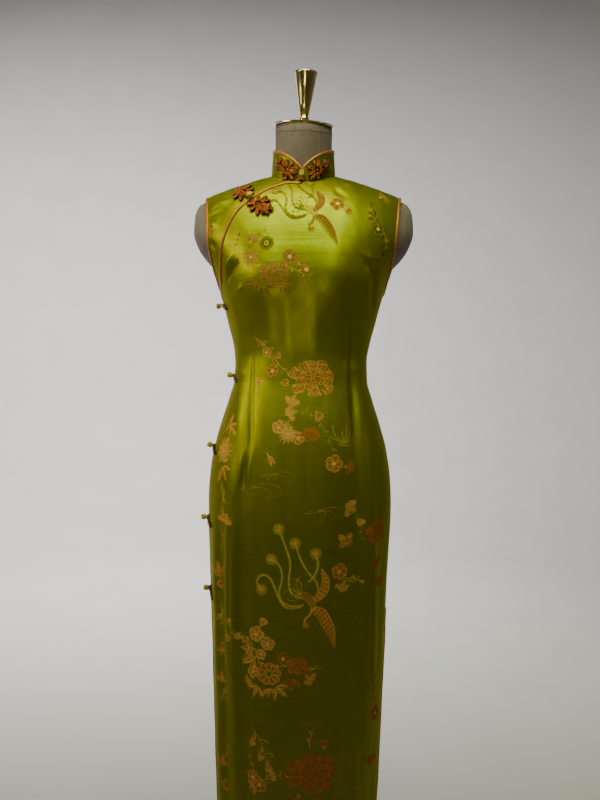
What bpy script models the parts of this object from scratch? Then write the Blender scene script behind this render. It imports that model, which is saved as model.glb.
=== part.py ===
"""A sleeveless cheongsam worn by a limbless dress form on a stand. Metres, +Z up, the front faces -Y.

The garment's cloth lies on one closed body surface. The surface is known in two ways: as a table of
girth sections, from which the rows of the skirt and bodice are measured out, and as a function of a
point that is zero on it, onto which the panels above the waist are pulled. Each piece of cloth is an
open sheet of points on that surface, thickened inwards, and stops a seam's gap short of its neighbours.
"""

import functools
import math

import bmesh
import bpy
import mathutils
import numpy as np

# Heights above the floor
HEM_Z = 0.130
SLIT_TOP_Z = 0.690
GRID_BASE_Z = 1.180  # below this the rows are level, above it they rise to the neck and shoulders
LAPEL_END_Z = 1.230
UNDERLAP_TIP = 0.010  # the underlap's lowest corner lies this far above the lapel's end
UNDERARM_Z = 1.250
CHEST_Z = 1.300  # above this the body curves over towards the shoulder ridge

# Cloth
WALL = 0.0015
SEAM_GAP = 0.0003
BINDING_RADIUS = 0.0020
BINDING_GAP = 0.0004
CURVED_EDGE_EASE = 0.0005  # extra room where a panel's edge curves in round its binding
EDGE_MARGIN = BINDING_RADIUS + BINDING_GAP  # from a binding's centreline to the panel's edge
SEAM_TO_BINDING = BINDING_RADIUS + SEAM_GAP / 2
SLIT_SPREAD = 0.010  # how far each slit stands open at the hem

# Neck and collar: an upright ellipse cut by the body surface gives the neckline
NECK_CENTRE_Y = -0.002
NECKLINE_HALF_WIDTH = 0.0575
NECKLINE_HALF_DEPTH = 0.0610
COLLAR_TAPER = 0.0030  # how much each half narrows up to the top edge
COLLAR_HEIGHT = 0.041
COLLAR_FRONT_HEIGHT = 0.0185  # at the centre front, where the two ends meet
COLLAR_ROUND = 0.0460  # the front ends round off within this distance of the centre
COLLAR_ROUNDNESS = 2.5
COLLAR_LEAN = 0.15  # forward, for each metre of height
COLLAR_GAP = 0.0009  # over the panels' neck edges

# Armhole
SHOULDER_TIP_X = 0.173

# Body sections: height, half width, depth to the front, depth to the back, the side seam's own
# y, and how square the section is (2 is an ellipse)
SECTION_COLUMNS = ("z", "half_width", "front", "back", "seam_y", "squareness")
SECTIONS = (
    (0.130, 0.1345, 0.086, 0.087, 0.000, 2.30),
    (0.376, 0.1430, 0.091, 0.093, 0.000, 2.30),
    (0.592, 0.1520, 0.096, 0.101, 0.000, 2.25),
    (0.700, 0.1557, 0.099, 0.107, 0.000, 2.20),
    (0.790, 0.1600, 0.103, 0.114, 0.000, 2.20),
    (0.880, 0.1632, 0.106, 0.119, 0.000, 2.20),
    (0.930, 0.1602, 0.106, 0.117, 0.000, 2.20),
    (0.970, 0.1540, 0.104, 0.111, 0.000, 2.20),
    (1.024, 0.1395, 0.097, 0.099, 0.000, 2.20),
    (1.060, 0.1280, 0.090, 0.090, 0.000, 2.15),
    (1.096, 0.1182, 0.084, 0.083, 0.000, 2.10),
    (1.130, 0.1172, 0.083, 0.081, 0.000, 2.10),
    (1.160, 0.1215, 0.088, 0.085, 0.001, 2.15),
    (1.200, 0.1320, 0.100, 0.092, 0.002, 2.30),
    (1.244, 0.1440, 0.113, 0.098, 0.004, 2.50),
    (1.270, 0.1530, 0.116, 0.101, 0.006, 2.60),
    (1.300, 0.1680, 0.114, 0.103, 0.008, 2.60),
    (1.330, 0.1890, 0.110, 0.105, 0.010, 2.60),
    (1.362, 0.1990, 0.108, 0.106, 0.010, 2.50),
    (1.480, 0.1995, 0.106, 0.103, 0.010, 2.50),
)

# The shoulder ridge, from the neck's middle to the rounded end of the shoulder
RIDGE_COLUMNS = ("x", "z")
RIDGE = (
    (0.000, 1.4680),
    (0.057, 1.4605),
    (0.100, 1.4490),
    (0.140, 1.4360),
    (0.173, 1.4235),
    (0.187, 1.4130),
    (0.196, 1.3980),
    (0.1995, 1.3750),
    (0.230, 1.3400),
)
RIDGE_ROUNDNESS_FRONT = 2.2
RIDGE_ROUNDNESS_BACK = 2.5

# The bust: two soft rises that the cloth bridges
BUST_X = 0.072
BUST_Z = 1.262
BUST_RISE = 0.008
BUST_SPREAD_X = 0.044
BUST_SPREAD_Z = 0.046

# Armhole edge seen from the front: height and distance from the middle
ARMHOLE_COLUMNS = ("z", "x")
ARMHOLE = (
    (1.266, 0.1495),
    (1.285, 0.1545),
    (1.305, 0.1575),
    (1.330, 0.1605),
    (1.360, 0.1635),
    (1.390, 0.1670),
    (1.410, 0.1700),
)

# Lapel edge seen from the front, from the centre front to the wearer's right side
LAPEL_COLUMNS = ("x", "z")
LAPEL = (
    (-0.0025, 1.4285),
    (-0.0240, 1.4290),
    (-0.0460, 1.4230),
    (-0.0680, 1.4120),
    (-0.0940, 1.3930),
    (-0.1095, 1.3770),
    (-0.1215, 1.3560),
    (-0.1315, 1.3290),
    (-0.1370, 1.3050),
    (-0.1395, 1.2820),
    (-0.1400, 1.2620),
)

# Soft upright folds of the skirt: middle and spread in degrees round the body from the centre front,
# rise of the cloth (negative for a trough), and the heights where the fold begins and is full
FOLD_COLUMNS = ("angle", "spread", "rise", "begin_z", "full_z")
FOLDS = (
    (36.0, 5.0, -0.0035, 1.060, 0.900),
    (47.0, 6.0, 0.0030, 1.000, 0.850),
    (66.0, 6.0, -0.0025, 0.880, 0.740),
    (-35.0, 4.5, -0.0035, 0.980, 0.900),
    (-43.0, 5.0, 0.0025, 0.980, 0.860),
    (-56.0, 5.0, -0.0025, 0.900, 0.780),
    (-67.0, 5.0, 0.0020, 0.860, 0.740),
    (140.0, 8.0, -0.0030, 0.860, 0.650),
    (163.0, 9.0, 0.0030, 0.820, 0.600),
    (194.0, 9.0, -0.0028, 0.820, 0.600),
    (222.0, 8.0, 0.0028, 0.860, 0.650),
)

# Dress form
FORM_BOTTOM_Z = 0.760
FORM_CLEARANCE = 0.0035
FORM_CLEARANCE_ON_RIDGE = 0.0031  # the dress hangs on the shoulders
FORM_CLEARANCE_PAST_ARMHOLE = 0.0005
FORM_NECK_HALF_WIDTH = 0.0503
FORM_NECK_HALF_DEPTH = 0.0533
FORM_NECK_TOP_Z = 1.544
FORM_NECK_FOOT_DROP = 0.0025
NECK_CAP_TILT_FORWARD = math.radians(12.0)
NECK_CAP_TILT_SIDE = math.radians(2.5)
NECK_CAP_RADIUS = 0.0545
NECK_CAP_THICKNESS = 0.0030

# Stand
BASE_RADIUS = 0.170
BASE_HEIGHT = 0.012
POLE_RADIUS = 0.0125
FLANGE_RADIUS = 0.045
FLANGE_HEIGHT = 0.010

# Frogs
FLOWER_THICKNESS = 0.0052
COLLAR_FLOWER_COLUMNS = ("name", "x", "bud_deg", "bud_length")
COLLAR_FLOWERS = (
    ("right", -0.0238, 152.0, 0.0300),
    ("left", 0.0240, 22.0, 0.0255),
)
COLLAR_FLOWER_HEIGHT = 0.0143
COLLAR_FLOWER_RADIUS = 0.0130
COLLAR_FLOWER_EASE = 0.0006  # the collar curves away under the flower's straight facets
LAPEL_FLOWER_COLUMNS = ("name", "x", "z", "bud_deg", "bud_length")
LAPEL_FLOWERS = (
    ("outer", -0.0990, 1.4125, 128.0, 0.0240),
    ("inner", -0.0705, 1.3855, -38.0, 0.0290),
)
LAPEL_FLOWER_RADIUS = 0.0162
LAPEL_BUTTON = (-0.0850, 1.4000)
KNOT_RADIUS = 0.0050
COLLAR_BUTTON_HEIGHT = 0.0098
COLLAR_BUTTON_SINK = 0.0013  # into the groove between the collar's two bound ends
SIDE_FROG_COUNT = 5
SIDE_FROG_TOP_Z = 1.2310
SIDE_FROG_STEP = 0.1276
SIDE_KNOT_RADIUS = 0.0046
SIDE_CORD_RADIUS = 0.0018
SIDE_CORD_GAP = 0.0005
SIDE_FROG_PLACES = (  # the cord's path: forward of the side seam on the front, then behind it on the back
    0.036, 0.027, 0.018, 0.011, 0.007, 0.0043, SEAM_TO_BINDING, 0.0, -0.003, -0.007, -0.014, -0.024, -0.034,
)

# Mesh density
FRONT_COLUMNS = {"lapel": 14, "neck": 7, "shoulder": 4}
BACK_COLUMNS = {"shoulder": 4, "neck": 12}
UNDERLAP_ROWS = {"neck": 6, "shoulder": 4}
UNDERLAP_COLUMNS = 17
LEVEL_ROWS_Z = (
    0.250, 0.370, 0.480, 0.580, 0.650, 0.745, 0.800, 0.850, 0.890, 0.930, 0.970,
    1.010, 1.045, 1.070, 1.090, 1.110, 1.130, 1.155, GRID_BASE_Z,
)
SEAM_ROWS = 3  # from the grid's base to the underarm
ARMHOLE_ROWS = 11
SLIT_RAMP = 0.004  # the panel's edge steps back over this height where a slit begins


# ---------------------------------------------------------------- tables and curves


def column(table, columns, name):
    return np.array([row[columns.index(name)] for row in table])


def monotone(at, knots, values):
    """A smooth curve through a table's values that never overshoots them (Fritsch and Carlson)."""
    step = np.diff(knots)
    rise = np.diff(values) / step
    slope = np.zeros(len(knots))
    slope[0], slope[-1] = rise[0], rise[-1]
    same_way = rise[:-1] * rise[1:] > 0
    before, after = step[:-1], step[1:]
    weight_a, weight_b = 2 * after + before, after + 2 * before
    safe = np.where(same_way, rise[:-1], 1.0), np.where(same_way, rise[1:], 1.0)
    harmonic = (weight_a + weight_b) / (weight_a / safe[0] + weight_b / safe[1])
    slope[1:-1] = np.where(same_way, harmonic, 0.0)
    at = np.clip(at, knots[0], knots[-1])
    i = np.clip(np.searchsorted(knots, at) - 1, 0, len(step) - 1)
    t = (at - knots[i]) / step[i]
    return (
        (1 + 2 * t) * (1 - t) ** 2 * values[i]
        + t * (1 - t) ** 2 * step[i] * slope[i]
        + t * t * (3 - 2 * t) * values[i + 1]
        + t * t * (t - 1) * step[i] * slope[i + 1]
    )


def section(z, name):
    return monotone(z, column(SECTIONS, SECTION_COLUMNS, "z"), column(SECTIONS, SECTION_COLUMNS, name))


def ridge_z(x):
    return monotone(np.abs(x), column(RIDGE, RIDGE_COLUMNS, "x"), column(RIDGE, RIDGE_COLUMNS, "z"))


def smoothstep(low, high, value):
    t = np.clip((value - low) / (high - low), 0, 1)
    return t * t * (3 - 2 * t)


def unit(vectors):
    return vectors / np.maximum(np.linalg.norm(vectors, axis=-1, keepdims=True), 1e-12)


def lengths_along(points):
    return np.concatenate([[0], np.cumsum(np.linalg.norm(np.diff(points, axis=0), axis=1))])


def resample(points, count, crowd=1.0):
    """The same line with this many points, evenly spaced, or closer at its start where crowd is over 1."""
    along = lengths_along(points)
    at = along[-1] * np.linspace(0, 1, count) ** crowd
    return np.stack([np.interp(at, along, points[:, k]) for k in range(3)], axis=1)


def rounded(points, per_span=6):
    """A Catmull-Rom curve through the points."""
    padded = np.vstack([2 * points[0] - points[1], points, 2 * points[-1] - points[-2]])
    made = []
    for a, b, c, d in zip(padded, padded[1:], padded[2:], padded[3:]):
        for t in np.arange(per_span) / per_span:
            made.append(
                0.5 * (
                    2 * b + (c - a) * t + (2 * a - 5 * b + 4 * c - d) * t**2
                    + (3 * b - a - 3 * c + d) * t**3
                )
            )
    return np.vstack([made, points[-1]])


# ---------------------------------------------------------------- the body surface


def body_share(x, z, back):
    """How deep the body is at (x, z), squared, as a share of its full depth there; negative outside it."""
    lateral = 1 - np.abs(x / section(z, "half_width")) ** section(z, "squareness")
    climb = np.maximum(z - CHEST_Z, 0) / (ridge_z(x) - CHEST_Z)
    dome = 1 - climb ** np.where(back, RIDGE_ROUNDNESS_BACK, RIDGE_ROUNDNESS_FRONT)
    return np.where((lateral > 0) & (dome > 0), lateral * dome, np.minimum(lateral, dome))


def body_depth(x, z, back):
    """The full depth from the side seam's y to the front or the back."""
    bust = BUST_RISE * np.exp(
        -(((np.abs(x) - BUST_X) / BUST_SPREAD_X) ** 2) - ((z - BUST_Z) / BUST_SPREAD_Z) ** 2
    )
    seam = section(z, "seam_y")
    return np.where(back, section(z, "back") - seam, section(z, "front") + seam + bust)


def body_value(points):
    """Zero on the body surface, negative inside it."""
    x, y, z = points[..., 0], points[..., 1], points[..., 2]
    seam = section(z, "seam_y")
    back = y > seam
    return ((y - seam) / body_depth(x, z, back)) ** 2 - body_share(x, z, back)


def body_gradient(points):
    small = 2e-5
    steps = np.eye(3) * small
    return np.stack(
        [(body_value(points + s) - body_value(points - s)) / (2 * small) for s in steps], axis=-1
    )


def body_normal(points):
    return unit(body_gradient(points))


def onto_body(points, rounds=12):
    """The points pulled along the surface's own slope until they lie on it."""
    for _ in range(rounds):
        gradient = body_gradient(points)
        size = np.maximum((gradient**2).sum(axis=-1, keepdims=True), 1e-9)
        move = -body_value(points)[..., None] * gradient / size
        longest = np.maximum(np.linalg.norm(move, axis=-1, keepdims=True), 1e-12)
        points = points + move * np.minimum(1, 0.02 / longest)
    return points


def on_section(angle, z):
    """A point at this angle round the body, in degrees from the centre front towards +X."""
    turn = np.radians(angle)
    x = section(z, "half_width") * np.sin(turn)
    back = np.cos(turn) < 0
    depth = body_depth(x, z, back) * np.sqrt(np.maximum(body_share(x, z, back), 0))
    return np.stack([x, section(z, "seam_y") - np.where(back, -depth, depth), z + 0 * x], axis=-1)


def fold_rise(angle, z):
    """How far the folds lift the cloth off the plain section."""
    rise = 0 * angle
    for middle, spread, height, begin_z, full_z in FOLDS:
        away = (angle - middle + 180) % 360 - 180
        rise = rise + height * np.exp(-((away / spread) ** 2)) * smoothstep(begin_z, full_z, z)
    return rise


@functools.lru_cache(maxsize=None)
def girth_line(z, back):
    """The outer face's points along one section, dense, from the -X seam round the front or the back."""
    angle = np.linspace(270, 90, 241) if back else np.linspace(-90, 90, 241)
    points = on_section(angle, np.full(241, float(z)))
    to_seam = np.minimum(np.abs(np.abs(angle) - 90), np.abs(angle - 270))
    rise = fold_rise(angle, z) * smoothstep(0, 12, to_seam)
    outward = points - np.array([0, section(z, "seam_y"), z])
    outward[:, 2] = 0
    return points + unit(outward) * rise[:, None]


def along_girth(z, back, distance):
    """The point this far along the girth line from its -X seam; negative counts from the +X seam."""
    line = girth_line(z, back)
    along = lengths_along(line)
    at = distance if distance >= 0 else along[-1] + distance
    return np.array([np.interp(at, along, line[:, k]) for k in range(3)])


def girth_row(z, back, inset_left, inset_right, count):
    """Evenly spaced points round one level, stopping these distances short of the -X and +X seams."""
    line = girth_line(z, back)
    along = lengths_along(line)
    at = np.linspace(inset_left, along[-1] - inset_right, count)
    return np.stack([np.interp(at, along, line[:, k]) for k in range(3)], axis=1)


def slit_half_opening(z):
    return SLIT_SPREAD / 2 * np.clip((SLIT_TOP_Z - z) / (SLIT_TOP_Z - HEM_Z), 0, 1)


# ---------------------------------------------------------------- edges that lie on the body


def across(points, closed=False):
    """At each point of a line on the body, the direction that lies in the cloth and square to the line."""
    if closed:
        tangent = np.roll(points, -1, axis=0) - np.roll(points, 1, axis=0)
    else:
        tangent = np.gradient(points, axis=0)
    return unit(np.cross(body_normal(points), tangent))


def moved_in_cloth(points, distance, closed=False):
    return onto_body(points + distance * across(points, closed))


def front_part(points):
    """The stretch of a line that lies in front of the side seam and shoulder ridge, with its ends on them."""
    depth = points[:, 1] - section(points[:, 2], "seam_y") + SEAM_GAP / 2
    inside = np.flatnonzero(depth < 0)
    first, last = inside[0], inside[-1]
    kept = [points[first : last + 1]]
    if first > 0:
        t = depth[first - 1] / (depth[first - 1] - depth[first])
        kept.insert(0, (points[first - 1] + t * (points[first] - points[first - 1]))[None])
    if last < len(points) - 1:
        t = depth[last] / (depth[last] - depth[last + 1])
        kept.append((points[last] + t * (points[last + 1] - points[last]))[None])
    return np.vstack(kept)


def back_part(points):
    mirrored = points.copy()
    seam = section(points[:, 2], "seam_y")
    mirrored[:, 1] = 2 * seam - points[:, 1]
    kept = front_part(mirrored)
    kept[:, 1] = 2 * section(kept[:, 2], "seam_y") - kept[:, 1]
    return kept


def from_front_view(x, z):
    """The point of the body's front face that shows at (x, z)."""
    x, z = np.asarray(x, float), np.asarray(z, float)
    depth = body_depth(x, z, False) * np.sqrt(np.maximum(body_share(x, z, False), 0))
    return np.stack([x, section(z, "seam_y") - depth, z], axis=-1)


def armhole_line(side):
    """The closed centreline of an armhole's binding: up the front, over the ridge, down the back."""
    z, x = column(ARMHOLE, ARMHOLE_COLUMNS, "z"), column(ARMHOLE, ARMHOLE_COLUMNS, "x")
    seam = section(z, "seam_y")
    front_depth = seam - from_front_view(x, z)[:, 1]
    back_depth = body_depth(x, z, True) * np.sqrt(np.maximum(body_share(x, z, True), 0))
    front = np.stack([x, seam - front_depth, z], axis=1)
    back = np.stack([x, seam + back_depth, z], axis=1)
    tip = np.array([[SHOULDER_TIP_X, section(1.42, "seam_y"), ridge_z(SHOULDER_TIP_X)]])
    under = np.array([[section(UNDERARM_Z, "half_width"), section(UNDERARM_Z, "seam_y"), UNDERARM_Z]])
    loop = np.vstack([under, front, tip, back[::-1], under])
    dense = onto_body(rounded(loop, 8))[:-1]
    dense = resample(np.vstack([dense, dense[:1]]), 61)[:-1]
    dense = onto_body(dense)
    dense[:, 0] *= side
    return dense


@functools.lru_cache(maxsize=None)
def neckline_point(turn):
    """Where the neck's upright ellipse, at this angle from the centre front, meets the body surface."""
    x = NECKLINE_HALF_WIDTH * math.sin(turn)
    y = NECK_CENTRE_Y - NECKLINE_HALF_DEPTH * math.cos(turn)
    low, high = CHEST_Z, float(ridge_z(np.array(x)))
    for _ in range(60):
        middle = (low + high) / 2
        if body_value(np.array([x, y, middle])) < 0:
            low = middle
        else:
            high = middle
    return np.array([x, y, low])


def neckline(first_deg, last_deg, count):
    return np.array([neckline_point(math.radians(a)) for a in np.linspace(first_deg, last_deg, count)])


def ridge_turn_deg():
    """The angle round the neck at which the neckline crosses the shoulder ridge."""
    seam = float(section(np.array(1.46), "seam_y"))
    return math.degrees(math.acos((NECK_CENTRE_Y - seam) / NECKLINE_HALF_DEPTH))


def shoulder_line(side, back, count):
    """The shoulder seam's edge on one panel, from the neck out to the armhole's binding."""
    seam = float(section(np.array(1.46), "seam_y"))
    neck_x = neckline_point(math.radians(ridge_turn_deg()))[0]
    tip_x = abs(armhole_edge(side, back)[-1][0])
    x = np.linspace(neck_x, tip_x, count)
    y = np.full(count, seam + (SEAM_GAP / 2 if back else -SEAM_GAP / 2))
    return np.stack([side * x, y, ridge_z(x)], axis=1)


def opening_line():
    """The centreline of the opening's binding: the lapel, then down the wearer's right side to the slit."""
    x, z = column(LAPEL, LAPEL_COLUMNS, "x"), column(LAPEL, LAPEL_COLUMNS, "z")
    lapel = from_front_view(x, z)
    turn_in = [along_girth(LAPEL_END_Z + rise, False, SEAM_TO_BINDING + inset)
               for rise, inset in ((0.0165, 0.014), (0.0080, 0.0045))]
    down = [along_girth(height, False, SEAM_TO_BINDING)
            for height in np.linspace(LAPEL_END_Z - 0.004, SLIT_TOP_Z + SEAM_GAP, 28)]
    return rounded(np.vstack([lapel, turn_in, down]), 5)


# ---------------------------------------------------------------- sheets of cloth


def shares_along(points):
    along = lengths_along(points)
    return along / along[-1]


def at_share(points, share):
    """The line's points at these shares of its length."""
    knots = shares_along(points)
    return np.stack([np.interp(share, knots, points[:, k]) for k in range(3)], axis=-1)


def coons(bottom, top, left, right):
    """A grid that fills four edge lines; bottom and top run from left to right, left and right upwards."""
    i = np.linspace(0, 1, len(bottom))[None, :]
    j = np.linspace(0, 1, len(left))[:, None]
    u = (1 - j) * shares_along(bottom) + j * shares_along(top)
    v = (1 - i) * shares_along(left)[:, None] + i * shares_along(right)[:, None]
    across_u, up_v = u[..., None], v[..., None]
    ruled = (
        (1 - up_v) * at_share(bottom, u) + up_v * at_share(top, u)
        + (1 - across_u) * at_share(left, v) + across_u * at_share(right, v)
    )
    corners = (1 - across_u) * ((1 - up_v) * bottom[0] + up_v * top[0]) + across_u * (
        (1 - up_v) * bottom[-1] + up_v * top[-1]
    )
    return ruled - corners


def settled(grid):
    """The grid's inner points pulled onto the body, its edges left where they are."""
    made = grid.copy()
    made[1:-1, 1:-1] = onto_body(grid[1:-1, 1:-1])
    return made


def panel_insets(z, back):
    """How far a panel's edges stop short of the -X and the +X side seam at this height."""
    bound = SEAM_TO_BINDING + EDGE_MARGIN + CURVED_EDGE_EASE
    in_slit = float(smoothstep(SLIT_TOP_Z + SLIT_RAMP, SLIT_TOP_Z, z))
    opened = in_slit * (bound + slit_half_opening(z)) + (1 - in_slit) * SEAM_GAP / 2
    left = opened if back else bound + slit_half_opening(z)
    return left, opened


def level_rows(back, count):
    """The rows from the hem to the grid's base, each from the -X to the +X side."""
    bottom = HEM_Z + BINDING_RADIUS + EDGE_MARGIN + CURVED_EDGE_EASE
    heights = sorted((bottom, *LEVEL_ROWS_Z, SLIT_TOP_Z, SLIT_TOP_Z + SLIT_RAMP))
    return [girth_row(z, back, *panel_insets(z, back), count) for z in heights]


def seam_climb(back, side, top_z, count=12):
    """The side seam's edge of a panel from the grid's base up to this height."""
    inset = panel_insets(GRID_BASE_Z, back)[0 if side < 0 else 1]
    reach = inset if side < 0 else -inset
    return np.array([along_girth(z, back, reach) for z in np.linspace(GRID_BASE_Z, top_z, count)])


def armhole_edge(side, back):
    """A panel's edge along the armhole, from the underarm to the shoulder ridge."""
    ring = moved_in_cloth(armhole_line(1), EDGE_MARGIN + CURVED_EDGE_EASE, closed=True)
    under = int(np.argmin(ring[:, 2]))
    ring = np.roll(ring, 3 - under, axis=0) if not back else np.roll(ring[::-1], 4 + under, axis=0)
    part = back_part(ring) if back else front_part(ring)
    return part * np.array([side, 1, 1])


def side_edge(side, back):
    """A panel's edge up the side seam and round the armhole."""
    armhole = armhole_edge(side, back)
    seam = seam_climb(back, side, armhole[0][2])
    return np.vstack([resample(seam, SEAM_ROWS + 1)[:-1], resample(armhole, ARMHOLE_ROWS + 1, 1.1)])


def front_grid():
    columns = sum(FRONT_COLUMNS.values())
    rows = level_rows(False, columns + 1)
    path = opening_line()
    edge = moved_in_cloth(path, front_side_of(path) * (EDGE_MARGIN + 2 * CURVED_EDGE_EASE))
    corner = int(np.argmin(np.abs(edge[:, 2] - LAPEL_END_Z) + 10 * (np.arange(len(edge)) < 50)))
    lapel = resample(edge[: corner + 1][::-1], FRONT_COLUMNS["lapel"] + 1, 1.35)
    left = edge[corner:]
    left = left[left[:, 2] > GRID_BASE_Z][::-1]
    left = np.vstack([rows[-1][:1], left])
    neck = neckline(3.0, ridge_turn_deg(), FRONT_COLUMNS["neck"])
    shoulder = shoulder_line(1, False, FRONT_COLUMNS["shoulder"] + 1)
    top = np.vstack([lapel, neck[:-1], shoulder])
    left = resample(left, SEAM_ROWS + ARMHOLE_ROWS + 1)
    return np.vstack([np.array(rows[:-1]), settled(coons(rows[-1], top, left, side_edge(1, False)))])


def front_side_of(path):
    """+1 or -1: the way across the opening's line that leads to the front panel."""
    middle = len(path) // 4
    toward = np.array([0.05, 0, -0.05])
    return float(np.sign(across(path)[middle] @ toward))


def underlap_grid():
    path = opening_line()
    edge = moved_in_cloth(path, -front_side_of(path) * (EDGE_MARGIN + CURVED_EDGE_EASE))
    edge = edge[edge[:, 2] > LAPEL_END_Z + UNDERLAP_TIP]
    edge = front_part(edge)[::-1]
    armhole = armhole_edge(-1, False)
    neck = neckline(-3.0, -ridge_turn_deg(), UNDERLAP_ROWS["neck"])
    shoulder = shoulder_line(-1, False, UNDERLAP_ROWS["shoulder"] + 1)
    right = np.vstack([edge[-1:], neck[:-1], shoulder])
    left = resample(np.array([edge[0], armhole[0]]), len(right))
    bottom, top = (resample(line, UNDERLAP_COLUMNS + 1, 1.35) for line in (edge, armhole))
    return settled(coons(bottom, top, left, right))


def back_grid():
    columns = 2 * BACK_COLUMNS["shoulder"] + BACK_COLUMNS["neck"]
    rows = level_rows(True, columns + 1)
    turn = ridge_turn_deg()
    neck = neckline(-turn, -360 + turn, BACK_COLUMNS["neck"] + 1)
    left_shoulder = shoulder_line(-1, True, BACK_COLUMNS["shoulder"] + 1)[::-1]
    right_shoulder = shoulder_line(1, True, BACK_COLUMNS["shoulder"] + 1)
    top = np.vstack([left_shoulder[:-1], neck, right_shoulder[1:]])
    grid = coons(rows[-1], top, side_edge(-1, True), side_edge(1, True))
    return np.vstack([np.array(rows[:-1]), settled(grid)])


def collar_height(turn):
    """The collar's finished height at this angle from the centre front."""
    reach = NECKLINE_HALF_WIDTH * abs(math.sin(turn)) if abs(turn) < math.pi / 2 else COLLAR_ROUND
    share = 1 - (1 - min(1.0, reach / COLLAR_ROUND)) ** COLLAR_ROUNDNESS
    return COLLAR_FRONT_HEIGHT + (COLLAR_HEIGHT - COLLAR_FRONT_HEIGHT) * share


def collar_point(turn, height, outward=0.0):
    """A point of the collar's outer face at this angle from the centre front and height over the neckline."""
    foot = neckline_point(turn)
    narrow = SEAM_GAP + COLLAR_TAPER * height / COLLAR_HEIGHT - outward
    x = (NECKLINE_HALF_WIDTH - narrow) * math.sin(turn)
    y = NECK_CENTRE_Y - COLLAR_LEAN * height - (NECKLINE_HALF_DEPTH - narrow) * math.cos(turn)
    return np.array([x, y, foot[2] + COLLAR_GAP + height])


def collar_grid(columns=40, rows=3):
    """The collar's wall from one front end round the back to the other."""
    start = math.asin((SEAM_TO_BINDING + EDGE_MARGIN + 2 * CURVED_EDGE_EASE) / NECKLINE_HALF_WIDTH)
    share = np.linspace(-1, 1, columns + 1)
    turns = math.pi + (math.pi - start) * share * (0.8 + 0.2 * np.abs(share))
    grid = []
    for turn in turns:
        signed = turn if turn < math.pi else turn - 2 * math.pi
        slope = (collar_height(signed + 0.01) - collar_height(signed - 0.01)) / (0.02 * NECKLINE_HALF_WIDTH)
        top = collar_height(signed) - (EDGE_MARGIN + CURVED_EDGE_EASE) * math.sqrt(1 + slope**2)
        grid.append([collar_point(signed, top * r / rows) for r in range(rows + 1)])
    return np.array(grid).transpose(1, 0, 2)


# ---------------------------------------------------------------- Blender objects


def clear_scene():
    for leftover in list(bpy.data.objects):
        bpy.data.objects.remove(leftover)


def new_collection(name):
    made = bpy.data.collections.new(name)
    bpy.context.scene.collection.children.link(made)
    return made


def new_material(name, colour, roughness, metallic=0.0):
    made = bpy.data.materials.new(name)
    made.use_nodes = True
    shader = made.node_tree.nodes["Principled BSDF"]
    shader.inputs["Base Color"].default_value = (*colour, 1.0)
    shader.inputs["Roughness"].default_value = roughness
    shader.inputs["Metallic"].default_value = metallic
    return made


def new_object(name, data, material, collection):
    made = bpy.data.objects.new(name, data)
    data.materials.append(material)
    collection.objects.link(made)
    return made


def mesh_from(name, points, faces):
    mesh = bpy.data.meshes.new(name)
    mesh.from_pydata([tuple(map(float, p)) for p in points], [], faces)
    mesh.validate()
    mesh.shade_smooth()
    return mesh


def grid_faces(rows, columns, closed=False):
    """Quads between neighbouring rows of points; closed joins the last column to the first."""
    wide = columns if closed else columns - 1
    return [
        (
            r * columns + c, r * columns + (c + 1) % columns,
            (r + 1) * columns + (c + 1) % columns, (r + 1) * columns + c,
        )
        for r in range(rows - 1)
        for c in range(wide)
    ]


def inner_face(grid, seams):
    """The grid moved in by the wall, along the seam's plane where an edge lies on a seam."""
    along_row = np.gradient(grid, axis=1)
    along_column = np.gradient(grid, axis=0)
    normal = unit(np.cross(along_row, along_column))
    flat = normal * np.array([1, 0, 1])
    normal = np.where(seams[..., None], unit(flat), normal)
    return grid - WALL * normal


def cloth_object(name, grid, seams, material, collection):
    """A wall of cloth under a grid of points on its outer face; rows run up, columns to the wearer's left."""
    rows, columns = grid.shape[:2]
    inner = inner_face(grid, seams)
    count = rows * columns
    faces = grid_faces(rows, columns)
    back_faces = [tuple(i + count for i in face[::-1]) for face in faces]
    rim = rim_of(rows, columns)
    walls = [(b, a, a + count, b + count) for a, b in zip(rim, rim[1:] + rim[:1])]
    points = np.vstack([grid.reshape(-1, 3), inner.reshape(-1, 3)])
    return new_object(name, mesh_from(name, points, faces + back_faces + walls), material, collection)


def rim_of(rows, columns):
    """The grid's edge points in order: along the first row, up the last column, and back round."""
    return (
        list(range(columns))
        + [r * columns + columns - 1 for r in range(1, rows)]
        + [(rows - 1) * columns + c for c in range(columns - 2, -1, -1)]
        + [r * columns for r in range(rows - 2, 0, -1)]
    )


def seam_mask(grid):
    """True where an edge point of a body panel lies on a side seam or a shoulder seam."""
    edge = np.zeros(grid.shape[:2], bool)
    edge[0], edge[-1], edge[:, 0], edge[:, -1] = True, True, True, True
    return edge & (np.abs(grid[..., 1] - section(grid[..., 2], "seam_y")) < 0.0008)


def tube_object(name, points, radius, material, collection, closed=False, resolution=1):
    curve = bpy.data.curves.new(name, "CURVE")
    curve.dimensions = "3D"
    curve.bevel_depth = radius
    curve.bevel_resolution = resolution
    curve.use_fill_caps = not closed
    spline = curve.splines.new("POLY")
    spline.points.add(len(points) - 1)
    for spot, place in zip(spline.points, points):
        spot.co = (*map(float, place), 1.0)
    spline.use_cyclic_u = closed
    return new_object(name, curve, material, collection)


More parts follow.
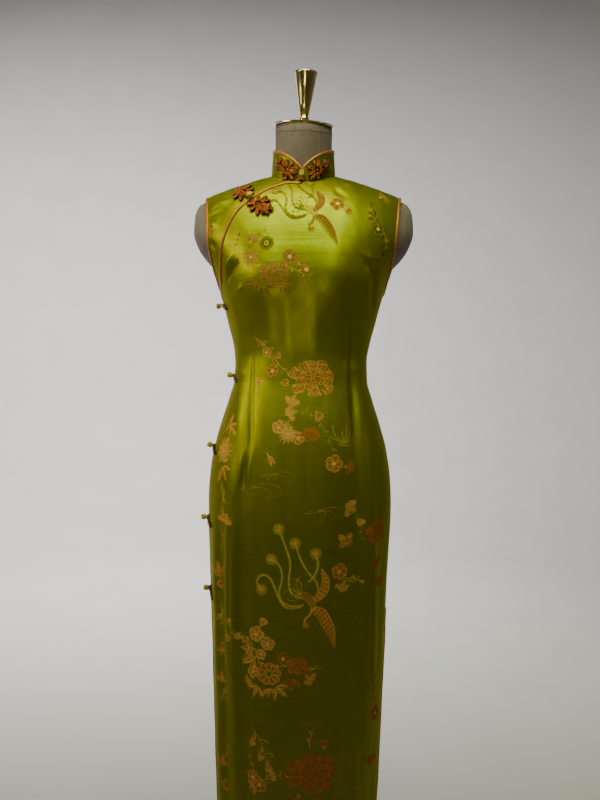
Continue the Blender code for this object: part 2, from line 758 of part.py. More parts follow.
def turned_object(name, profile, material, collection, steps=36):
    """A solid turned from (radius, height) pairs that run down its outer side, from the axis to the axis."""
    mesh = bpy.data.meshes.new(name)
    mesh.from_pydata([(r, 0, z) for r, z in profile], [(i, i + 1) for i in range(len(profile) - 1)], [])
    made = new_object(name, mesh, material, collection)
    screw = made.modifiers.new("turn", "SCREW")
    screw.steps = screw.render_steps = steps
    screw.use_merge_vertices = True
    screw.merge_threshold = 1e-5
    screw.use_smooth_shade = True
    return made


# ---------------------------------------------------------------- bindings


def edge_path_of_skirt(back):
    """A slit and hem binding's centreline: down one slit, along the hem and up the other."""
    hem_z = HEM_Z + BINDING_RADIUS
    turn = 0.0022
    heights = np.array([SLIT_TOP_Z - SEAM_GAP, *np.linspace(SLIT_TOP_Z - 0.03, hem_z + turn, 8)])

    def reach(z):
        return SEAM_TO_BINDING + slit_half_opening(z)

    left = [along_girth(z, back, reach(z)) for z in heights]
    right = [along_girth(z, back, -reach(z)) for z in heights[::-1]]
    hem = girth_row(hem_z, back, reach(hem_z) + turn, reach(hem_z) + turn, 21)
    return np.vstack([left, hem, right])


def collar_edge_path(count=70):
    """The collar binding's centreline: up one front end, round the top and down the other."""
    ends = SEAM_TO_BINDING / (NECKLINE_HALF_WIDTH - SEAM_GAP)
    rise = np.linspace(0.0008, COLLAR_FRONT_HEIGHT - 0.001, 4)
    turns = np.linspace(ends, 2 * math.pi - ends, 240)
    signed = [t if t < math.pi else t - 2 * math.pi for t in turns]
    up = [collar_point(ends, h, -WALL / 2) for h in rise]
    down = [collar_point(-ends, h, -WALL / 2) for h in rise[::-1]]
    top = [collar_point(t, collar_height(t), -WALL / 2) for t in signed]
    return resample(np.vstack([up, top, down]), count)


# ---------------------------------------------------------------- dress form


def body_reach(z):
    """How far the body extends sideways at this height."""
    low, high = 0.0, float(section(np.array(z), "half_width"))
    if ridge_z(np.array(high)) >= z:
        return high
    for _ in range(40):
        middle = (low + high) / 2
        low, high = (middle, high) if ridge_z(np.array(middle)) > z else (low, middle)
    return low


def body_ring(z, count):
    turn = np.linspace(0, 2 * math.pi, count, endpoint=False)
    x = body_reach(z) * np.sin(turn)
    back = np.cos(turn) < 0
    depth = body_depth(x, z, back) * np.sqrt(np.maximum(body_share(x, z, back), 0))
    return np.stack([x, section(z, "seam_y") - np.where(back, -depth, depth), z + 0 * x], axis=-1)


def neck_top():
    """The middle of the form's neck top, and its tilt."""
    lean = COLLAR_LEAN * (FORM_NECK_TOP_Z - neckline_point(math.pi / 2)[2])
    tilt = mathutils.Euler((NECK_CAP_TILT_FORWARD, NECK_CAP_TILT_SIDE, 0.0))
    return np.array([0.0, NECK_CENTRE_Y - lean, FORM_NECK_TOP_Z]), tilt


def form_neck_ring(height, count):
    """A ring of the form's neck: its foot on the body at height 0, its tilted top at height 1."""
    turn = np.linspace(0, 2 * math.pi, count, endpoint=False)
    x, y = FORM_NECK_HALF_WIDTH * np.sin(turn), -FORM_NECK_HALF_DEPTH * np.cos(turn)
    flat = np.stack([x, y, 0 * turn], axis=1)
    feet = np.array([neckline_point(t if t < math.pi else t - 2 * math.pi) for t in turn])
    low = flat + np.array([0, NECK_CENTRE_Y, -FORM_NECK_FOOT_DROP])
    low[:, 2] += feet[:, 2]
    centre, tilt = neck_top()
    high = flat @ np.array(tilt.to_matrix()).T + centre
    return low + (high - low) * height


def inside_cloth(points):
    """The body's points moved in to the form's own face."""
    x, z = np.abs(points[:, 0]), points[:, 2]
    depth = WALL + FORM_CLEARANCE - (FORM_CLEARANCE - FORM_CLEARANCE_ON_RIDGE) * smoothstep(
        0.012, 0.003, ridge_z(x) - z
    )
    armhole_x = monotone(z, column(ARMHOLE, ARMHOLE_COLUMNS, "z"), column(ARMHOLE, ARMHOLE_COLUMNS, "x"))
    past = smoothstep(0.005, 0.016, x - armhole_x) * smoothstep(1.262, 1.280, z)
    depth = depth + (FORM_CLEARANCE_PAST_ARMHOLE - depth) * past
    return points - body_normal(points) * depth[:, None]


def form_rings(count=32):
    levels = (
        FORM_BOTTOM_Z, 0.80, 0.85, 0.90, 0.95, 1.00, 1.05, 1.10, 1.13, 1.17, 1.21, 1.245,
        1.275, 1.30, 1.325, 1.35, 1.375, 1.395,
    )
    rings = [body_ring(z, count) for z in levels]
    foot = form_neck_ring(0, count)
    rising = [onto_body(rings[-1] + (foot - rings[-1]) * t, 30) for t in (0.14, 0.30, 0.46, 0.62, 0.78, 0.92)]
    body = [inside_cloth(ring) for ring in rings + rising]
    return np.array(body + [form_neck_ring(h, count) for h in (0.0, 0.5, 1.0)])


def closed_loft(name, rings, material, collection):
    """A solid through closed rings of points, with a flat end on the first and the last."""
    rows, columns = rings.shape[:2]
    points = np.vstack([rings.reshape(-1, 3), rings[0].mean(axis=0), rings[-1].mean(axis=0)])
    low, high = rows * columns, rows * columns + 1
    last = (rows - 1) * columns
    ends = [(low, (c + 1) % columns, c) for c in range(columns)]
    ends += [(high, last + c, last + (c + 1) % columns) for c in range(columns)]
    return new_object(
        name, mesh_from(name, points, grid_faces(rows, columns, closed=True) + ends), material, collection
    )


# ---------------------------------------------------------------- frogs


def on_chest(centre_x, centre_z):
    """A way to place (u to the wearer's left, v up, lift off the cloth) round a point of the front."""
    centre = onto_body(from_front_view(centre_x, centre_z))
    out = body_normal(centre)
    across_u = unit(np.cross(np.array([0.0, 0.0, 1.0]), out))
    up_v = np.cross(out, across_u)

    def place(u, v, lift):
        foot = onto_body(centre + u * across_u + v * up_v)
        return foot + lift * body_normal(foot)

    return place


def on_collar(centre_x, centre_height):
    def place(u, v, lift):
        turn = math.asin(centre_x / NECKLINE_HALF_WIDTH) + u / NECKLINE_HALF_DEPTH
        return collar_point(turn, centre_height + v, lift + COLLAR_FLOWER_EASE)

    return place


def flower_object(name, place, petals, radius, bud_angle, bud_length, material, collection):
    """A coiled-cord flower with a bud on a stem: a lobed cushion whose flat back follows the cloth."""
    segments = petals * 4
    turns = np.linspace(0, 2 * math.pi, segments, endpoint=False)
    lobe = np.abs(np.cos(petals * (turns - bud_angle) / 2)) ** 0.7
    away = np.abs((turns - bud_angle + math.pi) % (2 * math.pi) - math.pi)
    reach = np.maximum(radius * (0.80 + 0.20 * lobe), bud_length * np.exp(-((away / 0.34) ** 2)))
    rings, floor = (0.34, 0.68, 0.90, 1.0), (1.0, 0.5)
    points = [place(0, 0, SEAM_GAP + 0.8 * FLOWER_THICKNESS)]
    for share in rings:
        height = FLOWER_THICKNESS * (1 - share**4) * (0.72 + 0.28 * lobe) + 0.0006
        points += [
            place(share * r * math.cos(t), share * r * math.sin(t), SEAM_GAP + h)
            for r, t, h in zip(reach, turns, height)
        ]
    for share in floor:
        points += [
            place(share * r * math.cos(t), share * r * math.sin(t), SEAM_GAP) for r, t in zip(reach, turns)
        ]
    points.append(place(0, 0, SEAM_GAP))
    faces = [(0, 1 + c, 1 + (c + 1) % segments) for c in range(segments)]
    for ring in range(len(rings) + len(floor) - 1):
        low, high = 1 + ring * segments, 1 + (ring + 1) * segments
        faces += [
            (low + (c + 1) % segments, low + c, high + c, high + (c + 1) % segments) for c in range(segments)
        ]
    last = 1 + (len(rings) + len(floor) - 1) * segments
    faces += [(len(points) - 1, last + (c + 1) % segments, last + c) for c in range(segments)]
    return new_object(name, mesh_from(name, points, faces), material, collection)


def knot_object(name, place, radius, material, collection):
    """A ball-shaped knot button."""
    mesh = bpy.data.meshes.new(name)
    build = bmesh.new()
    bmesh.ops.create_icosphere(build, subdivisions=2, radius=radius)
    build.to_mesh(mesh)
    build.free()
    mesh.shade_smooth()
    made = new_object(name, mesh, material, collection)
    made.location = place
    return made


def side_frog_point(z, back, distance, lift):
    """A point over the cloth beside the wearer's right side seam."""
    foot = along_girth(z, back, distance)
    return foot + lift * body_normal(foot)


def side_frog_path(z):
    """A side frog's cord: up the front to the seam, over the binding under its button, down the back."""
    path = []
    for distance in SIDE_FROG_PLACES:
        over_binding = float(smoothstep(0.0095, 0.0035, abs(distance - SEAM_TO_BINDING)))
        lift = SIDE_CORD_RADIUS + SIDE_CORD_GAP + BINDING_RADIUS * over_binding
        fall = 0.40 * max(0.0, abs(distance) - 0.004)
        path.append(side_frog_point(z - fall, distance < 0, abs(distance), lift))
    return np.array(path)


# ---------------------------------------------------------------- the whole object


def build_garment(collection, satin, binding, knot):
    opening = opening_line()
    grids = {"front": front_grid(), "underlap": underlap_grid(), "back": back_grid()}
    for name, grid in grids.items():
        grid = grid[:, ::-1] if name == "back" else grid
        cloth_object(name, grid, seam_mask(grid), satin, collection)
    collar = collar_grid()
    cloth_object("collar", collar, np.zeros(collar.shape[:2], bool), satin, collection)
    tube_object("binding_collar", collar_edge_path(), BINDING_RADIUS, binding, collection)
    tube_object("binding_opening", resample(opening, 68), BINDING_RADIUS, binding, collection)
    for name, side in (("right", -1), ("left", 1)):
        ring = armhole_line(side)
        ring = resample(np.vstack([ring, ring[:1]]), 43)[:-1]
        tube_object(f"binding_armhole_{name}", ring, BINDING_RADIUS, binding, collection, closed=True)
    tube_object("binding_front_hem", edge_path_of_skirt(False), BINDING_RADIUS, binding, collection)
    tube_object("binding_back_hem", edge_path_of_skirt(True), BINDING_RADIUS, binding, collection)
    build_frogs(collection, binding, knot)


def build_frogs(collection, binding, knot):
    for name, x, bud_deg, bud_length in COLLAR_FLOWERS:
        place = on_collar(x, COLLAR_FLOWER_HEIGHT)
        bud = math.radians(bud_deg)
        flower_object(
            f"frog_collar_{name}", place, 8, COLLAR_FLOWER_RADIUS, bud, bud_length, binding, collection
        )
    for name, x, z, bud_deg, bud_length in LAPEL_FLOWERS:
        bud = math.radians(bud_deg)
        place = on_chest(x, z)
        flower_object(
            f"frog_lapel_{name}", place, 8, LAPEL_FLOWER_RADIUS, bud, bud_length, binding, collection
        )
    collar_lift = BINDING_RADIUS + KNOT_RADIUS - COLLAR_BUTTON_SINK
    collar_button = collar_point(0.0, COLLAR_BUTTON_HEIGHT, collar_lift)
    knot_object("button_collar", collar_button, KNOT_RADIUS, knot, collection)
    lapel_button = on_chest(*LAPEL_BUTTON)(0, 0, BINDING_RADIUS + SEAM_GAP + KNOT_RADIUS)
    knot_object("button_lapel", lapel_button, KNOT_RADIUS, knot, collection)
    over_cord = BINDING_RADIUS + 2 * SIDE_CORD_RADIUS + SIDE_CORD_GAP + SEAM_GAP
    for i in range(SIDE_FROG_COUNT):
        z = SIDE_FROG_TOP_Z - i * SIDE_FROG_STEP
        ball = side_frog_point(z, False, SEAM_TO_BINDING, over_cord + SIDE_KNOT_RADIUS)
        knot_object(f"button_side_{i + 1}", ball, SIDE_KNOT_RADIUS, knot, collection)
        tube_object(f"frog_side_{i + 1}", side_frog_path(z), SIDE_CORD_RADIUS, binding, collection)


def build_form(collection, linen, brass):
    rings = form_rings()
    closed_loft("form_torso", rings, linen, collection)
    top, tilt = neck_top()
    up = np.array(tilt.to_matrix())[:, 2]
    r, t = NECK_CAP_RADIUS, NECK_CAP_THICKNESS
    disc = ((0, t), (r - 0.001, t), (r, t - 0.001), (r, 0.0008), (r - 0.0008, 0), (0, 0))
    cap = turned_object("neck_cap", disc, brass, collection, steps=32)
    cap.location = top + up * SEAM_GAP
    cap.rotation_euler = tilt
    outline = (
        (0.0000, 0.0900), (0.0140, 0.0895), (0.0192, 0.0880), (0.0202, 0.0860), (0.0196, 0.0837),
        (0.0080, 0.0170), (0.0066, 0.0150), (0.0080, 0.0125), (0.0086, 0.0100), (0.0078, 0.0072),
        (0.0070, 0.0058), (0.0120, 0.0040), (0.0134, 0.0022), (0.0130, 0.0000), (0.0000, 0.0000),
    )
    finial = turned_object("finial", outline, brass, collection, steps=20)
    finial.location = top + up * (t + 2 * SEAM_GAP)
    finial.rotation_euler = tilt


def build_stand(collection, metal):
    """Base, pole and flange, turned as one."""
    top = FORM_BOTTOM_Z - SEAM_GAP
    flange, foot, base = FLANGE_RADIUS, POLE_RADIUS + 0.022, BASE_RADIUS
    outline = (
        (0, top), (flange, top), (flange, top - 0.004), (0.020, top - FLANGE_HEIGHT),
        (POLE_RADIUS, top - FLANGE_HEIGHT - 0.003), (POLE_RADIUS, BASE_HEIGHT + 0.040),
        (POLE_RADIUS + 0.004, BASE_HEIGHT + 0.038), (POLE_RADIUS + 0.012, BASE_HEIGHT + 0.010),
        (foot, BASE_HEIGHT), (base - 0.006, BASE_HEIGHT), (base, BASE_HEIGHT - 0.005), (base, 0.0015),
        (base - 0.0015, 0), (0, 0),
    )
    turned_object("stand", outline, metal, collection, steps=32)


def main():
    clear_scene()
    collection = new_collection("cheongsam_on_dress_form")
    satin = new_material("satin", (0.36, 0.37, 0.02), 0.35)
    binding = new_material("binding", (0.36, 0.13, 0.05), 0.45)
    knot = new_material("knot", (0.52, 0.38, 0.08), 0.45)
    linen = new_material("linen", (0.20, 0.17, 0.145), 0.9)
    brass = new_material("brass", (0.42, 0.32, 0.12), 0.35, 1.0)
    stand = new_material("stand", (0.42, 0.32, 0.12), 0.4, 1.0)
    build_garment(collection, satin, binding, knot)
    build_form(collection, linen, brass)
    build_stand(collection, stand)
    root = bpy.data.objects.new("cheongsam", None)
    collection.objects.link(root)
    for made in collection.objects:
        if made is not root:
            made.parent = root


if __name__ == "__main__":
    main()
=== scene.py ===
"""A sleeveless cheongsam of lime satin brocade, worn by a linen dress form on a brass stand.

Metres, +Z up, the front faces -Y. The garment's cloth lies on one closed body surface, and everything
that lies on the cloth is placed on that surface first and then moved with its folds and creases.
"""

import functools
import math

import bpy
import mathutils
import numpy as np
from mathutils.bvhtree import BVHTree
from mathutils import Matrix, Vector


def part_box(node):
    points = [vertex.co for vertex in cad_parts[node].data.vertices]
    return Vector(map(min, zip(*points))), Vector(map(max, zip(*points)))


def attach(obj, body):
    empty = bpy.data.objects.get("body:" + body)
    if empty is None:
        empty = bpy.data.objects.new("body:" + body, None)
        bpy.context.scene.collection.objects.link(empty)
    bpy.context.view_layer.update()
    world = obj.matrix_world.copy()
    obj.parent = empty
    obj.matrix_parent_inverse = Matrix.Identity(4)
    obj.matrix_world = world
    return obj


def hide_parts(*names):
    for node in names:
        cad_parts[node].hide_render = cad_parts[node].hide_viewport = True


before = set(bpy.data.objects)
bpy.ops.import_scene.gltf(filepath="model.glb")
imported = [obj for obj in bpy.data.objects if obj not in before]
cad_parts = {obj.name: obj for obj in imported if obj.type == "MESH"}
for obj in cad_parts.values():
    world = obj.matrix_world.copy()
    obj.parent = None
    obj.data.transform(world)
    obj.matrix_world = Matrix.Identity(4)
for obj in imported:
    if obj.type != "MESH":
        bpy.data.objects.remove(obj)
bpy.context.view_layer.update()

bl_info = {
    "name": "Cheongsam on dress form",
    "version": (1, 0, 0),
    "blender": (4, 5, 0),
    "location": "View3D > Sidebar > Cheongsam",
    "description": "Makes a sleeveless brocade cheongsam, its frogs and the dress form that wears it",
    "category": "Add Mesh",
}

# Heights above the floor
HEM_Z = 0.130
SLIT_TOP_Z = 0.690
GRID_BASE_Z = 1.180  # below this the rows are level, above it they rise to the neck and shoulders
LAPEL_END_Z = 1.230
UNDERLAP_TIP = 0.010  # the underlap's lowest corner lies this far above the lapel's end
UNDERARM_Z = 1.250
CHEST_Z = 1.300  # above this the body curves over towards the shoulder ridge

# Cloth
WALL = 0.0015
SEAM_GAP = 0.0003
BINDING_RADIUS = 0.0020
BINDING_GAP = 0.0004
CURVED_EDGE_EASE = 0.0005  # extra room where a panel's edge curves in round its binding
EDGE_MARGIN = BINDING_RADIUS + BINDING_GAP  # from a binding's centreline to the panel's edge
SEAM_TO_BINDING = BINDING_RADIUS + SEAM_GAP / 2
HEM_CORNER = 0.0022  # the binding turns from slit to hem within this
SLIT_SPREAD = 0.010  # how far each slit stands open at the hem

# Neck and collar: an upright ellipse cut by the body surface gives the neckline
NECK_CENTRE_Y = -0.002
NECKLINE_HALF_WIDTH = 0.0575
NECKLINE_HALF_DEPTH = 0.0610
COLLAR_TAPER = 0.0030  # how much each half narrows up to the top edge
COLLAR_HEIGHT = 0.041
COLLAR_LENGTH = 0.37
COLLAR_WAVE = 0.00025
COLLAR_FRONT_HEIGHT = 0.0185  # at the centre front, where the two ends meet
COLLAR_ROUND = 0.0460  # the front ends round off within this distance of the centre
COLLAR_ROUNDNESS = 2.5
COLLAR_LEAN = 0.15  # forward, for each metre of height
COLLAR_GAP = 0.0009  # over the panels' neck edges

# Shoulder and armhole
SHOULDER_TIP_X = 0.173
SHOULDER_TIP_Z = 1.42
SHOULDER_SEAM_Z = 1.46  # where the shoulder seam's y is read

# Body sections: height, half width, depth to the front, depth to the back, the side seam's own
# y, and how square the section is (2 is an ellipse)
SECTION_COLUMNS = ("z", "half_width", "front", "back", "seam_y", "squareness")
SECTIONS = (
    (0.130, 0.1345, 0.086, 0.087, 0.000, 2.30),
    (0.376, 0.1430, 0.091, 0.093, 0.000, 2.30),
    (0.592, 0.1520, 0.096, 0.101, 0.000, 2.25),
    (0.700, 0.1557, 0.099, 0.107, 0.000, 2.20),
    (0.790, 0.1600, 0.103, 0.114, 0.000, 2.20),
    (0.880, 0.1632, 0.106, 0.119, 0.000, 2.20),
    (0.930, 0.1602, 0.106, 0.117, 0.000, 2.20),
    (0.970, 0.1540, 0.104, 0.111, 0.000, 2.20),
    (1.024, 0.1395, 0.097, 0.099, 0.000, 2.20),
    (1.060, 0.1280, 0.090, 0.090, 0.000, 2.15),
    (1.096, 0.1182, 0.084, 0.083, 0.000, 2.10),
    (1.130, 0.1172, 0.083, 0.081, 0.000, 2.10),
    (1.160, 0.1215, 0.088, 0.085, 0.001, 2.15),
    (1.200, 0.1320, 0.100, 0.092, 0.002, 2.30),
    (1.244, 0.1440, 0.113, 0.098, 0.004, 2.50),
    (1.270, 0.1530, 0.116, 0.101, 0.006, 2.60),
    (1.300, 0.1680, 0.114, 0.103, 0.008, 2.60),
    (1.330, 0.1890, 0.110, 0.105, 0.010, 2.60),
    (1.362, 0.1990, 0.108, 0.106, 0.010, 2.50),
    (1.480, 0.1995, 0.106, 0.103, 0.010, 2.50),
)

# The shoulder ridge, from the neck's middle to the rounded end of the shoulder
RIDGE_COLUMNS = ("x", "z")
RIDGE = (
    (0.000, 1.4680),
    (0.057, 1.4605),
    (0.100, 1.4490),
    (0.140, 1.4360),
    (0.173, 1.4235),
    (0.187, 1.4130),
    (0.196, 1.3980),
    (0.1995, 1.3750),
    (0.230, 1.3400),
)
RIDGE_ROUNDNESS_FRONT = 2.2
RIDGE_ROUNDNESS_BACK = 2.5

# The bust: two soft rises that the cloth bridges
BUST_X = 0.072
BUST_Z = 1.262
BUST_RISE = 0.008
BUST_SPREAD_X = 0.044
BUST_SPREAD_Z = 0.046

# Armhole edge seen from the front: height and distance from the middle
ARMHOLE_COLUMNS = ("z", "x")
ARMHOLE = (
    (1.266, 0.1495),
    (1.285, 0.1545),
    (1.305, 0.1575),
    (1.330, 0.1605),
    (1.360, 0.1635),
    (1.390, 0.1670),
    (1.410, 0.1700),
)

# Lapel edge seen from the front, from the centre front to the wearer's right side
LAPEL_COLUMNS = ("x", "z")
LAPEL = (
    (-0.0025, 1.4285),
    (-0.0240, 1.4290),
    (-0.0460, 1.4230),
    (-0.0680, 1.4120),
    (-0.0940, 1.3930),
    (-0.1095, 1.3770),
    (-0.1215, 1.3560),
    (-0.1315, 1.3290),
    (-0.1370, 1.3050),
    (-0.1395, 1.2820),
    (-0.1400, 1.2620),
)

# Where the opening rounds the corner at the lapel's end: height over it and distance from the seam's line
LAPEL_TURN = ((0.0165, 0.014), (0.0080, 0.0045))

# Soft upright folds of the skirt: middle and spread in degrees round the body from the centre front,
# rise of the cloth (negative for a trough), and the heights where the fold begins and is full
FOLDS = (
    (36.0, 5.0, -0.0035, 1.060, 0.900),
    (47.0, 6.0, 0.0030, 1.000, 0.850),
    (66.0, 6.0, -0.0025, 0.880, 0.740),
    (-35.0, 4.5, -0.0035, 0.980, 0.900),
    (-43.0, 5.0, 0.0025, 0.980, 0.860),
    (-56.0, 5.0, -0.0025, 0.900, 0.780),
    (-67.0, 5.0, 0.0020, 0.860, 0.740),
    (140.0, 8.0, -0.0030, 0.860, 0.650),
    (163.0, 9.0, 0.0030, 0.820, 0.600),
    (194.0, 9.0, -0.0028, 0.820, 0.600),
    (222.0, 8.0, 0.0028, 0.860, 0.650),
)

# Dress form
FORM_BOTTOM_Z = 0.760
FORM_CLEARANCE = 0.0035
FORM_CLEARANCE_ON_RIDGE = 0.0031  # the dress hangs on the shoulders
FORM_CLEARANCE_PAST_ARMHOLE = 0.0005
FORM_NECK_HALF_WIDTH = 0.0503
FORM_NECK_HALF_DEPTH = 0.0533
FORM_NECK_TOP_Z = 1.544
FORM_NECK_FOOT_DROP = 0.0025
NECK_CAP_TILT_FORWARD = math.radians(12.0)
NECK_CAP_TILT_SIDE = math.radians(2.5)
NECK_CAP_RADIUS = 0.0545
NECK_CAP_THICKNESS = 0.0030
NECK_CAP_EDGE = 0.0008
NECK_CAP_TOP_EDGE = 0.0010
FORM_LEVELS = ((1.21, 46), (1.22, 1.395, 26))  # rows: up to the chest, and from there to the neck's slope
FORM_RISE = (0.07, 0.96, 16)  # rows from the last of those to the neck's foot
FORM_NECK_ROWS = 9
FORM_UV_HALF_WIDTH = 0.42  # half the girth in metres that the linen's weave is laid out over
NECK_SEAM_TURNS_DEG = (-36, 33, 150, 212)
NECK_SEAM_SPAN = (0.04, 0.90)  # of the neck's height
NECK_SEAM_ROUND = 0.87
NECK_SEAM_PROUD = 0.0003
POLISHED_ROUGHNESS, SATIN_ROUGHNESS = 0.15, 0.34

# Stand
BASE_RADIUS = 0.170
BASE_HEIGHT = 0.012
POLE_RADIUS = 0.0125
FLANGE_RADIUS = 0.045
FLANGE_HEIGHT = 0.010
BASE_RIM = ((-0.0015, 0.0), (0.0, 0.0015))  # over the base's radius and over the floor
BASE_TOP = ((0.0, -0.005), (-0.002, -0.0015), (-0.006, 0.0))  # over the base's radius and over its height
POLE_FOOT = (  # over the pole's radius and over the base
    (0.022, 0.0), (0.0165, 0.003), (0.012, 0.010), (0.0065, 0.024), (0.004, 0.038), (0.0, 0.040),
)

# Frogs: each flower's name, place, and the direction (degrees) and reach of its bud
COLLAR_FLOWERS = (
    ("right", -0.0238, 161.0, 0.0335),
    ("left", 0.0245, 17.0, 0.0300),
)
COLLAR_FLOWER_HEIGHT = 0.0143
LAPEL_FLOWERS = (
    ("outer", -0.0990, 1.4125, 128.0, 0.0240),
    ("inner", -0.0705, 1.3855, -38.0, 0.0290),
)
KNOT_RADIUS = 0.0050
SIDE_FROG_COUNT = 5
SIDE_FROG_TOP_Z = 1.2310
SIDE_FROG_STEP = 0.1276
SIDE_KNOT_RADIUS = 0.0046
SIDE_CORD_RADIUS = 0.0018
SIDE_CORD_GAP = 0.0005
SIDE_CORD_DRAWN = 0.00185
SIDE_CORD_APART = 0.0015  # each cord's middle from the frog's
SIDE_CORD_STEPS = 149
SIDE_FROG_CLIMB = (0.0095, 0.0035)  # from the binding's middle: where the cord begins to rise and is up
SIDE_FROG_FALL = 0.40  # how steeply the cord falls away past the level stretch
SIDE_FROG_LEVEL = 0.004
SIDE_FROG_PLACES = (  # the cord's path: forward of the side seam, then behind it
    0.036, 0.027, 0.018, 0.011, 0.007, 0.0043, SEAM_TO_BINDING, 0.0, -0.003, -0.007, -0.014, -0.024, -0.034,
)

# Creases that run up the cloth: side, x at three heights from the top down, those heights,
# spread and rise (negative for a trough)
FRONT, BACK = 0, 1
UPRIGHT_CREASES = (
    (FRONT, (-0.0800, -0.0810, -0.0770), (1.222, 1.060, 0.865), 0.0024, -0.0015),
    (FRONT, (-0.0985, -0.1015, -0.0975), (1.150, 1.060, 0.960), 0.0150, 0.0018),
    (FRONT, (0.0815, 0.0890, 0.1055), (1.315, 1.130, 0.870), 0.0068, -0.0036),
    (FRONT, (0.1045, 0.1075, 0.1125), (0.930, 0.620, 0.240), 0.0065, -0.0028),
    (FRONT, (0.1095, 0.1235, 0.1295), (1.100, 0.890, 0.330), 0.0058, 0.0022),
    (FRONT, (-0.0840, -0.0905, -0.0975), (0.975, 0.942, 0.905), 0.0030, -0.0030),
    (FRONT, (-0.0915, -0.0990, -0.1065), (0.985, 0.940, 0.880), 0.0042, 0.0020),
    (FRONT, (-0.0755, -0.0810, -0.0855), (1.000, 0.950, 0.890), 0.0036, 0.0016),
    (FRONT, (-0.1035, -0.1075, -0.1055), (0.920, 0.780, 0.600), 0.0050, 0.0017),
    (FRONT, (-0.1175, -0.1195, -0.1185), (0.940, 0.800, 0.560), 0.0042, 0.0018),
    (FRONT, (-0.0935, -0.0955, -0.0935), (0.900, 0.700, 0.470), 0.0060, -0.0016),
    (FRONT, (-0.0355, -0.0325, -0.0295), (1.010, 0.920, 0.800), 0.0100, 0.0011),
    (FRONT, (0.0145, 0.0152, 0.0155), (0.985, 0.930, 0.865), 0.0016, -0.0007),
    (FRONT, (0.0465, 0.0505, 0.0525), (0.960, 0.800, 0.560), 0.0150, 0.0012),
    (FRONT, (0.1175, 0.1135, 0.1110), (1.322, 1.270, 1.215), 0.0045, 0.0022),
    (FRONT, (0.1235, 0.1255, 0.1215), (1.292, 1.255, 1.205), 0.0034, -0.0026),
    (FRONT, (-0.0405, -0.0395, -0.0355), (1.240, 1.190, 1.130), 0.0120, -0.0008),
    (FRONT, (0.0295, 0.0285, 0.0275), (1.250, 1.190, 1.130), 0.0140, 0.0009),
    (FRONT, (0.0095, 0.0115, 0.0145), (0.560, 0.380, 0.180), 0.0160, 0.0014),
    (FRONT, (-0.0505, -0.0535, -0.0515), (0.520, 0.360, 0.190), 0.0130, -0.0012),
    (BACK, (0.0620, 0.0660, 0.0680), (1.250, 1.110, 0.930), 0.0024, -0.0014),
    (BACK, (-0.0640, -0.0660, -0.0690), (1.245, 1.110, 0.935), 0.0024, -0.0014),
    (BACK, (0.1010, 0.1060, 0.1130), (1.300, 1.130, 0.900), 0.0065, -0.0028),
    (BACK, (-0.1000, -0.1050, -0.1140), (1.290, 1.120, 0.890), 0.0060, -0.0026),
    (BACK, (0.1230, 0.1240, 0.1190), (1.330, 1.270, 1.200), 0.0050, 0.0022),
    (BACK, (-0.1220, -0.1230, -0.1170), (1.335, 1.265, 1.195), 0.0046, 0.0020),
    (BACK, (0.0200, 0.0240, 0.0260), (0.900, 0.700, 0.400), 0.0140, 0.0016),
    (BACK, (-0.0350, -0.0330, -0.0360), (0.930, 0.720, 0.420), 0.0120, -0.0015),
)

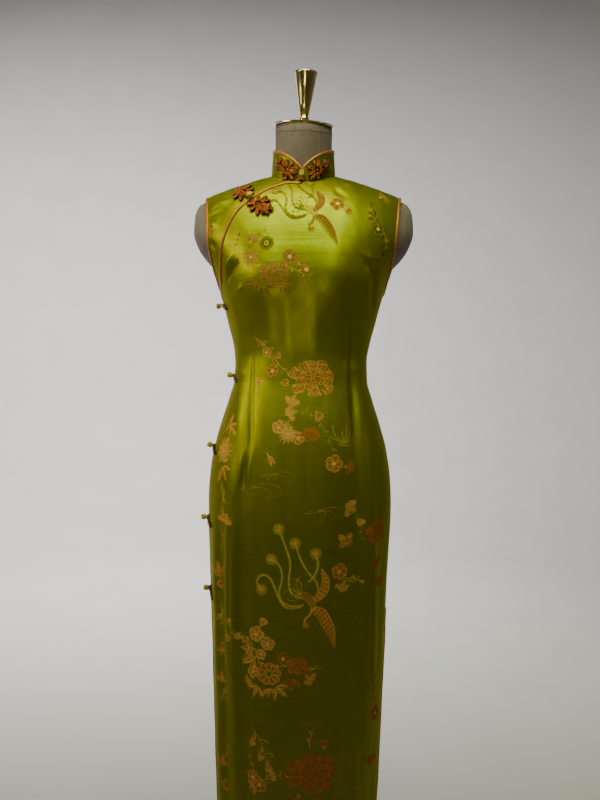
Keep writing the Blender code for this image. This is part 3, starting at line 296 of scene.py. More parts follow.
# Short creases pulled from where the cloth is held: side, start, end (x, z), bow, spread and rise
PULLED_CREASES = (
    (FRONT, -0.1265, 1.2560, -0.1025, 1.2920, 0.004, 0.0036, -0.0028),
    (FRONT, -0.1305, 1.2700, -0.1105, 1.3060, 0.003, 0.0034, 0.0016),
    (FRONT, -0.1225, 1.2400, -0.0945, 1.2500, -0.003, 0.0034, 0.0014),
    (FRONT, -0.1205, 1.1310, -0.0845, 1.1360, 0.001, 0.0026, -0.0010),
    (FRONT, -0.1225, 1.1120, -0.0875, 1.1050, -0.002, 0.0036, 0.0010),
    (FRONT, -0.1685, 1.3880, -0.1195, 1.3990, 0.003, 0.0036, 0.0016),
    (FRONT, -0.1665, 1.3720, -0.1275, 1.3790, 0.003, 0.0032, -0.0014),
    (FRONT, -0.1625, 1.3560, -0.1375, 1.3600, 0.002, 0.0030, 0.0013),
    (FRONT, -0.1615, 1.3320, -0.1445, 1.3130, 0.001, 0.0032, -0.0014),
    (FRONT, 0.1035, 1.2920, 0.1335, 1.2750, -0.004, 0.0042, -0.0020),
    (FRONT, 0.0975, 1.3060, 0.1395, 1.2960, -0.004, 0.0050, 0.0014),
    (FRONT, 0.0605, 1.4250, 0.0975, 1.4300, 0.003, 0.0040, 0.0012),
    (FRONT, 0.0515, 1.4180, 0.0815, 1.4020, -0.002, 0.0044, -0.0011),
    (FRONT, 0.1035, 1.1350, 0.0655, 1.1290, 0.002, 0.0030, -0.0010),
    (FRONT, 0.1065, 1.1170, 0.0715, 1.1080, 0.002, 0.0036, 0.0010),
    (FRONT, -0.0725, 1.3700, -0.0345, 1.3950, -0.002, 0.0050, 0.0009),
    (FRONT, 0.0205, 0.8600, 0.0425, 0.8660, 0.001, 0.0014, -0.0006),
    (FRONT, -0.1365, 0.9400, -0.1225, 0.8500, 0.004, 0.0034, -0.0018),
    (BACK, -0.0950, 1.1500, 0.0250, 1.1430, -0.006, 0.0048, 0.0020),
    (BACK, 0.0980, 1.1320, -0.0350, 1.1270, -0.005, 0.0044, 0.0018),
    (BACK, -0.1000, 1.1170, 0.0450, 1.1120, 0.004, 0.0040, -0.0015),
    (BACK, 0.1000, 1.0950, -0.0200, 1.0980, 0.004, 0.0046, 0.0016),
    (BACK, 0.1520, 1.2950, 0.1160, 1.3400, 0.004, 0.0042, -0.0020),
    (BACK, -0.1520, 1.2950, -0.1140, 1.3450, -0.004, 0.0042, -0.0020),
    (BACK, 0.1440, 1.2700, 0.1000, 1.2850, 0.003, 0.0042, 0.0016),
    (BACK, -0.1440, 1.2700, -0.0980, 1.2900, -0.003, 0.0042, 0.0016),
    (BACK, -0.0600, 1.4300, -0.0200, 1.4020, 0.002, 0.0060, 0.0010),
    (BACK, 0.0600, 1.4300, 0.0180, 1.4000, -0.002, 0.0060, 0.0010),
)

UPRIGHT_GAIN, PULLED_GAIN = 1.7, 2.2  # by how much each table's rises are deepened
UPRIGHT_FEATHER, PULLED_FEATHER = 0.42, 0.40  # the share of a crease's length over which it fades in and out
CREASE_MARGIN = 0.002
PUCKERS = ((0.030, 2.1, 0.0), (0.022, 0.83, 1.0))  # of a binding: rise, radians a step and where it starts
SEAM_CALM_DEG = 12  # folds and creases fade out over this angle towards the side seams
RIPPLES = (  # rise, and two crossed waves: radians a metre along x, y and z, and where they start
    (0.00050, (61, 23, 9, 1.3), (6, 0, 17, 0.0)),
    (0.00032, (143, -97, 21, 0.0), (-8, 0, 31, 0.7)),
    (0.00018, (33, 0, 88, 0.0), (240, 210, 0, 0.0)),
)

# Frogs and knots
LAPEL_FLOWER_SPAN, COLLAR_FLOWER_SPAN = 0.0218, 0.0198  # from the middle to the petals' tips
PETAL_CLEARANCE = 0.0008  # of the collar flowers' petals over the chest and its bindings
FLOWER_PETALS = 9
PETAL_CORD = 0.26  # of a petal's width
FLOWER_BUD_PETAL = 0.0145
FLOWER_BUD_PETALS = (  # direction off the bud's own, reach as a share, and rise off the cloth
    (-72.0, 0.84, 0.0020), (-24.0, 1.02, 0.0027), (26.0, 1.00, 0.0022), (74.0, 0.86, 0.0018),
    (150.0, 0.80, 0.0010),
)
COIL_TURN, COIL_STEPS, COIL_CORD = 4.4 * math.pi, 44, 0.00095
KNOT_FULLNESS = 1.12
KNOT_LEADS, KNOT_TURNS, KNOT_STEPS = 3, 7, 210

# Brass finial: (radius, height) from its foot up
FINIAL = (
    (0.0128, 0.0000), (0.0134, 0.0012), (0.0134, 0.0024), (0.0120, 0.0040), (0.0086, 0.0049),
    (0.0070, 0.0058),
    (0.0078, 0.0072), (0.0084, 0.0086), (0.0086, 0.0100), (0.0085, 0.0114), (0.0080, 0.0128),
    (0.0070, 0.0142),
    (0.0066, 0.0152), (0.0070, 0.0160), (0.0080, 0.0170), (0.0110, 0.0348), (0.0150, 0.0579),
    (0.0196, 0.0842),
    (0.0201, 0.0853), (0.0202, 0.0866), (0.0198, 0.0877), (0.0190, 0.0885), (0.0160, 0.0891),
    (0.0100, 0.0895),
    (0.0010, 0.0898),
)

# Mesh density of the pieces
GIRTH_STEPS = 241
CORNER_CROWD = 1.35  # how much closer the columns lie near the underarm
COLLAR_COLUMNS, COLLAR_ROWS = 160, 12
FORM_COLUMNS = 128
FRONT_COLUMNS = {"lapel": 62, "neck": 30, "shoulder": 20}
BACK_COLUMNS = {"shoulder": 20, "neck": 60}
UNDERLAP_ROWS = {"neck": 24, "shoulder": 20}
UNDERLAP_COLUMNS = 60
LEVEL_ROW_COUNT = 190
SEAM_ROWS = 12
BINDING_STEP = 0.0022
ARMHOLE_ROWS = 52
OPENING_STEPS = 10
ARMHOLE_STEPS = 180
SLIT_RAMP = 0.004
ON_SEAM = 0.0008  # how near a seam's plane an edge point counts as on it
MEAN_RADIUS = 0.135  # turns the angle round the body into metres for the weave

# Woven figures
PETAL_STEPS = 6
FIGURE_LINE = 0.00072  # width of the outline thread
FIGURE_LAYER = 0.00007  # rise of each further layer of thread
FIGURE_PAINTED_SHADE_Z = (1.00, 1.30)  # over these heights the figures sink towards the ground cloth and are painted darker: painted shade for the chest, where the lamps fall brightest
FIGURE_FADE = 0.10
FIGURE_PAINTED_SHADE = 0.55  # and how dark their threads are painted there, as painted shade
FIGURE_SHARES = (1.0, 0.86, 0.62)  # of the outline, the light and the dark that is thread, not ground
GROUND_PAINTED_SHADE = 0.45  # painted shade: how dark the ground is painted where it shows between the threads
THREADS = ("satin", "copper", "rust", "pink", "gold", "pale", "orange", "leaf", "olive")
PEONY_RINGS = (  # petals, where they begin and end and how wide they are, as shares of the flower
    (13, 0.50, 0.96, 0.54), (11, 0.33, 0.80, 0.47), (8, 0.17, 0.60, 0.40), (5, 0.03, 0.38, 0.30),
)

# Each figure: kind, angle, z, size, turn in degrees and thread
FRONT_FIGURES = (
    # chest
    ("blossom", 17.7, 1.388, 0.0140, 40, "copper"), ("bud", 21.5, 1.379, 0.0130, -40, "copper"),
    ("fan", 42.5, 1.410, 0.0170, 10, "copper"),
    ("sprig", 40.5, 1.352, 0.0420, 98, "olive"), ("blossom", 41.0, 1.347, 0.0150, 10, "olive"),
    ("leaves", 38.5, 1.366, 0.0190, 140, "olive"), ("sprig", 44.5, 1.345, 0.0400, -78, "olive"),
    ("fan", -26.7, 1.320, 0.0165, 60, "pink"), ("daisy", -18.0, 1.3165, 0.0135, 0, "olive"),
    ("sprig", -39.0, 1.312, 0.0240, 70, "olive"), ("spiky", -29.7, 1.294, 0.0180, 15, "pink"),
    ("peony", -16.5, 1.265, 0.0280, 0, "pink"), ("blossom", -6.0, 1.293, 0.0150, 18, "pink"),
    ("fan", -0.5, 1.281, 0.0150, -30, "pink"), ("blossom", 4.0, 1.272, 0.0165, 50, "outline"),
    ("leaves", -29.5, 1.254, 0.0220, 235, "pink"), ("leaves", -24.5, 1.247, 0.0200, 300, "copper"),
    ("leaves", -11.5, 1.247, 0.0180, -50, "pink"),
    # waist
    ("sprig", -39.5, 1.166, 0.0460, -46, "pink"), ("blossom", -28.5, 1.140, 0.0095, 0, "pink"),
    ("bud", -20.5, 1.131, 0.0110, 30, "pink"), ("blossom", -23.0, 1.1085, 0.0120, 20, "copper"),
    ("bud", -35.7, 1.083, 0.0140, 80, "pink"), ("bud", -14.5, 1.088, 0.0120, 10, "copper"),
    ("peony", 10.7, 1.096, 0.0400, 10, "copper"), ("fan", -4.0, 1.065, 0.0160, -110, "pink"),
    ("leaves", -7.5, 1.078, 0.0170, 190, "outline"), ("fan", -3.0, 1.041, 0.0170, 200, "pink"),
    ("bud", 12.5, 1.040, 0.0150, -60, "copper"), ("blossom", -13.5, 1.014, 0.0130, 0, "pink"),
    ("spiky", -6.7, 1.004, 0.0175, 30, "pink"), ("blossom", 0.0, 0.997, 0.0120, 45, "copper"),
    ("peony", 7.9, 1.003, 0.0150, 30, "rust"), ("moth", -17.3, 0.9625, 0.0160, 122, "orange"),
    ("grasses", 27.5, 0.985, 0.0420, 60, "outline"), ("grasses", 31.5, 0.990, 0.0300, 110, "outline"),
    ("blossom", 22.0, 0.955, 0.0160, 0, "copper"), ("fan", 30.5, 0.950, 0.0160, -20, "rust"),
    # hips and skirt
    ("fan", 35.5, 0.878, 0.0200, 150, "pink"), ("bud", 38.5, 0.862, 0.0140, -50, "pink"),
    ("butterfly", 30.1, 0.823, 0.0200, 95, "orange"), ("blossom", 26.0, 0.776, 0.0150, 0, "copper"),
    ("fan", 29.0, 0.757, 0.0160, -100, "pink"), ("sprig", 30.5, 0.764, 0.0320, -12, "copper"),
    ("peony", 54.5, 0.838, 0.0260, 20, "rust"), ("leaves", 55.5, 0.795, 0.0260, -80, "rust"),
    ("fan", 61.5, 0.760, 0.0200, -90, "rust"),
    ("sprig", -60.5, 1.030, 0.0700, -80, "orange"), ("leaves", -57.5, 1.012, 0.0260, 20, "orange"),
    ("spiky", -58.0, 0.972, 0.0220, 0, "orange"), ("leaves", -56.5, 0.945, 0.0260, -60, "orange"),
    ("sprig", -52.5, 0.902, 0.0360, -100, "outline"), ("fan", -52.5, 0.866, 0.0180, -80, "orange"),
    ("bud", -47.5, 0.862, 0.0160, -70, "orange"), ("sprig", -56.5, 0.845, 0.0400, -84, "outline"),
    ("fan", -60.5, 0.775, 0.0230, -70, "copper"), ("bud", -58.5, 0.748, 0.0150, -100, "copper"),
    ("sprig", -59.5, 0.712, 0.0420, -88, "outline"), ("leaves", -59.5, 0.690, 0.0200, -70, "leaf"),
    ("bud", -57.5, 0.640, 0.0150, -85, "copper"), ("leaves", -58.5, 0.630, 0.0170, -100, "leaf"),
    ("fan", -59.5, 0.585, 0.0160, -80, "copper"), ("leaves", -57.5, 0.560, 0.0200, -60, "leaf"),
    # lower cluster
    ("bud", -46.0, 0.676, 0.0120, 110, "pink"), ("bud", -46.5, 0.655, 0.0140, 190, "pink"),
    ("bud", -42.5, 0.657, 0.0110, 20, "pink"), ("sprig", -43.5, 0.664, 0.0330, -35, "pink"),
    ("blossom", -26.0, 0.6680, 0.0150, 0, "pink"), ("bud", -22.5, 0.684, 0.0140, 60, "pink"),
    ("blossom", -18.0, 0.6535, 0.0130, 25, "pink"), ("blossom", -22.5, 0.6360, 0.0100, 10, "pink"),
    ("leaves", -28.0, 0.640, 0.0260, 175, "copper"), ("leaves", -26.5, 0.628, 0.0240, 205, "pink"),
    ("blossom", -28.0, 0.6050, 0.0120, 40, "pink"), ("fan", -30.0, 0.5900, 0.0130, 220, "copper"),
    ("leaves", -25.5, 0.583, 0.0200, 250, "pink"), ("daisy", -17.1, 0.6040, 0.0220, 10, "copper"),
    ("leaves", -13.0, 0.583, 0.0220, -40, "pink"), ("leaves", -18.0, 0.580, 0.0180, -80, "pink"),
    ("blossom", -8.1, 0.6310, 0.0120, 0, "rust"), ("peony", 1.1, 0.6190, 0.0200, 10, "rust"),
    ("fan", 7.0, 0.6020, 0.0150, -40, "copper"), ("leaves", -0.5, 0.598, 0.0200, -110, "rust"),
    ("sprig", 5.5, 0.612, 0.0260, 10, "outline"),
    # bottom
    ("sprig", -30.5, 0.512, 0.0700, -62, "pink"), ("bud", -30.0, 0.490, 0.0130, -80, "pink"),
    ("bud", -25.0, 0.465, 0.0120, -50, "pink"), ("blossom", -29.5, 0.425, 0.0130, 0, "copper"),
    ("blossom", -24.5, 0.414, 0.0140, 30, "copper"), ("fan", -18.0, 0.432, 0.0150, 30, "pink"),
    ("leaves", -28.5, 0.413, 0.0160, 220, "pink"), ("peony", 11.0, 0.440, 0.0420, 0, "rust"),
    ("leaves", -0.5, 0.430, 0.0220, 190, "rust"), ("leaves", 21.5, 0.450, 0.0240, 20, "rust"),
    ("bud", 18.5, 0.482, 0.0160, 70, "rust"), ("fan", 2.5, 0.402, 0.0200, -100, "rust"),
    ("sprig", 9.5, 0.480, 0.0360, 80, "rust"), ("leaves", 13.5, 0.398, 0.0240, -80, "rust"),
    ("fan", -60.5, 0.440, 0.0180, -90, "copper"), ("sprig", -58.5, 0.480, 0.0420, -85, "outline"),
    ("bud", -58.5, 0.400, 0.0160, -90, "copper"),
    ("blossom", 47.5, 0.330, 0.0160, 0, "copper"), ("sprig", 45.5, 0.372, 0.0420, -75, "outline"),
    ("butterfly", -22.5, 0.330, 0.0190, 70, "orange"), ("spiky", -44.5, 0.300, 0.0190, 0, "copper"),
    ("leaves", -41.5, 0.282, 0.0200, -50, "leaf"), ("peony", 23.5, 0.235, 0.0300, 0, "copper"),
    ("leaves", 30.5, 0.222, 0.0220, -20, "copper"), ("daisy", -0.5, 0.230, 0.0190, 0, "copper"),
    ("sprig", -10.5, 0.250, 0.0500, 168, "pink"), ("blossom", -22.5, 0.215, 0.0140, 0, "pink"),
    ("fan", -62.5, 0.230, 0.0200, -60, "copper"), ("sprig", 63.5, 0.600, 0.0500, -88, "rust"),
    ("blossom", 65.5, 0.520, 0.0160, 0, "rust"), ("fan", 63.5, 0.450, 0.0180, -90, "rust"),
    ("clouds", -26.5, 0.905, 0.0420, 0, "faint"), ("clouds", 13.5, 0.870, 0.0360, 0, "faint"),
    ("clouds", -14.5, 0.930, 0.0300, 0, "faint"),
)
VINES = (  # side, thread, the stem's (angle, z) places from its root
    (FRONT, "gold",
     ((-40.0, 1.300), (-33.0, 1.286), (-25.0, 1.277), (-16.0, 1.268), (-8.0, 1.276), (0.0, 1.268),
      (6.5, 1.261))),
    (FRONT, "olive", ((-32.0, 1.296), (-28.5, 1.312), (-23.5, 1.330), (-17.0, 1.338))),
    (FRONT, "gold",
     ((-38.0, 1.163), (-32.0, 1.152), (-27.5, 1.138), (-21.0, 1.128), (-13.0, 1.110), (-3.0, 1.102))),
    (FRONT, "gold",
     ((8.0, 1.084), (1.5, 1.076), (-5.0, 1.060), (-3.5, 1.040), (-8.0, 1.021), (-15.0, 1.011))),
    (FRONT, "leaf",
     ((-1.0, 1.038), (6.0, 1.042), (13.0, 1.028), (18.5, 1.004), (22.5, 0.976), (24.0, 0.955))),
    (FRONT, "leaf", ((34.0, 0.884), (37.5, 0.868), (40.5, 0.850), (42.0, 0.826))),
    (FRONT, "gold", ((24.5, 0.778), (29.0, 0.768), (34.0, 0.758), (38.0, 0.762))),
    (FRONT, "gold",
     ((-46.0, 0.672), (-40.0, 0.663), (-33.0, 0.657), (-27.0, 0.640), (-23.5, 0.620), (-19.0, 0.608))),
    (FRONT, "gold", ((-16.5, 0.606), (-11.0, 0.616), (-4.0, 0.626), (3.5, 0.616), (10.0, 0.612))),
    (FRONT, "gold",
     ((-31.5, 0.468), (-30.0, 0.446), (-25.0, 0.424), (-18.0, 0.426), (-9.0, 0.436), (1.0, 0.434))),
    (FRONT, "leaf",
     ((-57.0, 0.790), (-59.5, 0.740), (-57.5, 0.690), (-59.5, 0.640), (-58.0, 0.590), (-60.0, 0.540))),
    (FRONT, "leaf", ((-55.5, 0.930), (-57.0, 0.985), (-60.0, 1.020), (-58.5, 1.055))),
    (BACK, "gold", ((152.0, 1.310), (158.0, 1.322), (166.0, 1.326), (175.0, 1.338), (184.0, 1.316))),
    (BACK, "gold", ((178.0, 1.096), (186.0, 1.104), (196.0, 1.094), (203.0, 1.076))),
    (BACK, "gold", ((148.0, 0.598), (154.0, 0.570), (162.0, 0.566), (170.0, 0.584), (177.0, 0.556))),
    (BACK, "leaf", ((196.0, 0.470), (201.0, 0.430), (205.0, 0.388), (203.0, 0.360))),
)
UNDERLAP_FIGURES = (
    ("fan", -49.5, 1.352, 0.0150, 200, "copper"), ("leaves", -52.5, 1.335, 0.0150, 230, "outline"),
    ("bud", -35.5, 1.405, 0.0130, 60, "copper"),
)
BACK_FIGURES = (
    ("peony", 166.0, 1.330, 0.0330, 0, "pink"), ("leaves", 158.0, 1.305, 0.0240, -120, "pink"),
    ("fan", 176.0, 1.350, 0.0170, 100, "pink"), ("sprig", 150.0, 1.350, 0.0420, 110, "olive"),
    ("blossom", 183.0, 1.318, 0.0150, 20, "pink"), ("spiky", 205.0, 1.385, 0.0180, 0, "pink"),
    ("leaves", 209.0, 1.370, 0.0200, -60, "olive"), ("butterfly", 218.0, 1.330, 0.0190, 60, "copper"),
    ("blossom", 200.0, 1.245, 0.0150, 0, "pink"), ("sprig", 204.0, 1.230, 0.0420, -70, "outline"),
    ("daisy", 150.0, 1.200, 0.0170, 0, "copper"), ("leaves", 146.0, 1.185, 0.0200, -60, "pink"),
    ("peony", 190.0, 1.110, 0.0340, 20, "copper"), ("fan", 200.0, 1.080, 0.0180, 200, "pink"),
    ("leaves", 180.0, 1.083, 0.0220, -80, "copper"), ("grasses", 160.0, 1.080, 0.0400, 100, "outline"),
    ("blossom", 157.0, 1.020, 0.0160, 0, "copper"), ("bud", 150.0, 1.045, 0.0140, 60, "pink"),
    ("spiky", 205.0, 0.985, 0.0200, 0, "pink"), ("moth", 178.0, 1.000, 0.0170, 60, "orange"),
    ("fan", 142.0, 0.955, 0.0190, -60, "copper"), ("sprig", 140.0, 0.930, 0.0460, -80, "outline"),
    ("clouds", 184.0, 0.920, 0.0420, 0, "faint"), ("peony", 216.0, 0.850, 0.0300, 0, "rust"),
    ("leaves", 222.0, 0.820, 0.0240, -50, "rust"), ("butterfly", 212.0, 0.770, 0.0190, 110, "orange"),
    ("daisy", 160.0, 0.560, 0.0220, 0, "copper"), ("blossom", 168.0, 0.590, 0.0150, 20, "pink"),
    ("leaves", 152.0, 0.545, 0.0240, -140, "pink"), ("fan", 174.0, 0.552, 0.0160, -40, "copper"),
    ("sprig", 150.0, 0.620, 0.0480, -60, "pink"), ("peony", 200.0, 0.600, 0.0300, 0, "copper"),
    ("leaves", 208.0, 0.580, 0.0220, -30, "copper"), ("bud", 193.0, 0.640, 0.0140, 80, "pink"),
    ("sprig", 222.0, 0.690, 0.0560, -85, "outline"), ("fan", 226.0, 0.640, 0.0180, -80, "copper"),
    ("sprig", 128.0, 0.800, 0.0520, -85, "outline"), ("fan", 127.0, 0.750, 0.0190, -80, "copper"),
    ("bud", 130.0, 0.660, 0.0150, -90, "copper"), ("peony", 172.0, 0.380, 0.0400, 0, "rust"),
    ("leaves", 160.0, 0.362, 0.0240, -150, "rust"), ("fan", 184.0, 0.350, 0.0200, -60, "rust"),
    ("sprig", 196.0, 0.440, 0.0620, -70, "pink"), ("blossom", 204.0, 0.390, 0.0150, 0, "copper"),
    ("blossom", 146.0, 0.440, 0.0150, 0, "copper"), ("sprig", 144.0, 0.480, 0.0420, -80, "outline"),
    ("spiky", 214.0, 0.260, 0.0200, 0, "copper"), ("leaves", 218.0, 0.240, 0.0200, -60, "leaf"),
    ("daisy", 150.0, 0.240, 0.0200, 0, "copper"), ("leaves", 144.0, 0.222, 0.0200, -130, "pink"),
    ("butterfly", 180.0, 0.240, 0.0190, 80, "orange"),
)

# The phoenix, flat, in metres to the wearer's left and up: eyed tail plumes from the eye to the body;
# each wing's leading and trailing edge, pairs of feathers and whether every other one juts out; the
# body; and the neck with the head at its end
PHOENIX_PLUMES = (
    ((-0.054, 0.117), (-0.046, 0.098), (-0.034, 0.062), (-0.036, 0.030), (-0.030, 0.010), (-0.012, 0.002)),
    ((-0.066, 0.066), (-0.052, 0.056), (-0.047, 0.036), (-0.052, 0.012), (-0.046, -0.004), (-0.030, -0.011),
     (-0.010, -0.008)),
    ((-0.084, 0.014), (-0.093, 0.026), (-0.084, 0.038), (-0.070, 0.036), (-0.060, 0.020), (-0.052, 0.000),
     (-0.038, -0.014), (-0.014, -0.012)),
    ((-0.026, 0.094), (-0.016, 0.066), (-0.002, 0.044), (0.010, 0.030), (0.014, 0.010)),
    ((0.008, 0.078), (0.012, 0.058), (0.006, 0.040), (-0.004, 0.030)),
)
PHOENIX_WINGS = (
    (((0.006, -0.006), (0.020, 0.004), (0.030, 0.018), (0.030, 0.036), (0.020, 0.052)),
     ((0.001, 0.002), (0.006, 0.012), (0.013, 0.022), (0.016, 0.036), (0.017, 0.052)), 9, False),
    (((0.006, -0.010), (0.022, -0.014), (0.032, -0.028), (0.041, -0.050), (0.043, -0.078)),
     ((-0.003, -0.020), (0.007, -0.030), (0.015, -0.044), (0.028, -0.062), (0.041, -0.084)), 12, True),
)
PHOENIX_BODY = ((-0.018, 0.012), (-0.006, 0.006), (0.004, -0.004), (0.006, -0.016))
PHOENIX_EYE = 0.0085
SCALE_LENGTH, SCALE_HALF_WIDTH, SCALE_SPACING = 0.0032, 0.0013, 0.0016
PHOENIX_NECK = ((0.004, -0.012), (0.000, -0.024), (-0.008, -0.032), (-0.009, -0.042))
PHOENIXES = (  # side, place (angle, z), turn in degrees, size, figure tints, plume tints
    (FRONT, 8.2, 0.7300, 0.0, 1.00, "orange", ("pale", "leaf")),
    (FRONT, 5.0, 1.3740, 8.0, 0.82, "copper", ("olive", "olive")),
    (BACK, 176.0, 0.7700, 0.0, 1.00, "orange", ("pale", "leaf")),
)

# Stage
VIEW_HEIGHT = 1.44  # what the frame spans at the dress's middle
CAMERA_DISTANCE = 1.20
SENSOR_WIDTH = 36.0
CAMERA_Z = 1.060
CAMERA_TURN_DEG = 2.0
CAMERA_ROLL_DEG = 0.65
CAMERA_SHIFT_X = -0.00125
STAGE_RADIUS = 3.6
STAGE_SWEEP = ((0.7, 0.12), (0.6, 0.35), (0.4, 0.7), (0.2, 1.2), (0.0, 5.2))
LIGHTS = (  # name, place, aim, width, depth, spread in degrees, power, colour
    ("key", (-0.15, -0.60, 2.60), (0.0, -0.10, 1.40), 1.8, 0.6, 150.0, 11.0, (1.0, 0.94, 0.54)),
    ("chest", (0.0, -0.90, 2.50), (0.05, -0.05, 1.60), 3.0, 0.6, 60.0, 4.7, (0.60, 1.0, 0.14)),
    ("left", (-1.5, -0.70, 1.70), (-0.05, -0.1, 1.26), 0.9, 0.7, 60.0, 1.2, (1.0, 1.0, 0.50)),
    ("mid", (-0.45, -2.00, 0.45), (-0.03, 0.0, 1.38), 1.2, 0.6, 13.0, 0.16, (1.0, 0.97, 0.35)),
    ("fill", (-0.9, -2.2, 2.9), (0.0, 0.0, 0.75), 1.4, 1.0, 180.0, 0.2, (1.0, 0.84, 0.62)),
    ("side", (2.2, -1.0, 1.6), (0.0, 0.0, 1.1), 0.4, 0.6, 180.0, 0.6, (1.0, 0.80, 0.60)),
    ("rear", (-1.3, 2.2, 2.8), (0.0, 0.0, 1.0), 1.2, 1.2, 180.0, 3.0, (1.0, 0.96, 0.88)),
    ("backdrop", (-1.4, 1.3, 3.4), (-1.0, 4.2, 0.9), 2.4, 1.4, 140.0, 330.0, (1.0, 0.99, 0.98)),
)
WORLD_COLOUR = (0.82, 0.82, 0.83)
WORLD_STRENGTH = 0.015


# ---------------------------------------------------------------- tables and curves


def column(table, columns, name):
    return np.array([row[columns.index(name)] for row in table])


class Curve:
    """A smooth curve through a table's values that never overshoots them (Fritsch and Carlson)."""

    def __init__(self, knots, values):
        step = np.diff(knots)
        rise = np.diff(values) / step
        slope = np.zeros(len(knots))
        slope[0], slope[-1] = rise[0], rise[-1]
        same_way = rise[:-1] * rise[1:] > 0
        before, after = step[:-1], step[1:]
        weight_a, weight_b = 2 * after + before, after + 2 * before
        safe = np.where(same_way, rise[:-1], 1.0), np.where(same_way, rise[1:], 1.0)
        harmonic = (weight_a + weight_b) / (weight_a / safe[0] + weight_b / safe[1])
        slope[1:-1] = np.where(same_way, harmonic, 0.0)
        self.knots, self.values, self.step, self.slope = knots, values, step, slope

    def __call__(self, at):
        at = np.clip(at, self.knots[0], self.knots[-1])
        i = np.clip(np.searchsorted(self.knots, at) - 1, 0, len(self.step) - 1)
        t = (at - self.knots[i]) / self.step[i]
        return (
            (1 + 2 * t) * (1 - t) ** 2 * self.values[i]
            + t * (1 - t) ** 2 * self.step[i] * self.slope[i]
            + t * t * (3 - 2 * t) * self.values[i + 1]
            + t * t * (t - 1) * self.step[i] * self.slope[i + 1]
        )


SECTION_CURVES = {
    name: Curve(column(SECTIONS, SECTION_COLUMNS, "z"), column(SECTIONS, SECTION_COLUMNS, name))
    for name in SECTION_COLUMNS[1:]
}
RIDGE_CURVE = Curve(column(RIDGE, RIDGE_COLUMNS, "x"), column(RIDGE, RIDGE_COLUMNS, "z"))
ARMHOLE_CURVE = Curve(column(ARMHOLE, ARMHOLE_COLUMNS, "z"), column(ARMHOLE, ARMHOLE_COLUMNS, "x"))


def section(z, name):
    return SECTION_CURVES[name](z)


def ridge_z(x):
    return RIDGE_CURVE(np.abs(x))


def smoothstep(low, high, value):
    t = np.clip((value - low) / (high - low), 0, 1)
    return t * t * (3 - 2 * t)


def unit(vectors):
    return vectors / np.maximum(np.linalg.norm(vectors, axis=-1, keepdims=True), 1e-12)


def lengths_along(points):
    return np.concatenate([[0], np.cumsum(np.linalg.norm(np.diff(points, axis=0), axis=1))])


def between(at, knots, points):
    """The points read at these places along their knots."""
    return np.stack([np.interp(at, knots, points[:, k]) for k in range(3)], axis=-1)


def looped(points):
    """A closed line's points, with the first again at the end."""
    return np.vstack([points, points[:1]])


def signed(turn):
    """An angle from 0 to a full turn as one between minus and plus half a turn."""
    return turn if turn < math.pi else turn - 2 * math.pi


def resample(points, count, crowd=1.0):
    """The same line with this many points, evenly spaced, or closer at its start where crowd is over 1."""
    along = lengths_along(points)
    at = along[-1] * np.linspace(0, 1, count) ** crowd
    return between(at, along, points)


def rounded(points, per_span=6):
    """A Catmull-Rom curve through the points."""
    padded = np.vstack([2 * points[0] - points[1], points, 2 * points[-1] - points[-2]])
    made = []
    for a, b, c, d in zip(padded, padded[1:], padded[2:], padded[3:]):
        for t in np.arange(per_span) / per_span:
            bend, twist = 2 * a - 5 * b + 4 * c - d, 3 * b - a - 3 * c + d
            made.append(0.5 * (2 * b + (c - a) * t + bend * t**2 + twist * t**3))
    return np.vstack([made, points[-1]])


# ---------------------------------------------------------------- the body surface


def body_share(x, z, back):
    """How deep the body is at (x, z), squared, as a share of its full depth there; negative outside it."""
    lateral = 1 - np.abs(x / section(z, "half_width")) ** section(z, "squareness")
    climb = np.maximum(z - CHEST_Z, 0) / (ridge_z(x) - CHEST_Z)
    dome = 1 - climb ** np.where(back, RIDGE_ROUNDNESS_BACK, RIDGE_ROUNDNESS_FRONT)
    return np.where((lateral > 0) & (dome > 0), lateral * dome, np.minimum(lateral, dome))


def body_depth(x, z, back):
    """The full depth from the side seam's y to the front or the back."""
    bust = BUST_RISE * np.exp(
        -(((np.abs(x) - BUST_X) / BUST_SPREAD_X) ** 2) - ((z - BUST_Z) / BUST_SPREAD_Z) ** 2
    )
    seam = section(z, "seam_y")
    return np.where(back, section(z, "back") - seam, section(z, "front") + seam + bust)


def body_value(points):
    """Zero on the body surface, negative inside it."""
    x, y, z = points[..., 0], points[..., 1], points[..., 2]
    seam = section(z, "seam_y")
    back = y > seam
    return ((y - seam) / body_depth(x, z, back)) ** 2 - body_share(x, z, back)


def body_gradient(points):
    small = 2e-5
    steps = np.eye(3) * small
    return np.stack(
        [(body_value(points + s) - body_value(points - s)) / (2 * small) for s in steps], axis=-1
    )


def body_normal(points):
    return unit(body_gradient(points))


def onto_body(points, rounds=12):
    """The points pulled along the surface's own slope until they lie on it."""
    for _ in range(rounds):
        gradient = body_gradient(points)
        size = np.maximum((gradient**2).sum(axis=-1, keepdims=True), 1e-9)
        move = -body_value(points)[..., None] * gradient / size
        longest = np.maximum(np.linalg.norm(move, axis=-1, keepdims=True), 1e-12)
        points = points + move * np.minimum(1, 0.02 / longest)
    return points


def face_depth(x, z, back):
    """How far the body's face at (x, z) lies from the side seam's y."""
    return body_depth(x, z, back) * np.sqrt(np.maximum(body_share(x, z, back), 0))


def round_section(turn, half_width, z):
    """The body's points at these angles round a level of this half width."""
    x = half_width * np.sin(turn)
    back = np.cos(turn) < 0
    depth = face_depth(x, z, back)
    return np.stack([x, section(z, "seam_y") - np.where(back, -depth, depth), z + 0 * x], axis=-1)


def on_section(angle, z):
    """A point at this angle round the body, in degrees from the centre front towards +X."""
    return round_section(np.radians(angle), section(z, "half_width"), z)


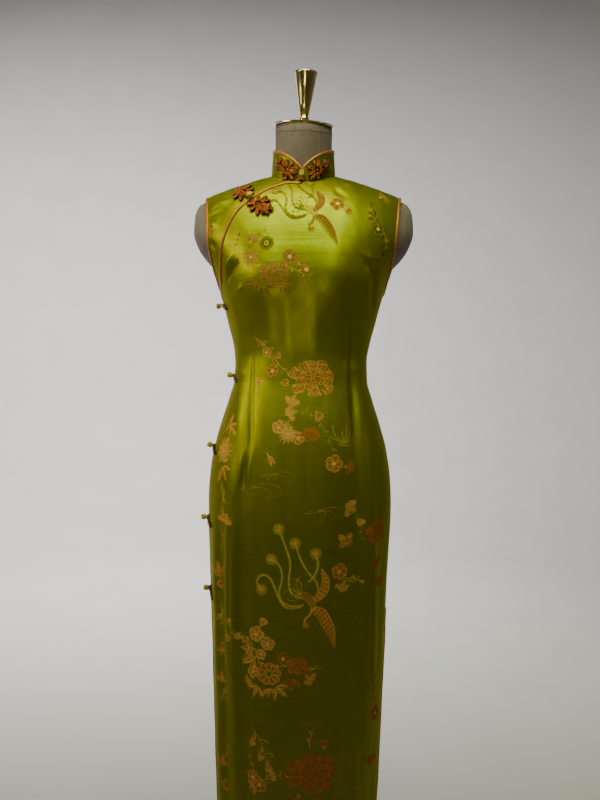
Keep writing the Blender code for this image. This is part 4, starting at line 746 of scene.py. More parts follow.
def fold_rise(angle, z):
    """How far the folds lift the cloth off the plain section."""
    rise = 0 * angle
    for middle, spread, height, begin_z, full_z in FOLDS:
        away = (angle - middle + 180) % 360 - 180
        rise = rise + height * np.exp(-((away / spread) ** 2)) * smoothstep(begin_z, full_z, z)
    return rise


@functools.lru_cache(maxsize=None)
def girth_line(z, back):
    """The outer face's points along one section, dense, from the -X seam round the front or the back."""
    angle = np.linspace(270, 90, GIRTH_STEPS) if back else np.linspace(-90, 90, GIRTH_STEPS)
    return on_section(angle, np.full(GIRTH_STEPS, float(z)))


def along_girth(z, back, distance):
    """The point this far along the girth line from its -X seam; negative counts from the +X seam."""
    line = girth_line(z, back)
    along = lengths_along(line)
    at = distance if distance >= 0 else along[-1] + distance
    return between(at, along, line)


def girth_row(z, back, inset_left, inset_right, count):
    """Evenly spaced points round one level, stopping these distances short of the -X and +X seams."""
    line = girth_line(z, back)
    along = lengths_along(line)
    at = np.linspace(inset_left, along[-1] - inset_right, count)
    return between(at, along, line)


def slit_half_opening(z):
    return SLIT_SPREAD / 2 * np.clip((SLIT_TOP_Z - z) / (SLIT_TOP_Z - HEM_Z), 0, 1)


# ---------------------------------------------------------------- edges that lie on the body


def across(points, closed=False):
    """At each point of a line on the body, the direction that lies in the cloth and square to the line."""
    if closed:
        tangent = np.roll(points, -1, axis=0) - np.roll(points, 1, axis=0)
    else:
        tangent = np.gradient(points, axis=0)
    return unit(np.cross(body_normal(points), tangent))


def moved_in_cloth(points, distance, closed=False):
    return onto_body(points + distance * across(points, closed))


def front_part(points):
    """The stretch of a line that lies in front of the side seam and shoulder ridge, with its ends on them."""
    depth = points[:, 1] - section(points[:, 2], "seam_y") + SEAM_GAP / 2
    inside = np.flatnonzero(depth < 0)
    first, last = inside[0], inside[-1]
    kept = [points[first : last + 1]]
    if first > 0:
        t = depth[first - 1] / (depth[first - 1] - depth[first])
        kept.insert(0, (points[first - 1] + t * (points[first] - points[first - 1]))[None])
    if last < len(points) - 1:
        t = depth[last] / (depth[last] - depth[last + 1])
        kept.append((points[last] + t * (points[last + 1] - points[last]))[None])
    return np.vstack(kept)


def back_part(points):
    mirrored = points.copy()
    seam = section(points[:, 2], "seam_y")
    mirrored[:, 1] = 2 * seam - points[:, 1]
    kept = front_part(mirrored)
    kept[:, 1] = 2 * section(kept[:, 2], "seam_y") - kept[:, 1]
    return kept


def from_front_view(x, z):
    """The point of the body's front face that shows at (x, z)."""
    x, z = np.asarray(x, float), np.asarray(z, float)
    depth = face_depth(x, z, False)
    return np.stack([x, section(z, "seam_y") - depth, z], axis=-1)


def armhole_line(side):
    """An armhole binding's closed centreline: from the underarm up the front and down the back."""
    z, x = column(ARMHOLE, ARMHOLE_COLUMNS, "z"), column(ARMHOLE, ARMHOLE_COLUMNS, "x")
    seam = section(z, "seam_y")
    front_depth = seam - from_front_view(x, z)[:, 1]
    front = np.stack([x, seam - front_depth, z], axis=1)
    back = np.stack([x, seam + face_depth(x, z, True), z], axis=1)
    tip = np.array([[SHOULDER_TIP_X, section(SHOULDER_TIP_Z, "seam_y"), ridge_z(SHOULDER_TIP_X)]])
    under = np.array([[section(UNDERARM_Z, "half_width"), section(UNDERARM_Z, "seam_y"), UNDERARM_Z]])
    loop = np.vstack([under, front, tip, back[::-1], under])
    dense = onto_body(rounded(loop, 16))[:-1]
    dense = resample(looped(dense), ARMHOLE_STEPS + 1)[:-1]
    dense = onto_body(dense)
    dense[:, 0] *= side
    return dense


@functools.lru_cache(maxsize=None)
def neckline_heights():
    """The neckline's height at each degree round the neck."""
    turn = np.radians(np.arange(-180, 181))
    x, y = NECKLINE_HALF_WIDTH * np.sin(turn), NECK_CENTRE_Y - NECKLINE_HALF_DEPTH * np.cos(turn)
    low, high = np.full(len(turn), CHEST_Z), ridge_z(x)
    for _ in range(50):
        middle = (low + high) / 2
        inside = body_value(np.stack([x, y, middle], axis=-1)) < 0
        low, high = np.where(inside, middle, low), np.where(inside, high, middle)
    return low


def neckline_point(turn):
    """Where the neck's upright ellipse, at this angle from the centre front, meets the body surface."""
    turn = (turn + math.pi) % (2 * math.pi) - math.pi
    z = np.interp(math.degrees(turn), np.arange(-180, 181), neckline_heights())
    return np.array([NECKLINE_HALF_WIDTH * math.sin(turn),
                     NECK_CENTRE_Y - NECKLINE_HALF_DEPTH * math.cos(turn), z])


def neckline(first_deg, last_deg, count):
    return np.array([neckline_point(math.radians(a)) for a in np.linspace(first_deg, last_deg, count)])


def shoulder_seam_y():
    return float(section(np.array(SHOULDER_SEAM_Z), "seam_y"))


def ridge_turn_deg():
    """The angle round the neck at which the neckline crosses the shoulder ridge."""
    return math.degrees(math.acos((NECK_CENTRE_Y - shoulder_seam_y()) / NECKLINE_HALF_DEPTH))


def shoulder_line(side, back, count):
    """The shoulder seam's edge on one panel, from the neck out to the armhole's binding."""
    neck_x = neckline_point(math.radians(ridge_turn_deg()))[0]
    tip_x = abs(armhole_edge(side, back)[-1][0])
    x = np.linspace(neck_x, tip_x, count)
    y = np.full(count, shoulder_seam_y() + (SEAM_GAP / 2 if back else -SEAM_GAP / 2))
    return np.stack([side * x, y, ridge_z(x)], axis=1)


def opening_line():
    """The centreline of the opening's binding: the lapel, then down the wearer's right side to the slit."""
    x, z = column(LAPEL, LAPEL_COLUMNS, "x"), column(LAPEL, LAPEL_COLUMNS, "z")
    lapel = from_front_view(x, z)
    turn_in = [along_girth(LAPEL_END_Z + rise, False, SEAM_TO_BINDING + inset) for rise, inset in LAPEL_TURN]
    down = [along_girth(height, False, SEAM_TO_BINDING)
            for height in np.linspace(LAPEL_END_Z - 0.004, SLIT_TOP_Z + SEAM_GAP, 28)]
    return rounded(np.vstack([lapel, turn_in, down]), OPENING_STEPS)


# ---------------------------------------------------------------- sheets of cloth


def shares_along(points):
    along = lengths_along(points)
    return along / along[-1]


def at_share(points, share):
    """The line's points at these shares of its length."""
    return between(share, shares_along(points), points)


def coons(bottom, top, left, right):
    """A grid that fills four edge lines; bottom and top run from left to right, left and right upwards."""
    i = np.linspace(0, 1, len(bottom))[None, :]
    j = np.linspace(0, 1, len(left))[:, None]
    u = (1 - j) * shares_along(bottom) + j * shares_along(top)
    v = (1 - i) * shares_along(left)[:, None] + i * shares_along(right)[:, None]
    across_u, up_v = u[..., None], v[..., None]
    ruled = (
        (1 - up_v) * at_share(bottom, u) + up_v * at_share(top, u)
        + (1 - across_u) * at_share(left, v) + across_u * at_share(right, v)
    )
    corners = (1 - across_u) * ((1 - up_v) * bottom[0] + up_v * top[0]) + across_u * (
        (1 - up_v) * bottom[-1] + up_v * top[-1]
    )
    return ruled - corners


def settled(grid):
    """The grid's inner points pulled onto the body, its edges left where they are."""
    made = grid.copy()
    made[1:-1, 1:-1] = onto_body(grid[1:-1, 1:-1])
    return made


def panel_insets(z, back):
    """How far a panel's edges stop short of the -X and the +X side seam at this height."""
    bound = SEAM_TO_BINDING + EDGE_MARGIN + CURVED_EDGE_EASE
    in_slit = float(smoothstep(SLIT_TOP_Z + SLIT_RAMP, SLIT_TOP_Z, z))
    opened = in_slit * (bound + slit_half_opening(z)) + (1 - in_slit) * SEAM_GAP / 2
    left = opened if back else bound + slit_half_opening(z)
    return left, opened


def level_rows(back, count):
    """The rows from the hem to the grid's base, each from the -X to the +X side."""
    bottom = HEM_Z + BINDING_RADIUS + EDGE_MARGIN + CURVED_EDGE_EASE
    even = np.linspace(bottom, GRID_BASE_Z, LEVEL_ROW_COUNT)
    even = even[(even < SLIT_TOP_Z - 0.002) | (even > SLIT_TOP_Z + SLIT_RAMP + 0.002)]
    heights = sorted((*even, SLIT_TOP_Z, SLIT_TOP_Z + SLIT_RAMP / 2, SLIT_TOP_Z + SLIT_RAMP))
    return [girth_row(z, back, *panel_insets(z, back), count) for z in heights]


def seam_climb(back, side, top_z, count=12):
    """The side seam's edge of a panel from the grid's base up to this height."""
    inset = panel_insets(GRID_BASE_Z, back)[0 if side < 0 else 1]
    reach = inset if side < 0 else -inset
    return np.array([along_girth(z, back, reach) for z in np.linspace(GRID_BASE_Z, top_z, count)])


def armhole_edge(side, back):
    """A panel's edge along the armhole, from the underarm to the shoulder ridge."""
    ring = moved_in_cloth(armhole_line(1), EDGE_MARGIN + CURVED_EDGE_EASE, closed=True)
    under = int(np.argmin(ring[:, 2]))
    ring = np.roll(ring, 3 - under, axis=0) if not back else np.roll(ring[::-1], 4 + under, axis=0)
    part = back_part(ring) if back else front_part(ring)
    return part * np.array([side, 1, 1])


def side_edge(side, back):
    """A panel's edge up the side seam and round the armhole."""
    armhole = armhole_edge(side, back)
    seam = seam_climb(back, side, armhole[0][2])
    return np.vstack([resample(seam, SEAM_ROWS + 1)[:-1], resample(armhole, ARMHOLE_ROWS + 1, 1.1)])


def front_grid():
    columns = sum(FRONT_COLUMNS.values())
    rows = level_rows(False, columns + 1)
    path = opening_line()
    edge = moved_in_cloth(path, front_side_of(path) * (EDGE_MARGIN + 2 * CURVED_EDGE_EASE))
    beyond_neck = np.arange(len(edge)) >= 10 * OPENING_STEPS
    corner = int(np.argmin(np.abs(edge[:, 2] - LAPEL_END_Z) + np.where(beyond_neck, 0, 10)))
    lapel = resample(edge[: corner + 1][::-1], FRONT_COLUMNS["lapel"] + 1, CORNER_CROWD)
    left = edge[corner:]
    left = left[left[:, 2] > GRID_BASE_Z][::-1]
    left = np.vstack([rows[-1][:1], left])
    neck = neckline(3.0, ridge_turn_deg(), FRONT_COLUMNS["neck"])
    shoulder = shoulder_line(1, False, FRONT_COLUMNS["shoulder"] + 1)
    top = np.vstack([lapel, neck[:-1], shoulder])
    left = resample(left, SEAM_ROWS + ARMHOLE_ROWS + 1)
    return np.vstack([np.array(rows[:-1]), settled(coons(rows[-1], top, left, side_edge(1, False)))])


def front_side_of(path):
    """+1 or -1: the way across the opening's line that leads to the front panel."""
    middle = len(path) // 4
    toward = np.array([0.05, 0, -0.05])
    return float(np.sign(across(path)[middle] @ toward))


def underlap_grid():
    path = opening_line()
    edge = moved_in_cloth(path, -front_side_of(path) * (EDGE_MARGIN + CURVED_EDGE_EASE))
    edge = edge[edge[:, 2] > LAPEL_END_Z + UNDERLAP_TIP]
    edge = front_part(edge)[::-1]
    armhole = armhole_edge(-1, False)
    neck = neckline(-3.0, -ridge_turn_deg(), UNDERLAP_ROWS["neck"])
    shoulder = shoulder_line(-1, False, UNDERLAP_ROWS["shoulder"] + 1)
    right = np.vstack([edge[-1:], neck[:-1], shoulder])
    left = resample(np.array([edge[0], armhole[0]]), len(right))
    bottom, top = (resample(line, UNDERLAP_COLUMNS + 1, CORNER_CROWD) for line in (edge, armhole))
    return settled(coons(bottom, top, left, right))


def back_grid():
    columns = 2 * BACK_COLUMNS["shoulder"] + BACK_COLUMNS["neck"]
    rows = level_rows(True, columns + 1)
    turn = ridge_turn_deg()
    neck = neckline(-turn, -360 + turn, BACK_COLUMNS["neck"] + 1)
    left_shoulder = shoulder_line(-1, True, BACK_COLUMNS["shoulder"] + 1)[::-1]
    right_shoulder = shoulder_line(1, True, BACK_COLUMNS["shoulder"] + 1)
    top = np.vstack([left_shoulder[:-1], neck, right_shoulder[1:]])
    grid = coons(rows[-1], top, side_edge(-1, True), side_edge(1, True))
    return np.vstack([np.array(rows[:-1]), settled(grid)])


def collar_height(turn):
    """The collar's finished height at this angle from the centre front."""
    reach = NECKLINE_HALF_WIDTH * abs(math.sin(turn)) if abs(turn) < math.pi / 2 else COLLAR_ROUND
    share = 1 - (1 - min(1.0, reach / COLLAR_ROUND)) ** COLLAR_ROUNDNESS
    return COLLAR_FRONT_HEIGHT + (COLLAR_HEIGHT - COLLAR_FRONT_HEIGHT) * share


def collar_point(turn, height, outward=0.0):
    """A point of the collar's outer face, by its angle from the centre front and height."""
    foot = neckline_point(turn)
    narrow = SEAM_GAP + COLLAR_TAPER * height / COLLAR_HEIGHT - outward
    x = (NECKLINE_HALF_WIDTH - narrow) * math.sin(turn)
    y = NECK_CENTRE_Y - COLLAR_LEAN * height - (NECKLINE_HALF_DEPTH - narrow) * math.cos(turn)
    return np.array([x, y, foot[2] + COLLAR_GAP + height])


def collar_grid(columns, rows):
    """The collar's wall from one front end round the back to the other."""
    start = math.asin((SEAM_TO_BINDING + EDGE_MARGIN + 2 * CURVED_EDGE_EASE) / NECKLINE_HALF_WIDTH)
    share = np.linspace(-1, 1, columns + 1)
    turns = math.pi + (math.pi - start) * share * (0.8 + 0.2 * np.abs(share))
    grid = []
    for turn in turns:
        at = signed(turn)
        slope = (collar_height(at + 0.01) - collar_height(at - 0.01)) / (0.02 * NECKLINE_HALF_WIDTH)
        top = collar_height(at) - (EDGE_MARGIN + CURVED_EDGE_EASE) * math.sqrt(1 + slope**2)
        grid.append([collar_point(at, top * r / rows) for r in range(rows + 1)])
    return np.array(grid).transpose(1, 0, 2)


# ---------------------------------------------------------------- folds and creases


def angle_round(points):
    """Degrees round the body from the centre front towards +X, as on_section takes them."""
    x, y, z = points[..., 0], points[..., 1], points[..., 2]
    turn = np.degrees(np.arcsin(np.clip(x / section(z, "half_width"), -1, 1)))
    return np.where(y > section(z, "seam_y"), 180 - turn, turn)


def window(value, low, high, feather):
    """1 between low and high, falling off softly to 0 over the feather's length inside both ends."""
    return smoothstep(low, low + feather, value) * smoothstep(high, high - feather, value)


def upright_creases(points, side):
    """The rise that creases running up the cloth give, each a bent line read as x at a height."""
    x, z = points[..., 0], points[..., 2]
    rise = np.zeros_like(x)
    for on, xs, zs, spread, height in UPRIGHT_CREASES:
        here = (z < zs[0] + CREASE_MARGIN) & (z > zs[2] - CREASE_MARGIN) & (side == on)
        if not here.any():
            continue
        bend = 4 * (zs[0] - z[here]) * (z[here] - zs[2]) / (zs[0] - zs[2]) ** 2
        chord = xs[0] + (xs[2] - xs[0]) * (zs[0] - z[here]) / (zs[0] - zs[2])
        share = (zs[0] - zs[1]) / (zs[0] - zs[2])
        sag = (xs[1] - (xs[0] + (xs[2] - xs[0]) * share)) / max(4 * share * (1 - share), 0.2)
        middle = chord + sag * bend
        along = window(z[here], zs[2], zs[0], UPRIGHT_FEATHER * (zs[0] - zs[2]))
        rise[here] += height * along * np.exp(-(((x[here] - middle) / spread) ** 2))
    return rise


def pulled_creases(points, side):
    """The rise of short creases that fan out from where the cloth is held."""
    x, z = points[..., 0], points[..., 2]
    rise = np.zeros_like(x)
    for on, x0, z0, x1, z1, bow, spread, height in PULLED_CREASES:
        length = math.hypot(x1 - x0, z1 - z0)
        ux, uz = (x1 - x0) / length, (z1 - z0) / length
        along = ((x - x0) * ux + (z - z0) * uz) / length
        here = (along > -0.05) & (along < 1.05) & (side == on)
        if not here.any():
            continue
        t = along[here]
        off = (x[here] - x0) * -uz + (z[here] - z0) * ux - bow * 4 * t * (1 - t)
        width = spread * (0.65 + 0.7 * t)
        rise[here] += height * window(t, -0.03, 1.03, PULLED_FEATHER) * np.exp(-((off / width) ** 2))
    return rise


def ripple(points):
    """The small unevenness of worn silk: long low waves that never quite repeat."""
    x, y, z = points[..., 0], points[..., 1], points[..., 2]
    total = 0.0
    for rise, *pair in RIPPLES:
        first, second = (np.sin(a * x + b * y + c * z + start) for a, b, c, start in pair)
        total = total + rise * first * second
    return total


def relief(points):
    """How far the cloth stands off the plain body at each point."""
    flat = points.reshape(-1, 3)
    angle, z = angle_round(flat), flat[:, 2]
    side = np.where(flat[:, 1] > section(z, "seam_y"), BACK, FRONT)
    to_seam = np.minimum(np.abs(np.abs(angle) - 90), np.abs(angle - 270))
    creases = UPRIGHT_GAIN * upright_creases(flat, side), PULLED_GAIN * pulled_creases(flat, side)
    rise = fold_rise(angle, z) + creases[0] + creases[1]
    rise = rise * smoothstep(0, SEAM_CALM_DEG, to_seam) + ripple(flat)
    return rise.reshape(points.shape[:-1])


def dressed(points, lift=0.0):
    """Points of the plain body moved out to the cloth's outer face, and by this much more."""
    return points + (relief(points) + lift)[..., None] * body_normal(points)


# ---------------------------------------------------------------- meshes


def mesh_object(name, points, faces, material, uv=None):
    """A smooth mesh object at the origin, its uv given for each point."""
    mesh = bpy.data.meshes.new(name)
    mesh.from_pydata(np.asarray(points, float).tolist(), [], faces)
    made = bpy.data.objects.new(name, mesh)
    bpy.context.scene.collection.objects.link(made)
    mesh.materials.append(material)
    if uv is not None:
        layer = mesh.uv_layers.new(name="cloth")
        corners = np.empty(len(mesh.loops), int)
        mesh.loops.foreach_get("vertex_index", corners)
        layer.data.foreach_set("uv", np.asarray(uv, float)[corners].ravel())
    mesh.shade_smooth()
    return made


def grid_faces(rows, columns, closed=False):
    wide = columns if closed else columns - 1
    return [
        (r * columns + c, r * columns + (c + 1) % columns,
         (r + 1) * columns + (c + 1) % columns, (r + 1) * columns + c)
        for r in range(rows - 1)
        for c in range(wide)
    ]


def rim_of(rows, columns):
    return (
        list(range(columns))
        + [r * columns + columns - 1 for r in range(1, rows)]
        + [(rows - 1) * columns + c for c in range(columns - 2, -1, -1)]
        + [r * columns for r in range(rows - 2, 0, -1)]
    )


def seam_mask(grid):
    """True where an edge point of a body panel lies on a side seam or a shoulder seam."""
    edge = np.zeros(grid.shape[:2], bool)
    edge[0], edge[-1], edge[:, 0], edge[:, -1] = True, True, True, True
    return edge & (np.abs(grid[..., 1] - section(grid[..., 2], "seam_y")) < ON_SEAM)


def grid_normals(grid):
    return unit(np.cross(np.gradient(grid, axis=1), np.gradient(grid, axis=0)))


def inner_face(grid, seams, wall):
    """The grid moved in by the wall, straight along a seam's plane where an edge lies on one."""
    normal = grid_normals(grid)
    flat = normal * np.array([1, 0, 1])
    return grid - wall * np.where(seams[..., None], unit(flat), normal)


def cloth_object(name, grid, seams, uv, wall, material):
    """A wall of cloth under a grid of points on its outer face, with a smooth face to either side."""
    rows, columns = grid.shape[:2]
    inner = inner_face(grid, seams, wall)
    count = rows * columns
    faces = grid_faces(rows, columns)
    back_faces = [tuple(i + count for i in face[::-1]) for face in faces]
    rim = rim_of(rows, columns)
    walls = [(b, a, a + count, b + count) for a, b in zip(rim, rim[1:] + rim[:1])]
    points = np.vstack([grid.reshape(-1, 3), inner.reshape(-1, 3)])
    made = mesh_object(name, points, faces + back_faces + walls, material, np.vstack([uv, uv]))
    sharp_rim(made, len(faces) + len(back_faces))
    return made


def sharp_rim(made, first_wall):
    """The edges between the faces of the cloth and its cut edge shade sharp."""
    mesh = made.data
    in_wall = np.zeros(len(mesh.polygons), bool)
    in_wall[first_wall:] = True
    flags = np.zeros(len(mesh.edges), bool)
    owners = {}
    for polygon in mesh.polygons:
        for key in polygon.edge_keys:
            owners.setdefault(key, []).append(in_wall[polygon.index])
    for edge in mesh.edges:
        both = owners.get(edge.key, [])
        flags[edge.index] = len(both) == 2 and both[0] != both[1]
    layer = mesh.attributes.get("sharp_edge") or mesh.attributes.new("sharp_edge", "BOOLEAN", "EDGE")
    layer.data.foreach_set("value", flags)


def cloth_uv(grid):
    """Metres round the body and up it, for the weave."""
    flat = grid.reshape(-1, 3)
    girth = np.radians(angle_round(flat)) * MEAN_RADIUS
    return np.stack([girth, flat[:, 2]], axis=1)


def swept(name, centre, outward, profile, material, closed=False, taper=None):
    """A profile of (sideways, outward) points carried along a line, with its open ends closed flat."""
    centre, outward = np.asarray(centre, float), unit(np.asarray(outward, float))
    if closed:
        tangent = unit(np.roll(centre, -1, axis=0) - np.roll(centre, 1, axis=0))
    else:
        tangent = unit(np.gradient(centre, axis=0))
    sideways = unit(np.cross(tangent, outward))
    outward = np.cross(sideways, tangent)
    profile = np.asarray(profile, float)
    if profile.ndim == 2:
        profile = np.repeat(profile[None], len(centre), axis=0)
    if taper is not None:
        profile = profile * np.asarray(taper)[:, None, None]
    rings = centre[:, None] + profile[..., :1] * sideways[:, None] + profile[..., 1:] * outward[:, None]
    rows, columns = rings.shape[:2]
    along = lengths_along(centre)
    girth = np.linspace(0, 1, columns, endpoint=False)
    uv = np.stack([np.repeat(along, columns), np.tile(girth, rows)], axis=1)
    points = rings.reshape(-1, 3)
    faces = grid_faces(rows, columns, closed=True)
    if closed:
        last = (rows - 1) * columns
        faces += [(last + c, last + (c + 1) % columns, (c + 1) % columns, c) for c in range(columns)]
    else:
        ends = np.vstack([rings[0].mean(axis=0), rings[-1].mean(axis=0)])
        low, high, last = rows * columns, rows * columns + 1, (rows - 1) * columns
        points = np.vstack([points, ends])
        uv = np.vstack([uv, [[0, 0], [along[-1], 0]]])
        faces += [(low, (c + 1) % columns, c) for c in range(columns)]
        faces += [(high, last + c, last + (c + 1) % columns) for c in range(columns)]
    made = mesh_object(name, points, faces, material, uv)
    if volume(made) < 0:
        made.data.flip_normals()
    return made


def volume(made):
    """The signed volume inside a closed mesh, negative where its faces point in."""
    mesh = made.data
    mesh.calc_loop_triangles()
    co = np.empty(len(mesh.vertices) * 3)
    mesh.vertices.foreach_get("co", co)
    tri = np.empty(len(mesh.loop_triangles) * 3, int)
    mesh.loop_triangles.foreach_get("vertices", tri)
    a, b, c = (co.reshape(-1, 3)[tri.reshape(-1, 3)[:, k]] for k in range(3))
    return float((a * np.cross(b, c)).sum() / 6)


def joined(name, parts):
    """Several made objects as one, under this name."""
    bpy.ops.object.select_all(action="DESELECT")
    for part in parts:
        part.select_set(True)
    bpy.context.view_layer.objects.active = parts[0]
    if len(parts) > 1:
        bpy.ops.object.join()
    parts[0].name = parts[0].data.name = name
    return parts[0]


def oval(half_width, half_height, sides=12, squareness=2.4):
    turn = np.linspace(0, 2 * math.pi, sides, endpoint=False)
    c, s = np.cos(turn), np.sin(turn)
    return np.stack(
        [half_width * np.sign(c) * np.abs(c) ** (2 / squareness),
         half_height * np.sign(s) * np.abs(s) ** (2 / squareness)],
        axis=1,
    )


def finished(piece, slot, *nodes):
    """The piece rides the part's one body and stands for these CAD nodes; its slot is not used."""
    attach(piece, "root")
    if nodes:
        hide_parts(*nodes)


# ---------------------------------------------------------------- woven figures


class Figures:
    """Patches of figured weave, gathered as points near the body and laid on the cloth all at once."""

    def __init__(self, colours):
        self.colours = colours
        self.points, self.lifts, self.faces, self.tints = [], [], [], []
        self.count = 0

    def patch(self, spots, groups, layer):
        """One patch: its points, (faces, colour) groups over them, and its layer of thread."""
        self.points.append(spots)
        self.lifts.append(np.full(len(spots), float(layer)))
        for faces, tint in groups:
            self.faces += [tuple(i + self.count for i in face) for face in faces]
            self.tints += [tint] * len(faces)
        self.count += len(spots)


def tangent_frame(angle, z):
    """A point of the cloth, the way to the wearer's left there (on the front) and the way up."""
    centre = on_section(np.array(float(angle)), np.array(float(z)))
    out = body_normal(centre)
    across_u = unit(np.cross(np.array([0.0, 0.0, 1.0]), out))
    return centre, across_u, np.cross(out, across_u)


def turned(flat, degrees_):
    c, s = math.cos(math.radians(degrees_)), math.sin(math.radians(degrees_))
    return flat @ np.array([[c, s], [-s, c]])


def spun(u, v, degrees_):
    """The flat point (u, v) turned by this angle."""
    return turned(np.array([[u, v]], float), degrees_)[0]


def in_frame(frame_, flat):
    """Flat (u, v) points as points near the body."""
    centre, across_u, up_v = frame_
    return centre + flat[:, :1] * across_u + flat[:, 1:] * up_v


def petal_widths(shape, t):
    if shape == "round":
        return np.sin(math.pi * t**1.25) ** 0.62
    if shape == "notched":
        return np.sin(math.pi * np.clip(t**1.5, 0, 1)) ** 0.55
    if shape == "long":
        return np.sin(math.pi * t**0.9) ** 0.9 * 0.8
    return np.sin(math.pi * t**0.85) ** 1.1  # pointed, as a leaf is


def petal(figures, frame_, foot, direction, length, width, shape, tints, layer):
    """A petal or leaf from its foot outwards: two filled halves inside an outline, or that alone."""
    t = np.linspace(0, 1, PETAL_STEPS + 1)
    half = 0.5 * width * np.maximum(petal_widths(shape, np.clip(t, 1e-3, 1 - 1e-3)), 0.10)
    along = t * length
    if shape == "notched":
        along[-1], half[-1] = 0.90 * length, 0.08 * width
    edge = min(FIGURE_LINE, 0.19 * width)
    within = np.maximum(half - edge, 0.04 * width)
    inside = edge + (along - along[0]) * (1 - 2 * edge / max(along.max(), 4 * edge))
    rows = ((along, half), (inside, within), (inside, 0 * within), (inside, -within), (along, -half))
    flat = turned(np.concatenate([np.stack(row, axis=1) for row in rows]), direction) + np.asarray(foot)
    spots = in_frame(frame_, flat)
    n = PETAL_STEPS + 1

    def strip(a, b):
        return [(a * n + i, b * n + i, b * n + i + 1, a * n + i + 1) for i in range(PETAL_STEPS)]

    line, light, dark = tints
    last = PETAL_STEPS
    groups = [(strip(1, 0) + strip(4, 3) + [(n + last, last, 4 * n + last, 3 * n + last)], line)]
    if light is not None:
        near, far = strip(2, 1), strip(3, 2)
        if shape == "pointed":
            groups += [(near, light), (far, dark)]
        else:
            groups += [(near[:3] + far[:2], dark), (near[3:] + far[2:], light)]
    figures.patch(spots, groups, layer)


def lobed_petal(figures, frame_, foot, direction, length, width, lobes, tints, layer):
    """A broad petal, dark at its foot, that opens out to a scalloped edge, with an outline."""
    across = np.array([-1.0, -0.88, -0.6, -0.3, 0.0, 0.3, 0.6, 0.88, 1.0])
    tip = (0.88 + 0.12 * np.abs(np.cos(0.5 * math.pi * lobes * across))) * (1 - 0.20 * across**2)
    rows = []
    for t in (0.10, 0.48, 1 - FIGURE_LINE / length, 1.0):
        spread = 0.5 * width * (0.30 + 0.70 * min(1.0, t) ** 0.8)
        rows.append(np.stack([length * t * tip, spread * across], axis=1))
    flat = turned(np.concatenate(rows), direction) + np.asarray(foot)
    spots = in_frame(frame_, flat)
    line, light, dark = tints
    n = len(across)
    groups = {0: [], 1: [], 2: []}
    for r in range(3):
        for c in range(n - 1):
            face = (r * n + c, r * n + c + 1, (r + 1) * n + c + 1, (r + 1) * n + c)
            groups[2 if r == 2 or c in (0, n - 2) else r].append(face)
    fills = [(groups[0], dark), (groups[1], light)] if light is not None else []
    figures.patch(spots, fills + [(groups[2], line)], layer)
    for way in (-0.46, -0.04, 0.42):
        vein = turned(np.array([[0.34 * length, 0.5 * way * width], [0.82 * length, 0.86 * way * width]]),
                      direction)
        strand(figures, flat_line(frame_, vein + np.asarray(foot), 2), 0.0005, line, layer + 0.5, (0.5, 0.5))


def disc(figures, frame_, foot, radius, tint, layer, sides=8):
    turn = np.linspace(0, 2 * math.pi, sides, endpoint=False)
    flat = np.vstack([[0, 0], np.stack([radius * np.cos(turn), radius * np.sin(turn)], 1)]) + np.asarray(foot)
    spots = in_frame(frame_, flat)
    figures.patch(spots, [([(0, 1 + i, 1 + (i + 1) % sides) for i in range(sides)], tint)], layer)


def strand(figures, points, width, tint, layer, taper=(1.0, 1.0)):
    """A thread laid along points near the body, narrowing to these shares of its width at its ends."""
    points = np.asarray(points, float)
    side = across(points)
    n = len(points)
    share = np.interp(np.linspace(0, 1, n), [0, 0.25, 0.75, 1], [taper[0], 1, 1, taper[1]])
    half = 0.5 * width * share[:, None]
    figures.patch(
        np.vstack([points - side * half, points + side * half]),
        [([(i, i + 1, n + i + 1, n + i) for i in range(n - 1)], tint)],
        layer,
    )


def flat_line(frame_, flat, per_span=4):
    """A rounded line through flat (u, v) points, as points near the body."""
    return rounded(in_frame(frame_, np.asarray(flat, float)), per_span)


def body_line(places, per_span=5):
    """A rounded line through (angle, z) places of the body."""
    places = np.asarray(places, float)
    return onto_body(rounded(on_section(places[:, 0], places[:, 1]), per_span), 4)


def ring_of_petals(figures, frame_, count, inner, outer, width, shape, tints, layer, turn,
                   fan=360.0, uneven=0.10, foot=(0, 0)):
    """Petals set round a point, or over a fan of so many degrees, with a little unevenness."""
    for i in range(count):
        spread = fan / count if fan >= 360 else fan / max(count - 1, 1)
        at = turn + (i * spread if fan >= 360 else (i - (count - 1) / 2) * spread)
        wobble = 1 + uneven * math.sin(5.1 * i + 1.7 * count + turn)
        start = spun(inner, 0.0, at) + np.asarray(foot)
        petal(figures, frame_, start, at + 4 * math.sin(3.3 * i + turn),
              (outer - inner) * wobble, width, shape, tints, layer)


def blossom(figures, frame_, size, turn, tints, petals=5):
    """A small open blossom, such as a plum's, with a dot of stamens."""
    ring_of_petals(figures, frame_, petals, 0.10 * size, size, 4.0 * size / petals, "notched", tints, 1, turn)
    disc(figures, frame_, (0, 0), 0.24 * size, figures.colours["gold"], 2)
    for i in range(petals):
        at = math.radians(turn + 360 * i / petals)
        spot = 0.36 * size * np.array([math.cos(at), math.sin(at)])
        disc(figures, frame_, spot, 0.055 * size, tints[0], 2, 5)


def daisy(figures, frame_, size, turn, tints, petals=9):
    ring_of_petals(figures, frame_, petals, 0.22 * size, size, 4.4 * size / petals, "notched", tints, 1, turn)
    disc(figures, frame_, (0, 0), 0.34 * size, figures.colours["leaf"], 2, 10)
    disc(figures, frame_, (0, 0), 0.15 * size, figures.colours["olive"], 3, 8)


